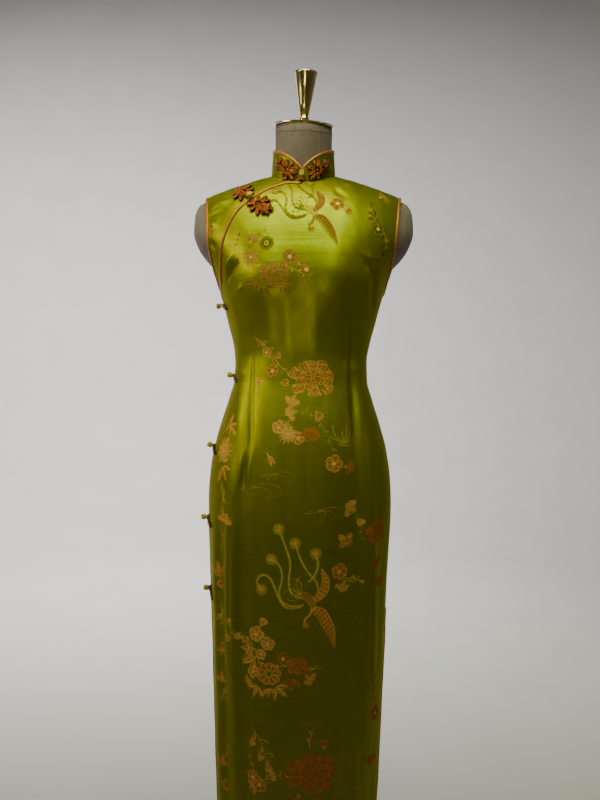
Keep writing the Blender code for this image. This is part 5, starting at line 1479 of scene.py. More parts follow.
def spiky(figures, frame_, size, turn, tints, petals=15):
    """A chrysanthemum: two rings of narrow petals."""
    ring_of_petals(figures, frame_, petals, 0.15 * size, size, 0.22 * size, "long", tints, 1, turn,
                   uneven=0.16)
    ring_of_petals(figures, frame_, petals - 4, 0.06 * size, 0.62 * size, 0.20 * size, "long", tints, 2,
                   turn + 11)
    disc(figures, frame_, (0, 0), 0.12 * size, figures.colours["gold"], 3)


def peony(figures, frame_, size, turn, tints, squash=0.84):
    """A full peony: loose rings of broad scalloped petals, no two alike, about a crowded heart."""
    centre, across_u, up_v = frame_
    low = (centre, across_u, up_v * squash)
    line, light, dark = tints
    dark = light and tuple(0.5 * (a + b) for a, b in zip(light, dark))
    for k, (count, inner, outer, width) in enumerate(PEONY_RINGS):
        pair = (line, light, dark) if k % 2 == 0 else (line, dark, light)
        for i in range(count):
            at = turn + 23 * k + 360 * i / count + 13 * math.sin(2.9 * i + k)
            reach = (outer - inner) * (1 + 0.20 * math.sin(4.1 * i + 2 * k))
            start = spun(inner * size, 0.0, at) + np.array([0, 0.04 * size * k])
            lobed_petal(figures, low, start, at + 8 * math.sin(3.7 * i), reach * size,
                        width * size * (1 + 0.12 * math.sin(5.3 * i)), 3 + (i + k) % 2, pair, 1 + k)
    for i in range(5):
        at = math.radians(turn + 72 * i)
        disc(figures, low, 0.07 * size * np.array([math.cos(at), math.sin(at) + 1.6]), 0.030 * size, line, 6,
             6)


def fan_flower(figures, frame_, size, turn, tints, petals=5):
    """A flower seen from its side: a fan of scalloped petals over a small calyx."""
    line, light, dark = tints
    for i in range(petals):
        at = turn + (i - (petals - 1) / 2) * 29 + 5 * math.sin(3 * i)
        start = spun(0.10 * size, 0.0, at)
        lobed_petal(figures, frame_, start, at, 0.88 * size * (1 + 0.12 * math.sin(4 * i + turn)),
                    0.46 * size, 2, tints, 1)
    for i in (-1, 0, 1):
        start = spun(0.04 * size, 0.0, turn + 22 * i)
        lobed_petal(figures, frame_, start, turn + 24 * i, 0.55 * size, 0.30 * size, 3, (line, dark, light),
                    2)
    green = leaf_tints(figures)
    ring_of_petals(figures, frame_, 3, -0.25 * size, 0.16 * size, 0.20 * size, "pointed", green, 3, turn,
                   fan=90)


def bud(figures, frame_, size, turn, tints):
    ring_of_petals(figures, frame_, 3, 0.0, size, 0.52 * size, "round", tints, 1, turn, fan=46)
    green = leaf_tints(figures)
    ring_of_petals(figures, frame_, 2, -0.22 * size, 0.34 * size, 0.22 * size, "pointed", green, 2, turn,
                   fan=52)


def leaf_tints(figures):
    c = figures.colours
    return (c["gold"], c["leaf"], c["olive"])


def leaves(figures, frame_, size, turn, tints, count=3, fan=100.0):
    ring_of_petals(figures, frame_, count, 0.10 * size, size, 0.34 * size, "pointed", tints, 1, turn,
                   fan=fan, uneven=0.2)
    for i in range(count):
        at = turn + (i - (count - 1) / 2) * fan / max(count - 1, 1)
        end = spun(0.86 * size, 0.0, at)
        strand(figures, flat_line(frame_, [(0, 0), end * 0.5, end]), 0.0005, tints[0], 2)


def grasses(figures, frame_, size, turn, tints, count=5):
    """Long narrow orchid leaves that bend over at their tips."""
    for i in range(count):
        at = turn + (i - (count - 1) / 2) * 24
        droop = (-1 if at < 90 else 1) * 0.22 * size * (0.6 + 0.3 * math.sin(2.3 * i))
        end = spun(size * (0.8 + 0.25 * math.sin(1.9 * i)), 0.0, at)
        middle = end * 0.55 + spun(0.0, droop * 0.5, at)
        strand(figures, flat_line(frame_, [(0, 0), middle, end]), 0.0016, tints[1] or tints[0], 1,
               (0.5, 0.15))


def sprig(figures, frame_, size, turn, tints):
    """A bent twig with leaves to either side and a bud at its end."""
    path = turned(np.array([(0, 0), (0.35, 0.07), (0.7, 0.03), (1.0, -0.05)]) * size, turn)
    strand(figures, flat_line(frame_, path), 0.0008, figures.colours["gold"], 1, (1.0, 0.5))
    for i, share in enumerate((0.18, 0.36, 0.54, 0.72, 0.88)):
        foot = spun(share * size, 0.05 * size, turn)
        away = turn + (52 if i % 2 else -48)
        petal(figures, frame_, foot, away, 0.26 * size * (1.15 - 0.4 * share), 0.10 * size, "pointed",
              leaf_tints(figures) if i % 2 else tints, 1)
    end = spun(size, -0.05 * size, turn)
    ring_of_petals(figures, frame_, 3, 0.0, 0.16 * size, 0.10 * size, "round", tints, 2, turn, 70, foot=end)


def vine(figures, places, tint):
    """A curling stem that joins flowers of one cluster, with a small leaf at every other turn."""
    path = body_line(places, 6)
    strand(figures, path, 0.0009, figures.colours[tint], 0.6, (0.7, 0.4))
    side = across(path)
    for i in range(2, len(path) - 1, 3):
        way = 1 if i % 2 else -1
        along = unit(path[i + 1] - path[i - 1])
        tip = path[i] + way * side[i] * 0.0062 + along * (0.0050 + 0.0016 * math.sin(1.7 * i))
        belly = (path[i] + tip) / 2
        across_ = unit(np.cross(body_normal(path[i]), tip - path[i])) * 0.0016
        leaf = np.array([path[i], belly - across_, tip, belly + across_])
        figures.patch(leaf, [([(0, 1, 2)], figures.colours[tint]), ([(0, 2, 3)], figures.colours["leaf"])],
                      0.8)
        if i % 2:
            curl = np.array([
                path[i], path[i] - way * side[i] * 0.0050 + along * 0.0030,
                path[i] - way * side[i] * 0.0066 + along * 0.0075,
            ])
            strand(figures, rounded(curl, 4), 0.0006, figures.colours[tint], 0.7, (0.8, 0.4))


def butterfly(figures, frame_, size, turn, tints):
    line, light, dark = tints
    for side in (-1, 1):
        petal(figures, frame_, (0, 0), turn + side * 36, size, 0.56 * size, "round", tints, 1)
        petal(figures, frame_, (0, 0), turn + side * 104, 0.68 * size, 0.44 * size, "round",
              (line, dark, light), 1)
        for along, r in ((0.62, 0.085), (0.40, 0.05)):
            spot = spun(along * size, 0.0, turn + side * 36)
            disc(figures, frame_, spot, r * size, figures.colours["gold"], 2, 6)
        feeler = turned(np.array([(0.15, 0), (0.5, side * 0.06), (0.72, side * 0.20)]) * size, turn)
        strand(figures, flat_line(frame_, feeler), 0.0005, line, 2)
    olive = figures.colours["olive"]
    petal(figures, frame_, spun(-0.45 * size, 0.0, turn), turn, 0.75 * size, 0.15 * size, "pointed",
          (line, olive, olive), 3)


def moth(figures, frame_, size, turn, tints):
    """A slender moth at rest, with long wings laid back along its body."""
    line = tints[0]
    for side in (-1, 1):
        petal(figures, frame_, spun(0.40 * size, 0, turn), turn + 180 + side * 13, 1.2 * size, 0.34 * size,
              "pointed", tints, 1)
    petal(figures, frame_, spun(-0.5 * size, 0.0, turn), turn, 1.15 * size, 0.22 * size, "round", tints, 2)
    for side in (-1, 1):
        feeler = turned(np.array([(0.55, 0), (0.85, side * 0.12), (1.05, side * 0.32)]) * size, turn)
        strand(figures, flat_line(frame_, feeler), 0.0005, line, 2)
        for k in (1, 2):
            veil = turned(np.array([(0.2, side * 0.05), (0.35 - 0.2 * k, side * 0.5),
                                    (-0.2 * k, side * 0.8)]) * size, turn)
            strand(figures, flat_line(frame_, veil), 0.0007, figures.colours["leaf"], 1)


def clouds(figures, frame_, size, turn, tints):
    """Faint curling cloud lines."""
    for k in range(4):
        r = size * (0.28 + 0.12 * k)
        turn_to = np.radians(np.linspace(200, -60 - 40 * (k % 2), 12))
        flat = np.stack([r * np.cos(turn_to), 0.45 * r * np.sin(turn_to)], 1) + [0.35 * size * (k - 1.5),
                                                                                 0.10 * size * (k % 2)]
        strand(figures, flat_line(frame_, flat, 1), 0.0007, tints[0], 1, (0.4, 0.4))


FIGURE_KINDS = {
    "blossom": blossom, "daisy": daisy, "spiky": spiky, "peony": peony, "fan": fan_flower, "bud": bud,
    "leaves": leaves, "grasses": grasses, "sprig": sprig, "butterfly": butterfly, "moth": moth,
    "clouds": clouds,
}


def phoenix(figures, plumes, wings, body, head, tints, plume_tints, eyes):
    """The phoenix of old brocades: eyed tail plumes, two feathered wings, a scaled body, neck and crest.

    The plumes, body and head are lines of (angle, z) places. Each wing is a leading edge, a trailing
    edge, how many pairs of feathers it has and whether every other one juts out.
    """
    line, light, dark = tints
    pale, shade = plume_tints
    for places in plumes:
        path = body_line(places)
        side = across(path)
        for offset in (0.0010, -0.0010):
            strand(figures, path + side * offset, 0.0007, pale, 1, (0.8, 0.8))
        strand(figures, path, 0.0006, line, 1, (0.8, 0.8))
        for i in range(2, len(path) - 1):
            tangent = unit(path[min(i + 1, len(path) - 1)] - path[i - 1])
            for way in (-1, 1):
                end = path[i] + way * side[i] * (0.0027 + 0.0010 * math.sin(2.0 * i)) - tangent * 0.0026
                barb = np.array([path[i] + way * side[i] * 0.0013, (path[i] + end) / 2 + tangent * 0.0005,
                                 end])
                strand(figures, barb, 0.0005, shade if i % 2 else pale, 1, (1, 0.4))
        angle = float(angle_round(path[:1])[0])
        frame_ = tangent_frame(angle, path[0][2])
        turn_to = np.linspace(0, 2 * math.pi, 19)
        for r, tint in ((eyes, pale), (0.74 * eyes, line)):
            ring = np.stack([r * np.cos(turn_to), r * np.sin(turn_to)], 1)
            strand(figures, flat_line(frame_, ring, 1), 0.0008, tint, 1)
        blossom(figures, frame_, 0.66 * eyes, 20, tints)
        for k in range(9):
            at = math.radians(40 * k)
            ray = np.array([[1.08 * eyes * math.cos(at), 1.08 * eyes * math.sin(at)]]) * [[1.0], [1.22]]
            strand(figures, flat_line(frame_, ray, 1), 0.0007, pale, 1, (1, 0.4))
    root = body_line(body, 4)[1]
    for i in range(13):
        at = math.radians(84 + 11 * i)
        reach = eyes * (2.9 + 0.9 * math.sin(2.3 * i))
        heading = np.array([math.cos(at), math.sin(at)])
        bend = np.array([-heading[1], heading[0]]) * (1 if i % 3 else -1) * 0.24 * reach
        lock = np.array([
            0 * heading, 0.45 * reach * heading + bend, 0.80 * reach * heading + 0.6 * bend,
            reach * heading - 0.5 * bend,
        ])
        frame_ = root, *tangent_frame(float(angle_round(root[None])[0]), root[2])[1:]
        strand(figures, flat_line(frame_, lock), 0.0008, pale if i % 2 else shade, 1, (0.8, 0.3))
    for leading, trailing, count, serrated in wings:
        a, b = body_line(leading, 6), body_line(trailing, 6)
        a, b = resample(a, count * 2 + 1), resample(b, count * 2 + 1)
        for i in range(count * 2):
            start, end = a[i], b[i]
            gap = end - start
            along = a[i + 1] - a[i]
            tip = end + along * (1.6 if serrated and i % 2 == 0 else 0.5)
            quad = np.array([start, a[i + 1], start + gap * 0.55 + along, tip, start + gap * 0.5])
            figures.patch(quad, [([(0, 1, 2, 4), (4, 2, 3)], light if i % 2 else dark)], 1 + (i % 2) * 0.5)
        strand(figures, a, 0.0013, line, 3, (0.4, 0.4))
        for share in (0.28, 0.52, 0.76):
            strand(figures, a + (b - a) * share, 0.0007, line, 3, (0.3, 0.3))
    path = body_line(body, 4)
    side = across(path)
    n = len(path)
    for i, p in enumerate(path):
        width = 0.0082 * math.sin(math.pi * (0.12 + 0.80 * i / (n - 1)))
        rows = max(2, int(width / SCALE_SPACING))
        for k in range(rows):
            spot = p + side[i] * (k - (rows - 1) / 2) * 2 * width / rows
            tangent = unit(np.gradient(path, axis=0)[i])
            belly, half = spot + tangent * SCALE_LENGTH / 2, side[i] * SCALE_HALF_WIDTH
            scale = np.array([spot, belly + half, spot + tangent * SCALE_LENGTH, belly - half])
            figures.patch(scale, [([(0, 1, 2, 3)], light if (i + k) % 2 else line)], 2 + 0.5 * ((i + k) % 2))
    neck = body_line(head, 4)
    strand(figures, neck, 0.0042, light, 2, (1.2, 0.7))
    strand(figures, neck, 0.0010, line, 3, (1.0, 0.6))
    angle = float(angle_round(neck[-1:])[0])
    frame_ = tangent_frame(angle, neck[-1][2])
    away = neck[-1] - neck[-3]
    way = math.degrees(math.atan2(float(away @ frame_[2]), float(away @ frame_[1])))
    disc(figures, frame_, (0, 0), 0.0030, light, 3)
    disc(figures, frame_, (0, 0), 0.0009, figures.colours["olive"], 4, 6)
    petal(figures, frame_, spun(0.0022, 0, way - 10), way - 14, 0.0050, 0.0018, "pointed", tints, 3)
    ring_of_petals(figures, frame_, 3, 0.0026, 0.0085, 0.0020, "pointed", tints, 3, way + 82, 66)


def figures_object(name, figures, tree, lift, material):
    """The gathered patches as one mesh, laid on the made cloth with the given lift a layer."""
    rough = onto_body(np.vstack(figures.points), 5)
    layers = np.concatenate(figures.lifts)
    normals = body_normal(rough)
    spots = rough + relief(rough)[:, None] * normals
    laid = np.empty_like(spots)
    for i, (spot, normal) in enumerate(zip(spots, normals)):
        hit = tree.ray_cast(mathutils.Vector(spot + normal * 0.006), mathutils.Vector(-normal), 0.014)[0]
        laid[i] = spot if hit is None else hit
    laid = laid + (lift + (layers - 1) * FIGURE_LAYER)[:, None] * normals
    made = mesh_object(name, laid, figures.faces, material)
    turn_outward(made, normals)
    colour = made.data.attributes.new("thread", "FLOAT_COLOR", "CORNER")
    corners = np.repeat(np.array(figures.tints, float), [len(f) for f in figures.faces], axis=0)
    colour.data.foreach_set("color", np.hstack([corners, np.ones((len(corners), 1))]).ravel())
    return made


def turn_outward(made, normals):
    """Turns round the faces that look into the body."""
    inward = [
        polygon for polygon in made.data.polygons
        if mathutils.Vector(normals[polygon.vertices[0]]).dot(polygon.normal) < 0
    ]
    for polygon in inward:
        polygon.flip()


def tints_of(figures, name, z):
    """The outline, light and dark threads that a figure at this height is woven in, painted darker and nearer
    the ground's colour towards the chest as shade.
    """
    c = figures.colours
    # painted shade: the higher the figure, the darker its threads and the nearer the ground's colour
    high = float(smoothstep(*FIGURE_PAINTED_SHADE_Z, z))
    fade, shade = FIGURE_FADE * high, 1 - (1 - FIGURE_PAINTED_SHADE) * high
    made = {
        "copper": (c["gold"], c["copper"], c["rust"]),
        "rust": (c["copper"], c["rust"], c["rust"]),
        "pink": (c["gold"], c["pink"], c["copper"]),
        "orange": (c["gold"], c["orange"], c["copper"]),
        "leaf": (c["gold"], c["leaf"], c["olive"]),
        "olive": (c["olive"], c["leaf"], c["olive"]),
        "outline": (c["leaf"], None, None),
        "faint": (c["faint"], None, None),
    }[name]
    # painted shade: the ground is darkened where it shows between the threads
    return tuple(
        tint and tuple((1 - fade) * shade * (share * a + (1 - share) * GROUND_PAINTED_SHADE * b) + fade * b
                       for a, b in zip(tint, c["satin"]))
        for tint, share in zip(made, FIGURE_SHARES)
    )


def phoenix_places(figures, angle, z, turn, size, tints, plume_tints):
    """One phoenix of the table, its flat lines carried to (angle, z) places of the body."""
    frame_ = tangent_frame(angle, z)

    def lines(flat):
        spots = onto_body(in_frame(frame_, turned(np.asarray(flat, float) * size, turn)), 8)
        return np.stack([angle_round(spots), spots[:, 2]], axis=1)

    phoenix(
        figures, [lines(plume) for plume in PHOENIX_PLUMES],
        [(lines(leading), lines(trailing), *rest) for leading, trailing, *rest in PHOENIX_WINGS],
        lines(PHOENIX_BODY), lines(PHOENIX_NECK), tints_of(figures, tints, z),
        [figures.colours[name] for name in plume_tints], PHOENIX_EYE * size,
    )


def figure_groups():
    """The woven figures of each panel: a name, the panel they lie on and the gathered patches."""
    threads = {name: tuple(getattr(colours(), name)) for name in THREADS}
    threads["faint"] = tuple(0.55 * a + 0.45 * b for a, b in zip(colours().satin, threads["gold"]))
    groups = []
    for name, owner, table, side in (
        ("figures_front", "front_panel", FRONT_FIGURES, FRONT),
        ("figures_underlap", "underlap_panel", UNDERLAP_FIGURES, None),
        ("figures_back", "back_panel", BACK_FIGURES, BACK),
    ):
        gathered = Figures(threads)
        for kind, angle, z, size, turn, tints in table:
            FIGURE_KINDS[kind](gathered, tangent_frame(angle, z), size, turn, tints_of(gathered, tints, z))
        for on, tint, places in VINES:
            if on == side:
                vine(gathered, places, tint)
        for on, angle, z, turn, size, tints, plume_tints in PHOENIXES:
            if on == side:
                phoenix_places(gathered, angle, z, turn, size, tints, plume_tints)
        groups.append((name, owner, gathered))
    return groups


# ---------------------------------------------------------------- materials


CORD_CROWN = 0.25  # the share round a cord's section at which it faces out
CORD_SHADE = (0.02, 0.17)  # its painted shade begins and is full this far round from there


class Finish:
    """A material under construction: its node tree, its shader and short ways to add what it needs."""

    def __init__(self, name, colour, roughness, metallic=0.0):
        self.material = bpy.data.materials.new(name)
        self.material.use_nodes = True
        self.nodes, self.links = self.material.node_tree.nodes, self.material.node_tree.links
        self.shader = self.nodes["Principled BSDF"]
        self.set("Base Color", (*colour, 1.0))
        self.set("Roughness", roughness)
        self.set("Metallic", metallic)
        self.material.diffuse_color = (*colour, 1.0)

    def set(self, name, value):
        self.shader.inputs[name].default_value = value

    def link(self, made, name):
        self.links.new(made, self.shader.inputs[name])

    def node(self, kind, **values):
        """A new node of this kind, with these inputs set."""
        made = self.nodes.new(f"ShaderNode{kind}")
        for name, value in values.items():
            made.inputs[name.replace("_", " ")].default_value = value
        return made

    def feed(self, socket, value):
        """Gives a socket another node's output, a number or a colour."""
        if isinstance(value, bpy.types.NodeSocket):
            self.links.new(value, socket)
        else:
            socket.default_value = (*value[:3], 1.0) if hasattr(value, "__len__") else value

    def uv(self, name):
        source = self.node("UVMap")
        source.uv_map = name
        return source.outputs["UV"]

    def place(self, stretch, uv):
        """Object coordinates, or the piece's own uv, stretched so a pattern takes its real scale."""
        out = self.uv(uv) if uv else self.node("TexCoord").outputs["Object"]
        mapping = self.node("Mapping", Scale=stretch)
        self.links.new(out, mapping.inputs["Vector"])
        return mapping.outputs["Vector"]

    def noise(self, stretch, detail=2.0, rough=0.5, distortion=0.0, uv=None):
        place = self.place(stretch, uv)
        made = self.node("TexNoise", Scale=1.0, Detail=detail, Roughness=rough, Distortion=distortion)
        self.links.new(place, made.inputs["Vector"])
        return made.outputs["Fac"]

    def wave(self, stretch, direction, distortion, uv=None):
        place = self.place(stretch, uv)
        made = self.node("TexWave", Scale=1.0, Distortion=distortion, Detail=1.0, Detail_Scale=0.6)
        made.bands_direction = direction
        self.links.new(place, made.inputs["Vector"])
        return made.outputs["Fac"]

    def ramp(self, value, low, high, start=0.3, end=0.7):
        """A value's stretch from start to end read as a change from one grey or colour to another."""
        made = self.node("ValToRGB")
        for stop, place, colour in zip(made.color_ramp.elements, (start, end), (low, high)):
            stop.position = place
            stop.color = (*colour, 1.0) if hasattr(colour, "__len__") else (colour, colour, colour, 1.0)
        self.links.new(value, made.inputs["Fac"])
        return made.outputs["Color"]

    def mixed(self, share, first, second, blend="MIX"):
        made = self.node("Mix")
        made.data_type = "RGBA"
        made.blend_type = blend
        for name, value in (("Factor", share), ("A", first), ("B", second)):
            self.feed(made.inputs[name], value)
        return made.outputs["Result"]

    def round_cord(self, shadow):
        """Painted light and shade: full colour on a cord's outer side, falling to this painted shadow colour
        where it meets its neighbours.
        """
        source, split = self.uv("cloth"), self.node("SeparateXYZ")
        self.links.new(source, split.inputs["Vector"])
        off = self.maths("ABSOLUTE", self.maths("SUBTRACT", split.outputs["Y"], CORD_CROWN), 0.0)
        return self.ramp(off, (1.0, 1.0, 1.0), shadow, *CORD_SHADE)

    def maths(self, operation, first, second):
        made = self.node("Math")
        made.operation = operation
        for value, socket in zip((first, second), made.inputs):
            self.feed(socket, value)
        return made.outputs["Value"]

    def bump(self, height, depth, strength=1.0, under=None):
        made = self.node("Bump", Distance=depth, Strength=strength)
        self.links.new(height, made.inputs["Height"])
        if under is not None:
            self.links.new(under, made.inputs["Normal"])
        return made.outputs["Normal"]


def shades(tint, low, high):
    """A colour made darker and lighter by these factors."""
    return [c * low for c in tint], [min(1.0, c * high) for c in tint]


def silk_satin():
    """Lime satin: a smooth warp face with fine slubs across it and a soft metallic gloss."""
    tint = colours().satin
    made = Finish("silk_satin", tint, 0.45, 0.80)
    made.set("Specular IOR Level", 0.25)
    made.set("Specular Tint", (0.50, 0.50, 0.04, 1.0))
    slub = made.noise((9, 9, 760), 3.0, 0.6)
    ends = made.noise((900, 900, 12), 1.0, 0.5)
    cloud = made.noise((7, 7, 5), 3.0, 0.5)
    colour = made.ramp(slub, *shades(tint, 0.86, 1.10), 0.30, 0.72)
    shade = made.mixed(0.5, colour, made.ramp(cloud, *shades(tint, 0.92, 1.05)))
    made.link(shade, "Base Color")
    made.link(made.ramp(slub, 0.50, 0.40, 0.3, 0.7), "Roughness")
    normal = made.bump(slub, 0.00020, 0.7)
    crinkle = made.noise((16, 16, 170), 2.0, 0.55, 0.6)
    normal = made.bump(crinkle, 0.0005, 0.5, normal)
    made.link(made.bump(ends, 0.00005, 0.25, normal), "Normal")
    return made.material


def figure_thread():
    """The figures' weft floats: fine cross ribs, each thread's colour a little uneven."""
    made = Finish("figure_thread", colours().copper, 0.50, 0.15)
    made.set("Specular IOR Level", 0.0)
    made.set("Specular Tint", (0.60, 0.36, 0.10, 1.0))
    thread = made.nodes.new("ShaderNodeAttribute")
    thread.attribute_name = "thread"
    slub = made.noise((40, 40, 1100), 2.0, 0.6)
    made.link(made.mixed(1.0, thread.outputs["Color"], made.ramp(slub, 0.72, 1.12, 0.3, 0.7), "MULTIPLY"),
              "Base Color")
    made.link(made.bump(slub, 0.00012, 0.6), "Normal")
    return made.material


def bias_satin():
    """The rust satin of the bindings, cut on the bias: a fine slanted twill with puckers, painted darker in
    their hollows and lighter on their crests as shade and highlight.
    """
    tint = colours().binding
    made = Finish("bias_satin", tint, 0.42, 0.35)
    twill = made.wave((620, 26, 1), "DIAGONAL", 0.4, uv="cloth")
    puckers_and_painted_shade = made.noise((210, 3, 1), 2.0, 0.5, uv="cloth")
    wide = made.noise((30, 30, 30), 2.0, 0.5)
    # painted shade and highlight: the puckers' hollows darker, their crests lighter
    colour = made.ramp(puckers_and_painted_shade, *shades(tint, 0.62, 1.25), 0.25, 0.75)
    colour = made.mixed(0.35, colour, made.ramp(wide, *shades(tint, 0.7, 1.3)))
    made.link(colour, "Base Color")
    normal = made.bump(puckers_and_painted_shade, 0.0005, 0.6)
    made.link(made.bump(twill, 0.00008, 0.4, normal), "Normal")
    return made.material


def cord_satin():
    """The coppery padded cord that the frogs' flowers are bent from, painted deep maroon as shade down its
    sides where it meets its neighbours.
    """
    tint = colours().cord
    made = Finish("cord_satin", tint, 0.18, 0.72)
    wrap = made.wave((900, 5, 1), "DIAGONAL", 1.2, uv="cloth")
    grain = made.noise((420, 420, 420), 2.0, 0.5)
    colour = made.ramp(grain, *shades(tint, 0.75, 1.2), 0.3, 0.7)
    # painted shade down the cord's sides, full colour on its crown
    made.link(made.mixed(1.0, colour, made.round_cord(colours().cord_shadow), "MULTIPLY"), "Base Color")
    made.link(made.bump(wrap, 0.00018, 0.7), "Normal")
    return made.material


def knot_satin():
    """Yellow-gold satin cord of the ball buttons."""
    tint = colours().knot
    made = Finish("knot_satin", tint, 0.38, 0.30)
    wrap = made.wave((800, 4, 1), "DIAGONAL", 1.0, uv="cloth")
    grain = made.noise((300, 300, 300), 2.0)
    made.link(made.ramp(grain, *shades(tint, 0.72, 1.2)), "Base Color")
    made.link(made.bump(wrap, 0.00014, 0.7), "Normal")
    return made.material


def cover_linen():
    """Grey linen drawn over the form: a plain weave with thick and thin yarns, lint and rubbed places.

    Its colour leans to purple, so that it reads as grey under the yellow lamps.
    """
    tint = colours().linen
    made = Finish("cover_linen", tint, 0.92)
    across_w = made.wave((1, 330, 1), "Y", 1.4, uv="cloth")
    up_w = made.wave((330, 1, 1), "X", 1.4, uv="cloth")
    weave = made.maths("MULTIPLY", across_w, up_w)
    yarns = made.noise((30, 900, 1), 2.0, 0.6, uv="cloth")
    warp = made.noise((900, 30, 1), 2.0, 0.6, uv="cloth")
    rubbed = made.noise((22, 22, 22), 4.0, 0.55)
    colour = made.mixed(weave, *shades(tint, 0.62, 1.16))
    colour = made.mixed(0.45, colour, made.ramp(yarns, *shades(tint, 0.6, 1.5)))
    colour = made.mixed(0.35, colour, made.ramp(warp, *shades(tint, 0.6, 1.4)))
    colour = made.mixed(1.0, colour, made.ramp(rubbed, 0.82, 1.12, 0.3, 0.7), "MULTIPLY")
    made.link(colour, "Base Color")
    made.set("Sheen Weight", 0.12)
    made.set("Sheen Roughness", 0.6)
    normal = made.bump(weave, 0.00022, 0.8)
    made.link(made.bump(yarns, 0.0002, 0.5, normal), "Normal")
    return made.material


def seam_thread():
    tint = colours().linen
    made = Finish("seam_thread", [min(1, c * 1.5) for c in tint], 0.8)
    ply = made.wave((900, 900, 900), "DIAGONAL", 0.5)
    made.link(made.bump(ply, 0.0001, 0.6), "Normal")
    return made.material


def aged_brass(name, roughness):
    """Lacquered brass with hazed and finger-dulled patches and a few small darker spots."""
    tint = colours().brass
    made = Finish(name, tint, roughness, 1.0)
    haze = made.noise((35, 35, 35), 4.0, 0.6)
    spots = made.noise((260, 260, 260), 2.0, 0.5)
    grind = made.noise((60, 60, 2600), 1.0, 0.4)
    colour = made.ramp(haze, *shades(tint, 0.84, 1.10), 0.3, 0.7)
    colour = made.mixed(made.ramp(spots, 0.0, 0.16, 0.64, 0.78), colour, [c * 0.45 for c in tint])
    made.link(colour, "Base Color")
    made.link(made.ramp(haze, roughness * 0.75, min(1.0, roughness * 1.5), 0.3, 0.7), "Roughness")
    made.link(made.bump(grind, 0.00003, 0.3), "Normal")
    return made.material


def studio_paper():
    made = Finish("studio_paper", colours().studio, 0.9)
    grain = made.noise((4, 4, 4), 3.0)
    tint = colours().studio
    made.link(made.ramp(grain, *shades(tint, 0.97, 1.02)), "Base Color")
    return made.material


# ---------------------------------------------------------------- the garment


def panel(name, grid, material, wall):
    """A body panel: its grid moved to the folds and creases, then given its wall."""
    uv = cloth_uv(grid)
    shaped = dressed(grid)
    return cloth_object(name, shaped, seam_mask(grid), uv, wall, material)


def collar_panel(material, wall):
    grid = collar_grid(COLLAR_COLUMNS, COLLAR_ROWS)
    along = np.linspace(0, COLLAR_LENGTH, grid.shape[1])
    up = np.sin(math.pi * np.linspace(0, 1, grid.shape[0]))
    wave = COLLAR_WAVE * np.sin(37 * along) * up[:, None]
    grid = grid - wave[..., None] * grid_normals(grid)
    uv = np.stack(np.meshgrid(along, np.linspace(0, COLLAR_HEIGHT, grid.shape[0])), axis=-1).reshape(-1, 2)
    return cloth_object("collar_stand", grid, np.zeros(grid.shape[:2], bool), uv, wall, material)


def piping(name, line, outward, material, closed=False):
    """A folded bias binding along a line: flatter than a cord, a little puckered by its stitching."""
    count = max(8, int(lengths_along(line)[-1] / BINDING_STEP))
    source, vectors = (looped(line), looped(outward)) if closed else (line, outward)
    share = np.linspace(0, 1, count + 1)[:-1] if closed else np.linspace(0, 1, count)
    centre = at_share(source, share)
    lifted = between(share, shares_along(source), vectors)
    pucker = 1.0
    for rise, turn, start in PUCKERS:
        pucker = pucker + rise * np.sin(turn * np.arange(count) + start)
    profile = oval(sizes().binding_width / 2, sizes().binding_thickness / 2)[None] * np.ones((count, 1, 1))
    profile[..., 1] *= pucker[:, None]
    return swept(name, centre, lifted, profile, material, closed=closed)


def on_cloth_line(line):
    """A line on the plain body moved to the cloth, and the way out at each of its points."""
    line = np.asarray(line, float)
    return dressed(line), body_normal(line)


def collar_outward(line):
    """The way out of the collar at each point of a line round it."""
    out = line - np.array([0, NECK_CENTRE_Y, 0])
    out[:, 1] += COLLAR_LEAN * (line[:, 2] - line[:, 2].min())
    out[:, 2] = 0
    return unit(out)


def edge_path_of_skirt(back):
    """A slit and hem binding's centreline: down one slit, along the hem and up the other."""
    hem_z = HEM_Z + BINDING_RADIUS
    turn = HEM_CORNER
    heights = np.array([SLIT_TOP_Z - SEAM_GAP, *np.linspace(SLIT_TOP_Z - 0.01, hem_z + turn, 70)])

    def reach(z):
        return SEAM_TO_BINDING + slit_half_opening(z)

    left = [along_girth(z, back, reach(z)) for z in heights]
    right = [along_girth(z, back, -reach(z)) for z in heights[::-1]]
    hem = girth_row(hem_z, back, reach(hem_z) + turn, reach(hem_z) + turn, 121)
    return np.vstack([left, hem, right])


def collar_edge_path(count=260):
    """The collar binding's centreline: up one front end, round the top and down the other."""
    ends = SEAM_TO_BINDING / (NECKLINE_HALF_WIDTH - SEAM_GAP)
    rise = np.linspace(0.0008, COLLAR_FRONT_HEIGHT - 0.001, 8)
    turns = np.linspace(ends, 2 * math.pi - ends, 400)
    up = [collar_point(ends, h, -WALL / 2) for h in rise]
    down = [collar_point(-ends, h, -WALL / 2) for h in rise[::-1]]
    top = [collar_point(t, collar_height(t), -WALL / 2) for t in map(signed, turns)]
    return resample(np.vstack([up, top, down]), count)


# ---------------------------------------------------------------- frogs and knots


def on_chest(centre_x, centre_z):
    """A way to place (u to the wearer's left, v up, lift off the cloth) round a point of the front."""
    centre = onto_body(from_front_view(centre_x, centre_z))
    out = body_normal(centre)
    across_u = unit(np.cross(np.array([0.0, 0.0, 1.0]), out))
    up_v = np.cross(out, across_u)

    def place(u, v, lift):
        foot = onto_body(centre + np.asarray(u)[..., None] * across_u + np.asarray(v)[..., None] * up_v, 5)
        return dressed(foot, np.asarray(lift, float)), body_normal(foot)

    return place


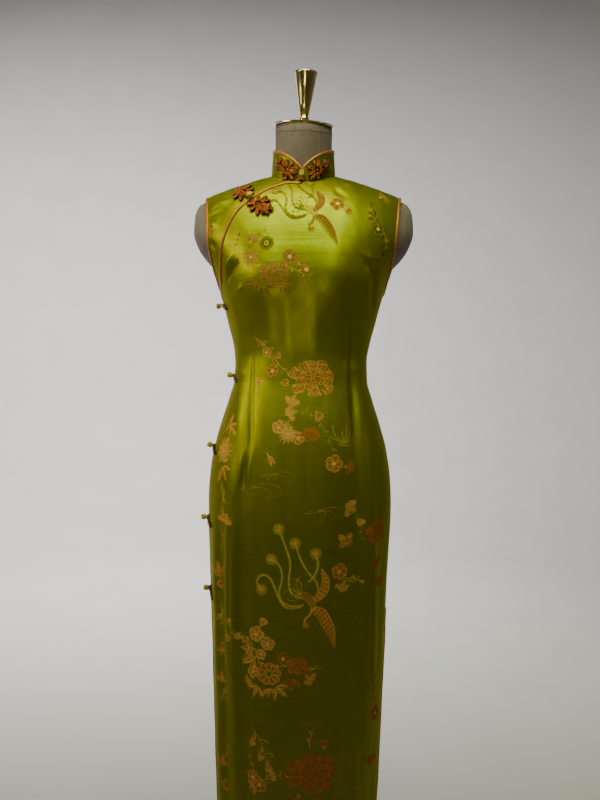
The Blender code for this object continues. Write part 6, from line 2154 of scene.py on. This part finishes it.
def on_collar(centre_x, centre_height):
    def place(u, v, lift):
        u, v, lift = np.broadcast_arrays(np.atleast_1d(u), v, lift)
        turn = math.asin(centre_x / NECKLINE_HALF_WIDTH) + u / NECKLINE_HALF_DEPTH
        lift = lift + PETAL_CLEARANCE
        made = np.array([collar_point(t, centre_height + w, up) for t, w, up in zip(turn, v, lift)])
        base = np.array([collar_point(t, centre_height + w, 0.0) for t, w in zip(turn, v)])
        outward = unit(made - base + 1e-9)
        chest = onto_body(made)
        normal = body_normal(chest)
        short = lift - ((made - chest) * normal).sum(axis=1)
        near = (centre_height + v < 0.012) & (short > 0)
        made = np.where(near[:, None], made + short[:, None] * normal, made)
        return made, np.where(near[:, None], unit(outward + normal), outward)

    return place


def cord_loop(name, place, origin, angle, start, length, width, radius, height, material, steps=24):
    """One petal of a frog's flower: a cord bent out to a tip and back, arched off the cloth."""
    t = np.linspace(0.04, 0.96, steps)
    along = start + length * np.sin(math.pi * t) ** 0.85
    off = 0.5 * width * 1.65 * np.cos(math.pi * t) * np.sin(math.pi * t) ** 0.55
    c, s = math.cos(angle), math.sin(angle)
    share = (along - start) / length
    lift = radius + 0.0003 + height * np.sin(math.pi * np.clip(0.16 + 0.80 * share, 0, 1)) ** 0.8
    centre, outward = place(origin[0] + along * c - off * s, origin[1] + along * s + off * c, lift)
    return swept(name, centre, outward, oval(radius, radius, 8, 2.0), material)


def cord_petal(name, place, origin, angle, reach, width, high, material):
    """A padded petal: the bent cord and the short filling cord that fills its eye."""
    cord = PETAL_CORD * width
    at = name, place, origin, angle
    return [
        cord_loop(*at, 0.10 * reach, 0.90 * reach - cord, width - 2 * cord, cord, high, material),
        cord_loop(*at, 0.30 * reach, 0.46 * reach, 0.10 * width, 0.12 * width, high - 0.0006, material, 12),
    ]


def cord_flower(name, place, radius, bud_angle, bud_length, material):
    """A flower of padded petals round a small coil, with a curled bud of four petals to one side."""
    parts = []
    width = 2 * math.pi * 0.45 * radius / FLOWER_PETALS
    for i in range(FLOWER_PETALS):
        angle = bud_angle + 2 * math.pi * (i + 0.5 + 0.14 * math.sin(2.1 * i)) / FLOWER_PETALS
        reach = radius * (0.97 + 0.07 * math.sin(2.7 * i + 1))
        high = 0.0021 + 0.0006 * math.sin(1.9 * i)
        parts += cord_petal(f"{name}_petal", place, (0.0, 0.0), angle, reach, width, high, material)
    bud = bud_length - FLOWER_BUD_PETAL
    middle = bud * math.cos(bud_angle), bud * math.sin(bud_angle)
    for spread, share, high in FLOWER_BUD_PETALS:
        angle, reach = bud_angle + math.radians(spread), share * FLOWER_BUD_PETAL
        parts += cord_petal(f"{name}_bud", place, middle, angle, reach, 1.05 * width, high, material)
    turn = np.linspace(0, COIL_TURN, COIL_STEPS)
    for at, size in (((0.0, 0.0), 1.0), (middle, 0.8)):
        coil = size * (0.0008 + 0.0019 * turn / turn[-1])
        centre, outward = place(
            at[0] + coil * np.cos(turn), at[1] + coil * np.sin(turn), 0.0046 - 0.0009 * turn / turn[-1]
        )
        parts.append(swept(f"{name}_coil", centre, outward, oval(COIL_CORD, COIL_CORD, 8, 2.0), material))
    return joined(name, parts)


def knot_ball(name, middle, outward, radius, material):
    """A ball button: one cord wound over and under itself round a ball, on a short shank."""
    t = np.linspace(0, 2 * math.pi, KNOT_STEPS, endpoint=False)
    out = unit(np.asarray(outward, float))
    side = unit(np.cross(out, np.array([0.31, 0.2, 0.93])))
    other = np.cross(out, side)
    cord = 0.205 * radius
    spread = (0.50 + 0.29 * np.cos(KNOT_TURNS * t)) * radius
    rise = 0.70 * radius * np.sin(KNOT_TURNS * t)
    centre = (
        np.asarray(middle)
        + (spread * np.cos(KNOT_LEADS * t))[:, None] * side
        + (spread * np.sin(KNOT_LEADS * t))[:, None] * other
        + rise[:, None] * out
    )
    ball = swept(f"{name}_cord", centre, centre - middle, oval(cord, cord, 8, 2.0), material, closed=True)
    core = np.asarray(middle) + out * np.linspace(-0.86, 0.60, 9)[:, None] * radius
    girth = np.sin(np.linspace(0.45, 2.75, 9)) ** 0.7
    heart = swept(f"{name}_heart", core, np.repeat([side], 9, axis=0),
                  oval(0.5 * radius, 0.5 * radius, 10, 2.0), material,
                  taper=girth)
    return joined(name, [ball, heart])


def side_frog_centre(z):
    """A side frog's middle line: up the front panel to the seam, over the binding and down the back."""
    path, outward = [], []
    for distance in SIDE_FROG_PLACES:
        over_binding = float(smoothstep(*SIDE_FROG_CLIMB, abs(distance - SEAM_TO_BINDING)))
        lift = SIDE_CORD_RADIUS + SIDE_CORD_GAP + BINDING_RADIUS * over_binding
        fall = SIDE_FROG_FALL * max(0.0, abs(distance) - SIDE_FROG_LEVEL)
        foot = along_girth(z - fall, distance < 0, abs(distance))
        path.append(dressed(foot[None], lift)[0])
        outward.append(body_normal(foot))
    return rounded(np.array(path), 5), rounded(np.array(outward), 5)


def side_frog(name, z, material):
    """Two cords side by side over the closing, joined in a loop at each end."""
    centre, outward = side_frog_centre(z)
    tangent = unit(np.gradient(centre, axis=0))
    sideways = unit(np.cross(tangent, unit(outward)))
    ease = np.minimum(1, np.sqrt(np.linspace(0, 1, len(centre)) * 12))
    ease = np.minimum(ease, ease[::-1])[:, None] * SIDE_CORD_APART
    loop = np.vstack([centre + sideways * ease, (centre - sideways * ease)[::-1][1:-1]])
    around = np.vstack([outward, outward[::-1][1:-1]])
    loop = resample(looped(loop), SIDE_CORD_STEPS + 1)[:-1]
    around = resample_vectors(around, SIDE_CORD_STEPS)
    return swept(name, loop, around, oval(SIDE_CORD_DRAWN, SIDE_CORD_DRAWN, 8, 2.0), material, closed=True)


def resample_vectors(vectors, count):
    source = looped(vectors)
    return unit(between(np.linspace(0, len(vectors), count, endpoint=False), np.arange(len(source)), source))


# ---------------------------------------------------------------- dress form


def body_reach(z):
    """How far the body extends sideways at this height."""
    low, high = 0.0, float(section(np.array(z), "half_width"))
    if ridge_z(np.array(high)) >= z:
        return high
    for _ in range(40):
        middle = (low + high) / 2
        low, high = (middle, high) if ridge_z(np.array(middle)) > z else (low, middle)
    return low


def body_ring(z, count):
    return round_section(np.linspace(0, 2 * math.pi, count, endpoint=False), body_reach(z), z)


def neck_top():
    """The middle of the form's neck top, and its tilt."""
    lean = COLLAR_LEAN * (FORM_NECK_TOP_Z - neckline_point(math.pi / 2)[2])
    tilt = mathutils.Euler((NECK_CAP_TILT_FORWARD, NECK_CAP_TILT_SIDE, 0.0))
    return np.array([0.0, NECK_CENTRE_Y - lean, FORM_NECK_TOP_Z]), tilt


def form_neck_ring(height, count, proud=0.0):
    """A ring of the form's neck: its foot on the body at height 0, its tilted top at height 1."""
    turn = np.linspace(0, 2 * math.pi, count, endpoint=False)
    flat = np.stack(
        [(FORM_NECK_HALF_WIDTH + proud) * np.sin(turn), -(FORM_NECK_HALF_DEPTH + proud) * np.cos(turn),
         0 * turn], axis=1
    )
    feet = np.array([neckline_point(signed(t)) for t in turn])
    low = flat + np.array([0, NECK_CENTRE_Y, -FORM_NECK_FOOT_DROP])
    low[:, 2] += feet[:, 2]
    centre, tilt = neck_top()
    high = flat @ np.array(tilt.to_matrix()).T + centre
    return low + (high - low) * height


def inside_cloth(points):
    """The body's points moved in to the form's own face, clear of the cloth's troughs."""
    x, z = np.abs(points[:, 0]), points[:, 2]
    depth = WALL + FORM_CLEARANCE - (FORM_CLEARANCE - FORM_CLEARANCE_ON_RIDGE) * smoothstep(
        0.012, 0.003, ridge_z(x) - z
    )
    armhole_x = ARMHOLE_CURVE(z)
    past = smoothstep(0.005, 0.016, x - armhole_x) * smoothstep(1.262, 1.280, z)
    depth = depth + (FORM_CLEARANCE_PAST_ARMHOLE - depth) * past
    depth = depth + np.maximum(-relief(points), 0) * (1 - past)
    return points - body_normal(points) * depth[:, None]


def form_rings(count):
    below, above = FORM_LEVELS
    levels = np.concatenate([np.linspace(FORM_BOTTOM_Z, *below), np.linspace(*above)])
    rings = [body_ring(z, count) for z in levels]
    foot = form_neck_ring(0, count)
    rising = [onto_body(rings[-1] + (foot - rings[-1]) * t, 30) for t in np.linspace(*FORM_RISE)]
    body = [inside_cloth(ring) for ring in rings + rising]
    return np.array(body + [form_neck_ring(h, count) for h in np.linspace(0, 1, FORM_NECK_ROWS)])


def torso(material):
    """The linen-covered torso, closed flat below and under the neck cap."""
    rings = form_rings(FORM_COLUMNS)
    rows, columns = rings.shape[:2]
    points = np.vstack([rings.reshape(-1, 3), rings[0].mean(axis=0), rings[-1].mean(axis=0)])
    low, high, last = rows * columns, rows * columns + 1, (rows - 1) * columns
    faces = grid_faces(rows, columns, closed=True)
    faces += [(low, (c + 1) % columns, c) for c in range(columns)]
    faces += [(high, last + c, last + (c + 1) % columns) for c in range(columns)]
    up = np.concatenate([[0], np.cumsum(np.linalg.norm(np.diff(rings, axis=0), axis=-1).mean(axis=1))])
    turn = np.abs(np.linspace(-FORM_UV_HALF_WIDTH, FORM_UV_HALF_WIDTH, columns, endpoint=False))
    uv = np.vstack([np.stack([np.tile(turn, rows), np.repeat(up, columns)], axis=1), [[0, 0], [0, up[-1]]]])
    made = mesh_object("linen_torso", points, faces, material, uv)
    if volume(made) < 0:
        made.data.flip_normals()
    return made


def neck_seam_lines():
    """The neck's stitched lines, four uprights and a round, and whether each is closed."""
    count, rows = 96, np.linspace(*NECK_SEAM_SPAN, 24)
    lines = []
    for turn_deg in NECK_SEAM_TURNS_DEG:
        at = int(round(turn_deg % 360 / 360 * count))
        lines.append((np.array([form_neck_ring(h, count, NECK_SEAM_PROUD)[at] for h in rows]), False))
    lines.append((form_neck_ring(NECK_SEAM_ROUND, count, NECK_SEAM_PROUD), True))
    return lines


# ---------------------------------------------------------------- metal parts, shaped as by hand


def nothing_selected():
    if bpy.context.object and bpy.context.object.mode != "OBJECT":
        bpy.ops.object.mode_set(mode="OBJECT")
    bpy.ops.object.select_all(action="DESELECT")


def turned_piece(name, profile, steps, material, edge):
    """A round part drawn up from its lowest disc: each (radius, height) row is an extrude and a resize."""
    nothing_selected()
    radius, height = profile[0]
    bpy.ops.mesh.primitive_circle_add(vertices=steps, radius=radius, fill_type="NGON",
                                      location=(0, 0, height))
    made = bpy.context.object
    made.name = made.data.name = name
    bpy.ops.object.transform_apply(location=True, rotation=True, scale=True)
    bpy.ops.object.mode_set(mode="EDIT")
    bpy.ops.mesh.select_all(action="SELECT")
    for (r0, z0), (r1, z1) in zip(profile, profile[1:]):
        bpy.ops.mesh.extrude_region_move(TRANSFORM_OT_translate={"value": (0, 0, z1 - z0)})
        bpy.ops.transform.resize(value=(r1 / r0, r1 / r0, 1), center_override=(0, 0, z1))
    bpy.ops.mesh.select_all(action="SELECT")
    bpy.ops.mesh.normals_make_consistent(inside=False)
    bpy.ops.object.mode_set(mode="OBJECT")
    if edge:
        bevel = made.modifiers.new("edge", "BEVEL")
        bevel.width, bevel.segments = edge, 2
        bevel.limit_method, bevel.angle_limit = "ANGLE", math.radians(40)
        bpy.ops.object.modifier_apply(modifier="edge")
    bpy.ops.object.shade_smooth_by_angle(angle=math.radians(38))
    made.data.materials.clear()
    made.data.materials.append(material)
    return made


def set_on_neck(made, rise):
    """A round part moved to the neck's tilted top, this far over it, with its place left in its mesh."""
    top, tilt = neck_top()
    up = np.array(tilt.to_matrix())[:, 2]
    nothing_selected()
    made.select_set(True)
    bpy.context.view_layer.objects.active = made
    made.rotation_euler = tilt
    made.location = top + up * rise
    bpy.ops.object.transform_apply(location=True, rotation=True, scale=True)
    return made


# ---------------------------------------------------------------- settings


def length(name, description, default):
    return bpy.props.FloatProperty(name=name, description=description, default=default, min=0.0,
                                   unit="LENGTH", precision=5)


def tint(name, description, default):
    return bpy.props.FloatVectorProperty(
        name=name, description=description, default=default, min=0.0, max=1.0, size=3, subtype="COLOR"
    )


class CheongsamSizes(bpy.types.PropertyGroup):
    """Sizes of the garment's trims."""

    wall: length("Cloth", "Thickness of the garment's cloth", WALL)
    binding_width: length("Binding width", "Width of the bias bindings", 0.0054)
    binding_thickness: length("Binding thickness", "Thickness of the bias bindings", 0.0040)
    figure_lift: length("Figure lift", "How far the woven figures stand off the ground cloth", 0.00028)


class CheongsamColours(bpy.types.PropertyGroup):
    """Colours of the silk, its figures, the trims and the form."""

    satin: tint("Satin", "Ground of the brocade", (0.298, 0.276, 0.000))
    copper: tint("Copper", "Main thread of the figures", (0.62, 0.235, 0.065))
    rust: tint("Rust", "Shaded thread of the figures", (0.42, 0.135, 0.022))
    pink: tint("Pink", "Pale thread of the figures", (0.80, 0.350, 0.110))
    gold: tint("Gold", "Outline of the figures", (0.90, 0.500, 0.150))
    pale: tint("Pale gold", "Lines of the phoenixes' plumes", (0.80, 0.660, 0.120))
    orange: tint("Orange", "Brightest thread of the figures", (0.90, 0.320, 0.060))
    leaf: tint("Leaf", "Leaves of the figures", (0.46, 0.350, 0.025))
    olive: tint("Olive", "Shade and lines on the bright silk", (0.14, 0.120, 0.004))
    binding: tint("Binding", "Bias satin of the bindings", (0.52, 0.170, 0.060))
    cord: tint("Cord", "Cord of the frogs", (0.47, 0.108, 0.036))
    # Cord shadow is painted shade: the colour the frogs' cord is darkened to down its sides
    cord_shadow: tint("Cord shadow", "What the frogs' cord darkens to in its folds", (0.055, 0.018, 0.03))
    knot: tint("Knot", "Ball buttons", (0.74, 0.60, 0.06))
    linen: tint("Linen", "Cover of the dress form", (0.228, 0.146, 0.232))
    brass: tint("Brass", "Neck cap, finial and stand", (0.80, 0.64, 0.27))
    studio: tint("Studio", "Floor and backdrop", (0.44, 0.43, 0.415))


def sizes():
    return bpy.context.scene.cheongsam_sizes


def colours():
    return bpy.context.scene.cheongsam_colours


def finish(maker, *values):
    """The maker's material, made once and shared by the pieces that wear it."""
    return bpy.data.materials.get(values[0] if values else maker.__name__) or maker(*values)


# ---------------------------------------------------------------- operators


class CHEONGSAM_OT_front(bpy.types.Operator):
    """Makes the front panel, from the lapel and the neck down to the hem"""

    bl_idname = "cheongsam.front"
    bl_label = "Front panel"

    def execute(self, context):
        made = panel("front_panel", front_grid(), finish(silk_satin), sizes().wall)
        finished(made, "satin", "front")
        return {"FINISHED"}


class CHEONGSAM_OT_underlap(bpy.types.Operator):
    """Makes the underlap that fills the wearer's right side of the chest"""

    bl_idname = "cheongsam.underlap"
    bl_label = "Underlap"

    def execute(self, context):
        made = panel("underlap_panel", underlap_grid(), finish(silk_satin), sizes().wall)
        finished(made, "satin", "underlap")
        return {"FINISHED"}


class CHEONGSAM_OT_back(bpy.types.Operator):
    """Makes the back panel, cut in one piece"""

    bl_idname = "cheongsam.back"
    bl_label = "Back panel"

    def execute(self, context):
        made = panel("back_panel", back_grid()[:, ::-1], finish(silk_satin), sizes().wall)
        finished(made, "satin", "back")
        return {"FINISHED"}


class CHEONGSAM_OT_collar(bpy.types.Operator):
    """Makes the mandarin collar"""

    bl_idname = "cheongsam.collar"
    bl_label = "Collar"

    def execute(self, context):
        made = collar_panel(finish(silk_satin), sizes().wall)
        finished(made, "satin", "collar")
        return {"FINISHED"}


class CHEONGSAM_OT_figures(bpy.types.Operator):
    """Weaves the brocade's flowers, leaves, butterflies and phoenixes into the cloth"""

    bl_idname = "cheongsam.figures"
    bl_label = "Woven figures"

    def execute(self, context):
        thread = finish(figure_thread)
        for name, owner, chosen in figure_groups():
            tree = cloth_tree(owner)
            made = figures_object(name, chosen, tree, sizes().figure_lift, thread)
            finished(made, "satin")
        return {"FINISHED"}


class CHEONGSAM_OT_bindings(bpy.types.Operator):
    """Binds the collar, the opening, the armholes, the slits and the hem"""

    bl_idname = "cheongsam.bindings"
    bl_label = "Bindings"

    def execute(self, context):
        satin = finish(bias_satin)
        collar = collar_edge_path()
        finished(piping("piping_collar", collar, collar_outward(collar.copy()), satin), "binding",
                 "binding_collar")
        opening = resample(opening_line(), 560)
        finished(piping("piping_opening", *on_cloth_line(opening), satin), "binding", "binding_opening")
        for name, side in (("right", -1), ("left", 1)):
            made = piping(f"piping_armhole_{name}", *on_cloth_line(armhole_line(side)), satin, closed=True)
            finished(made, "binding", f"binding_armhole_{name}")
        for name, back in (("front", False), ("back", True)):
            made = piping(f"piping_{name}_hem", *on_cloth_line(edge_path_of_skirt(back)), satin)
            finished(made, "binding", f"binding_{name}_hem")
        return {"FINISHED"}


class CHEONGSAM_OT_frogs(bpy.types.Operator):
    """Makes the cord flowers at the collar and lapel and the plain frogs down the side"""

    bl_idname = "cheongsam.frogs"
    bl_label = "Frogs"

    def execute(self, context):
        cord = finish(cord_satin)
        for name, x, bud_deg, bud_length in COLLAR_FLOWERS:
            place = on_collar(x, COLLAR_FLOWER_HEIGHT)
            bud = math.radians(bud_deg), bud_length
            made = cord_flower(f"flower_collar_{name}", place, COLLAR_FLOWER_SPAN, *bud, cord)
            finished(made, "binding", f"frog_collar_{name}")
        for name, x, z, bud_deg, bud_length in LAPEL_FLOWERS:
            place = on_chest(x, z)
            bud = math.radians(bud_deg), bud_length
            made = cord_flower(f"flower_lapel_{name}", place, LAPEL_FLOWER_SPAN, *bud, cord)
            finished(made, "binding", f"frog_lapel_{name}")
        for i in range(SIDE_FROG_COUNT):
            made = side_frog(f"side_frog_{i + 1}", SIDE_FROG_TOP_Z - i * SIDE_FROG_STEP, cord)
            finished(made, "binding", f"frog_side_{i + 1}")
        return {"FINISHED"}


class CHEONGSAM_OT_knots(bpy.types.Operator):
    """Makes the ball buttons"""

    bl_idname = "cheongsam.knots"
    bl_label = "Ball buttons"

    def execute(self, context):
        silk = finish(knot_satin)
        places = {"button_collar": KNOT_RADIUS, "button_lapel": KNOT_RADIUS}
        places.update({f"button_side_{i + 1}": SIDE_KNOT_RADIUS for i in range(SIDE_FROG_COUNT)})
        for node, radius in places.items():
            low, high = (np.array(corner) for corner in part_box(node))
            middle = (low + high) / 2
            if node == "button_collar":
                outward = collar_outward(np.array([middle, middle]))[0]
            else:
                outward = body_normal(middle)
            made = knot_ball(node.replace("button", "knot"), middle, outward, KNOT_FULLNESS * radius, silk)
            finished(made, "knot", node)
        return {"FINISHED"}


class CHEONGSAM_OT_form(bpy.types.Operator):
    """Makes the linen torso and the stitched lines of its neck"""

    bl_idname = "cheongsam.form"
    bl_label = "Dress form"

    def execute(self, context):
        made = torso(finish(cover_linen))
        finished(made, "linen", "form_torso")
        thread = finish(seam_thread)
        parts = []
        for line, closed in neck_seam_lines():
            out = unit((line - line.mean(axis=0)) * [1, 1, 0]) if closed else unit(line * [1, 1, 0])
            parts.append(swept("seam", line, out, oval(0.00042, 0.00030, 6, 2.0), thread, closed=closed))
        finished(joined("neck_seams", parts), "linen")
        return {"FINISHED"}


class CHEONGSAM_OT_brass(bpy.types.Operator):
    """Makes the neck cap, the finial and the stand"""

    bl_idname = "cheongsam.brass"
    bl_label = "Brass parts"

    def execute(self, context):
        r, t, edge = NECK_CAP_RADIUS, NECK_CAP_THICKNESS, NECK_CAP_EDGE
        polished = finish(aged_brass, "polished_brass", POLISHED_ROUGHNESS)
        satin = finish(aged_brass, "satin_brass", SATIN_ROUGHNESS)
        rows = (r - edge, 0), (r, edge), (r, t - edge), (r - NECK_CAP_TOP_EDGE, t)
        cap = turned_piece("brass_neck_cap", rows, 128, polished, 0)
        finished(set_on_neck(cap, SEAM_GAP), "brass", "neck_cap")
        finial = turned_piece("brass_finial", FINIAL, 96, polished, 0)
        finished(set_on_neck(finial, t + 2 * SEAM_GAP), "brass", "finial")
        stand = turned_piece("brass_stand", stand_profile(), 128, satin, 0.0005)
        finished(stand, "stand", "stand")
        return {"FINISHED"}


class CHEONGSAM_OT_cloth_facts(bpy.types.Operator):
    """Does nothing: no panel's cut size is stated"""

    bl_idname = "cheongsam.cloth_facts"
    bl_label = "Cut sizes"

    def execute(self, context):
        return {"FINISHED"}


class CHEONGSAM_OT_stage(bpy.types.Operator):
    """Sets the floor, the soft lights and the camera"""

    bl_idname = "cheongsam.stage"
    bl_label = "Stage"

    def execute(self, context):
        floor()
        for row in LIGHTS:
            lamp(*row)
        surroundings()
        camera()
        return {"FINISHED"}


def cloth_tree(owner):
    mesh = bpy.data.objects[owner].data
    co = np.empty(len(mesh.vertices) * 3)
    mesh.vertices.foreach_get("co", co)
    return BVHTree.FromPolygons(co.reshape(-1, 3).tolist(), [tuple(p.vertices) for p in mesh.polygons])


def stand_profile():
    top = FORM_BOTTOM_Z - SEAM_GAP
    return (
        *((BASE_RADIUS + out, up) for out, up in BASE_RIM),
        *((BASE_RADIUS + out, BASE_HEIGHT + up) for out, up in BASE_TOP),
        *((POLE_RADIUS + out, BASE_HEIGHT + up) for out, up in POLE_FOOT),
        (POLE_RADIUS, top - FLANGE_HEIGHT - 0.003), (0.020, top - FLANGE_HEIGHT),
        (FLANGE_RADIUS, top - 0.004), (FLANGE_RADIUS, top),
    )


def floor():
    nothing_selected()
    bpy.ops.mesh.primitive_circle_add(vertices=96, radius=STAGE_RADIUS, fill_type="NGON", location=(0, 0, 0))
    made = bpy.context.object
    made.name = made.data.name = "stage_floor"
    bpy.ops.object.mode_set(mode="EDIT")
    bpy.ops.mesh.select_all(action="SELECT")
    radius = STAGE_RADIUS
    for grow, rise in STAGE_SWEEP:
        bpy.ops.mesh.extrude_region_move(TRANSFORM_OT_translate={"value": (0, 0, rise)})
        bpy.ops.transform.resize(value=((radius + grow) / radius,) * 2 + (1,), center_override=(0, 0, 0))
        radius += grow
    bpy.ops.mesh.delete(type="ONLY_FACE")
    bpy.ops.object.mode_set(mode="OBJECT")
    bpy.ops.object.shade_smooth()
    made.data.materials.append(finish(studio_paper))


def lamp(name, place, aim, width, depth, spread_deg, power, colour):
    data = bpy.data.lights.new(name, "AREA")
    data.shape, data.size, data.size_y, data.energy, data.color = "ELLIPSE", width, depth, power, colour
    data.spread = math.radians(spread_deg)
    made = bpy.data.objects.new(name, data)
    bpy.context.scene.collection.objects.link(made)
    made.location = place
    made.rotation_euler = (mathutils.Vector(aim) - mathutils.Vector(place)).to_track_quat("-Z",
                                                                                          "Y").to_euler()


def surroundings():
    world = bpy.data.worlds.new("studio")
    bpy.context.scene.world = world
    world.use_nodes = True
    world.node_tree.nodes["Background"].inputs["Color"].default_value = (*WORLD_COLOUR, 1.0)
    world.node_tree.nodes["Background"].inputs["Strength"].default_value = WORLD_STRENGTH


def camera():
    data = bpy.data.cameras.new("view")
    made = bpy.data.objects.new("view", data)
    bpy.context.scene.collection.objects.link(made)
    turn, roll = math.radians(CAMERA_TURN_DEG), math.radians(CAMERA_ROLL_DEG)
    back = mathutils.Vector((math.sin(turn), -math.cos(turn), 0.0))
    right = mathutils.Vector((math.cos(turn), math.sin(turn), 0.0))
    up = mathutils.Vector((0.0, 0.0, 1.0))
    tipped = mathutils.Matrix((
        right * math.cos(roll) + up * math.sin(roll), up * math.cos(roll) - right * math.sin(roll), back
    )).transposed()
    made.matrix_world = mathutils.Matrix.Translation(back * CAMERA_DISTANCE + up * CAMERA_Z) @ tipped.to_4x4()
    data.sensor_width = SENSOR_WIDTH
    data.lens = data.sensor_width * CAMERA_DISTANCE / VIEW_HEIGHT
    data.shift_x = CAMERA_SHIFT_X
    data.clip_start, data.clip_end = 0.05, 60.0
    bpy.context.scene.camera = made


class CHEONGSAM_PT_pieces(bpy.types.Panel):
    """The cheongsam's pieces and settings"""

    bl_idname = "CHEONGSAM_PT_pieces"
    bl_label = "Cheongsam"
    bl_space_type = "VIEW_3D"
    bl_region_type = "UI"
    bl_category = "Cheongsam"

    def draw(self, context):
        for group in (context.scene.cheongsam_sizes, context.scene.cheongsam_colours):
            box = self.layout.box()
            for name in group.__annotations__:
                box.prop(group, name)
        for operator in OPERATORS:
            self.layout.operator(operator.bl_idname)


OPERATORS = (
    CHEONGSAM_OT_front, CHEONGSAM_OT_underlap, CHEONGSAM_OT_back, CHEONGSAM_OT_collar, CHEONGSAM_OT_figures,
    CHEONGSAM_OT_bindings, CHEONGSAM_OT_frogs, CHEONGSAM_OT_knots, CHEONGSAM_OT_form, CHEONGSAM_OT_brass,
    CHEONGSAM_OT_cloth_facts, CHEONGSAM_OT_stage,
)
CLASSES = (CheongsamSizes, CheongsamColours, *OPERATORS, CHEONGSAM_PT_pieces)


def register():
    for one in CLASSES:
        bpy.utils.register_class(one)
    bpy.types.Scene.cheongsam_sizes = bpy.props.PointerProperty(type=CheongsamSizes)
    bpy.types.Scene.cheongsam_colours = bpy.props.PointerProperty(type=CheongsamColours)


def unregister():
    del bpy.types.Scene.cheongsam_colours
    del bpy.types.Scene.cheongsam_sizes
    for one in reversed(CLASSES):
        bpy.utils.unregister_class(one)


def main():
    register()
    for operator in OPERATORS:
        group, _, name = operator.bl_idname.partition(".")
        getattr(getattr(bpy.ops, group), name)()


if __name__ == "__main__":
    main()
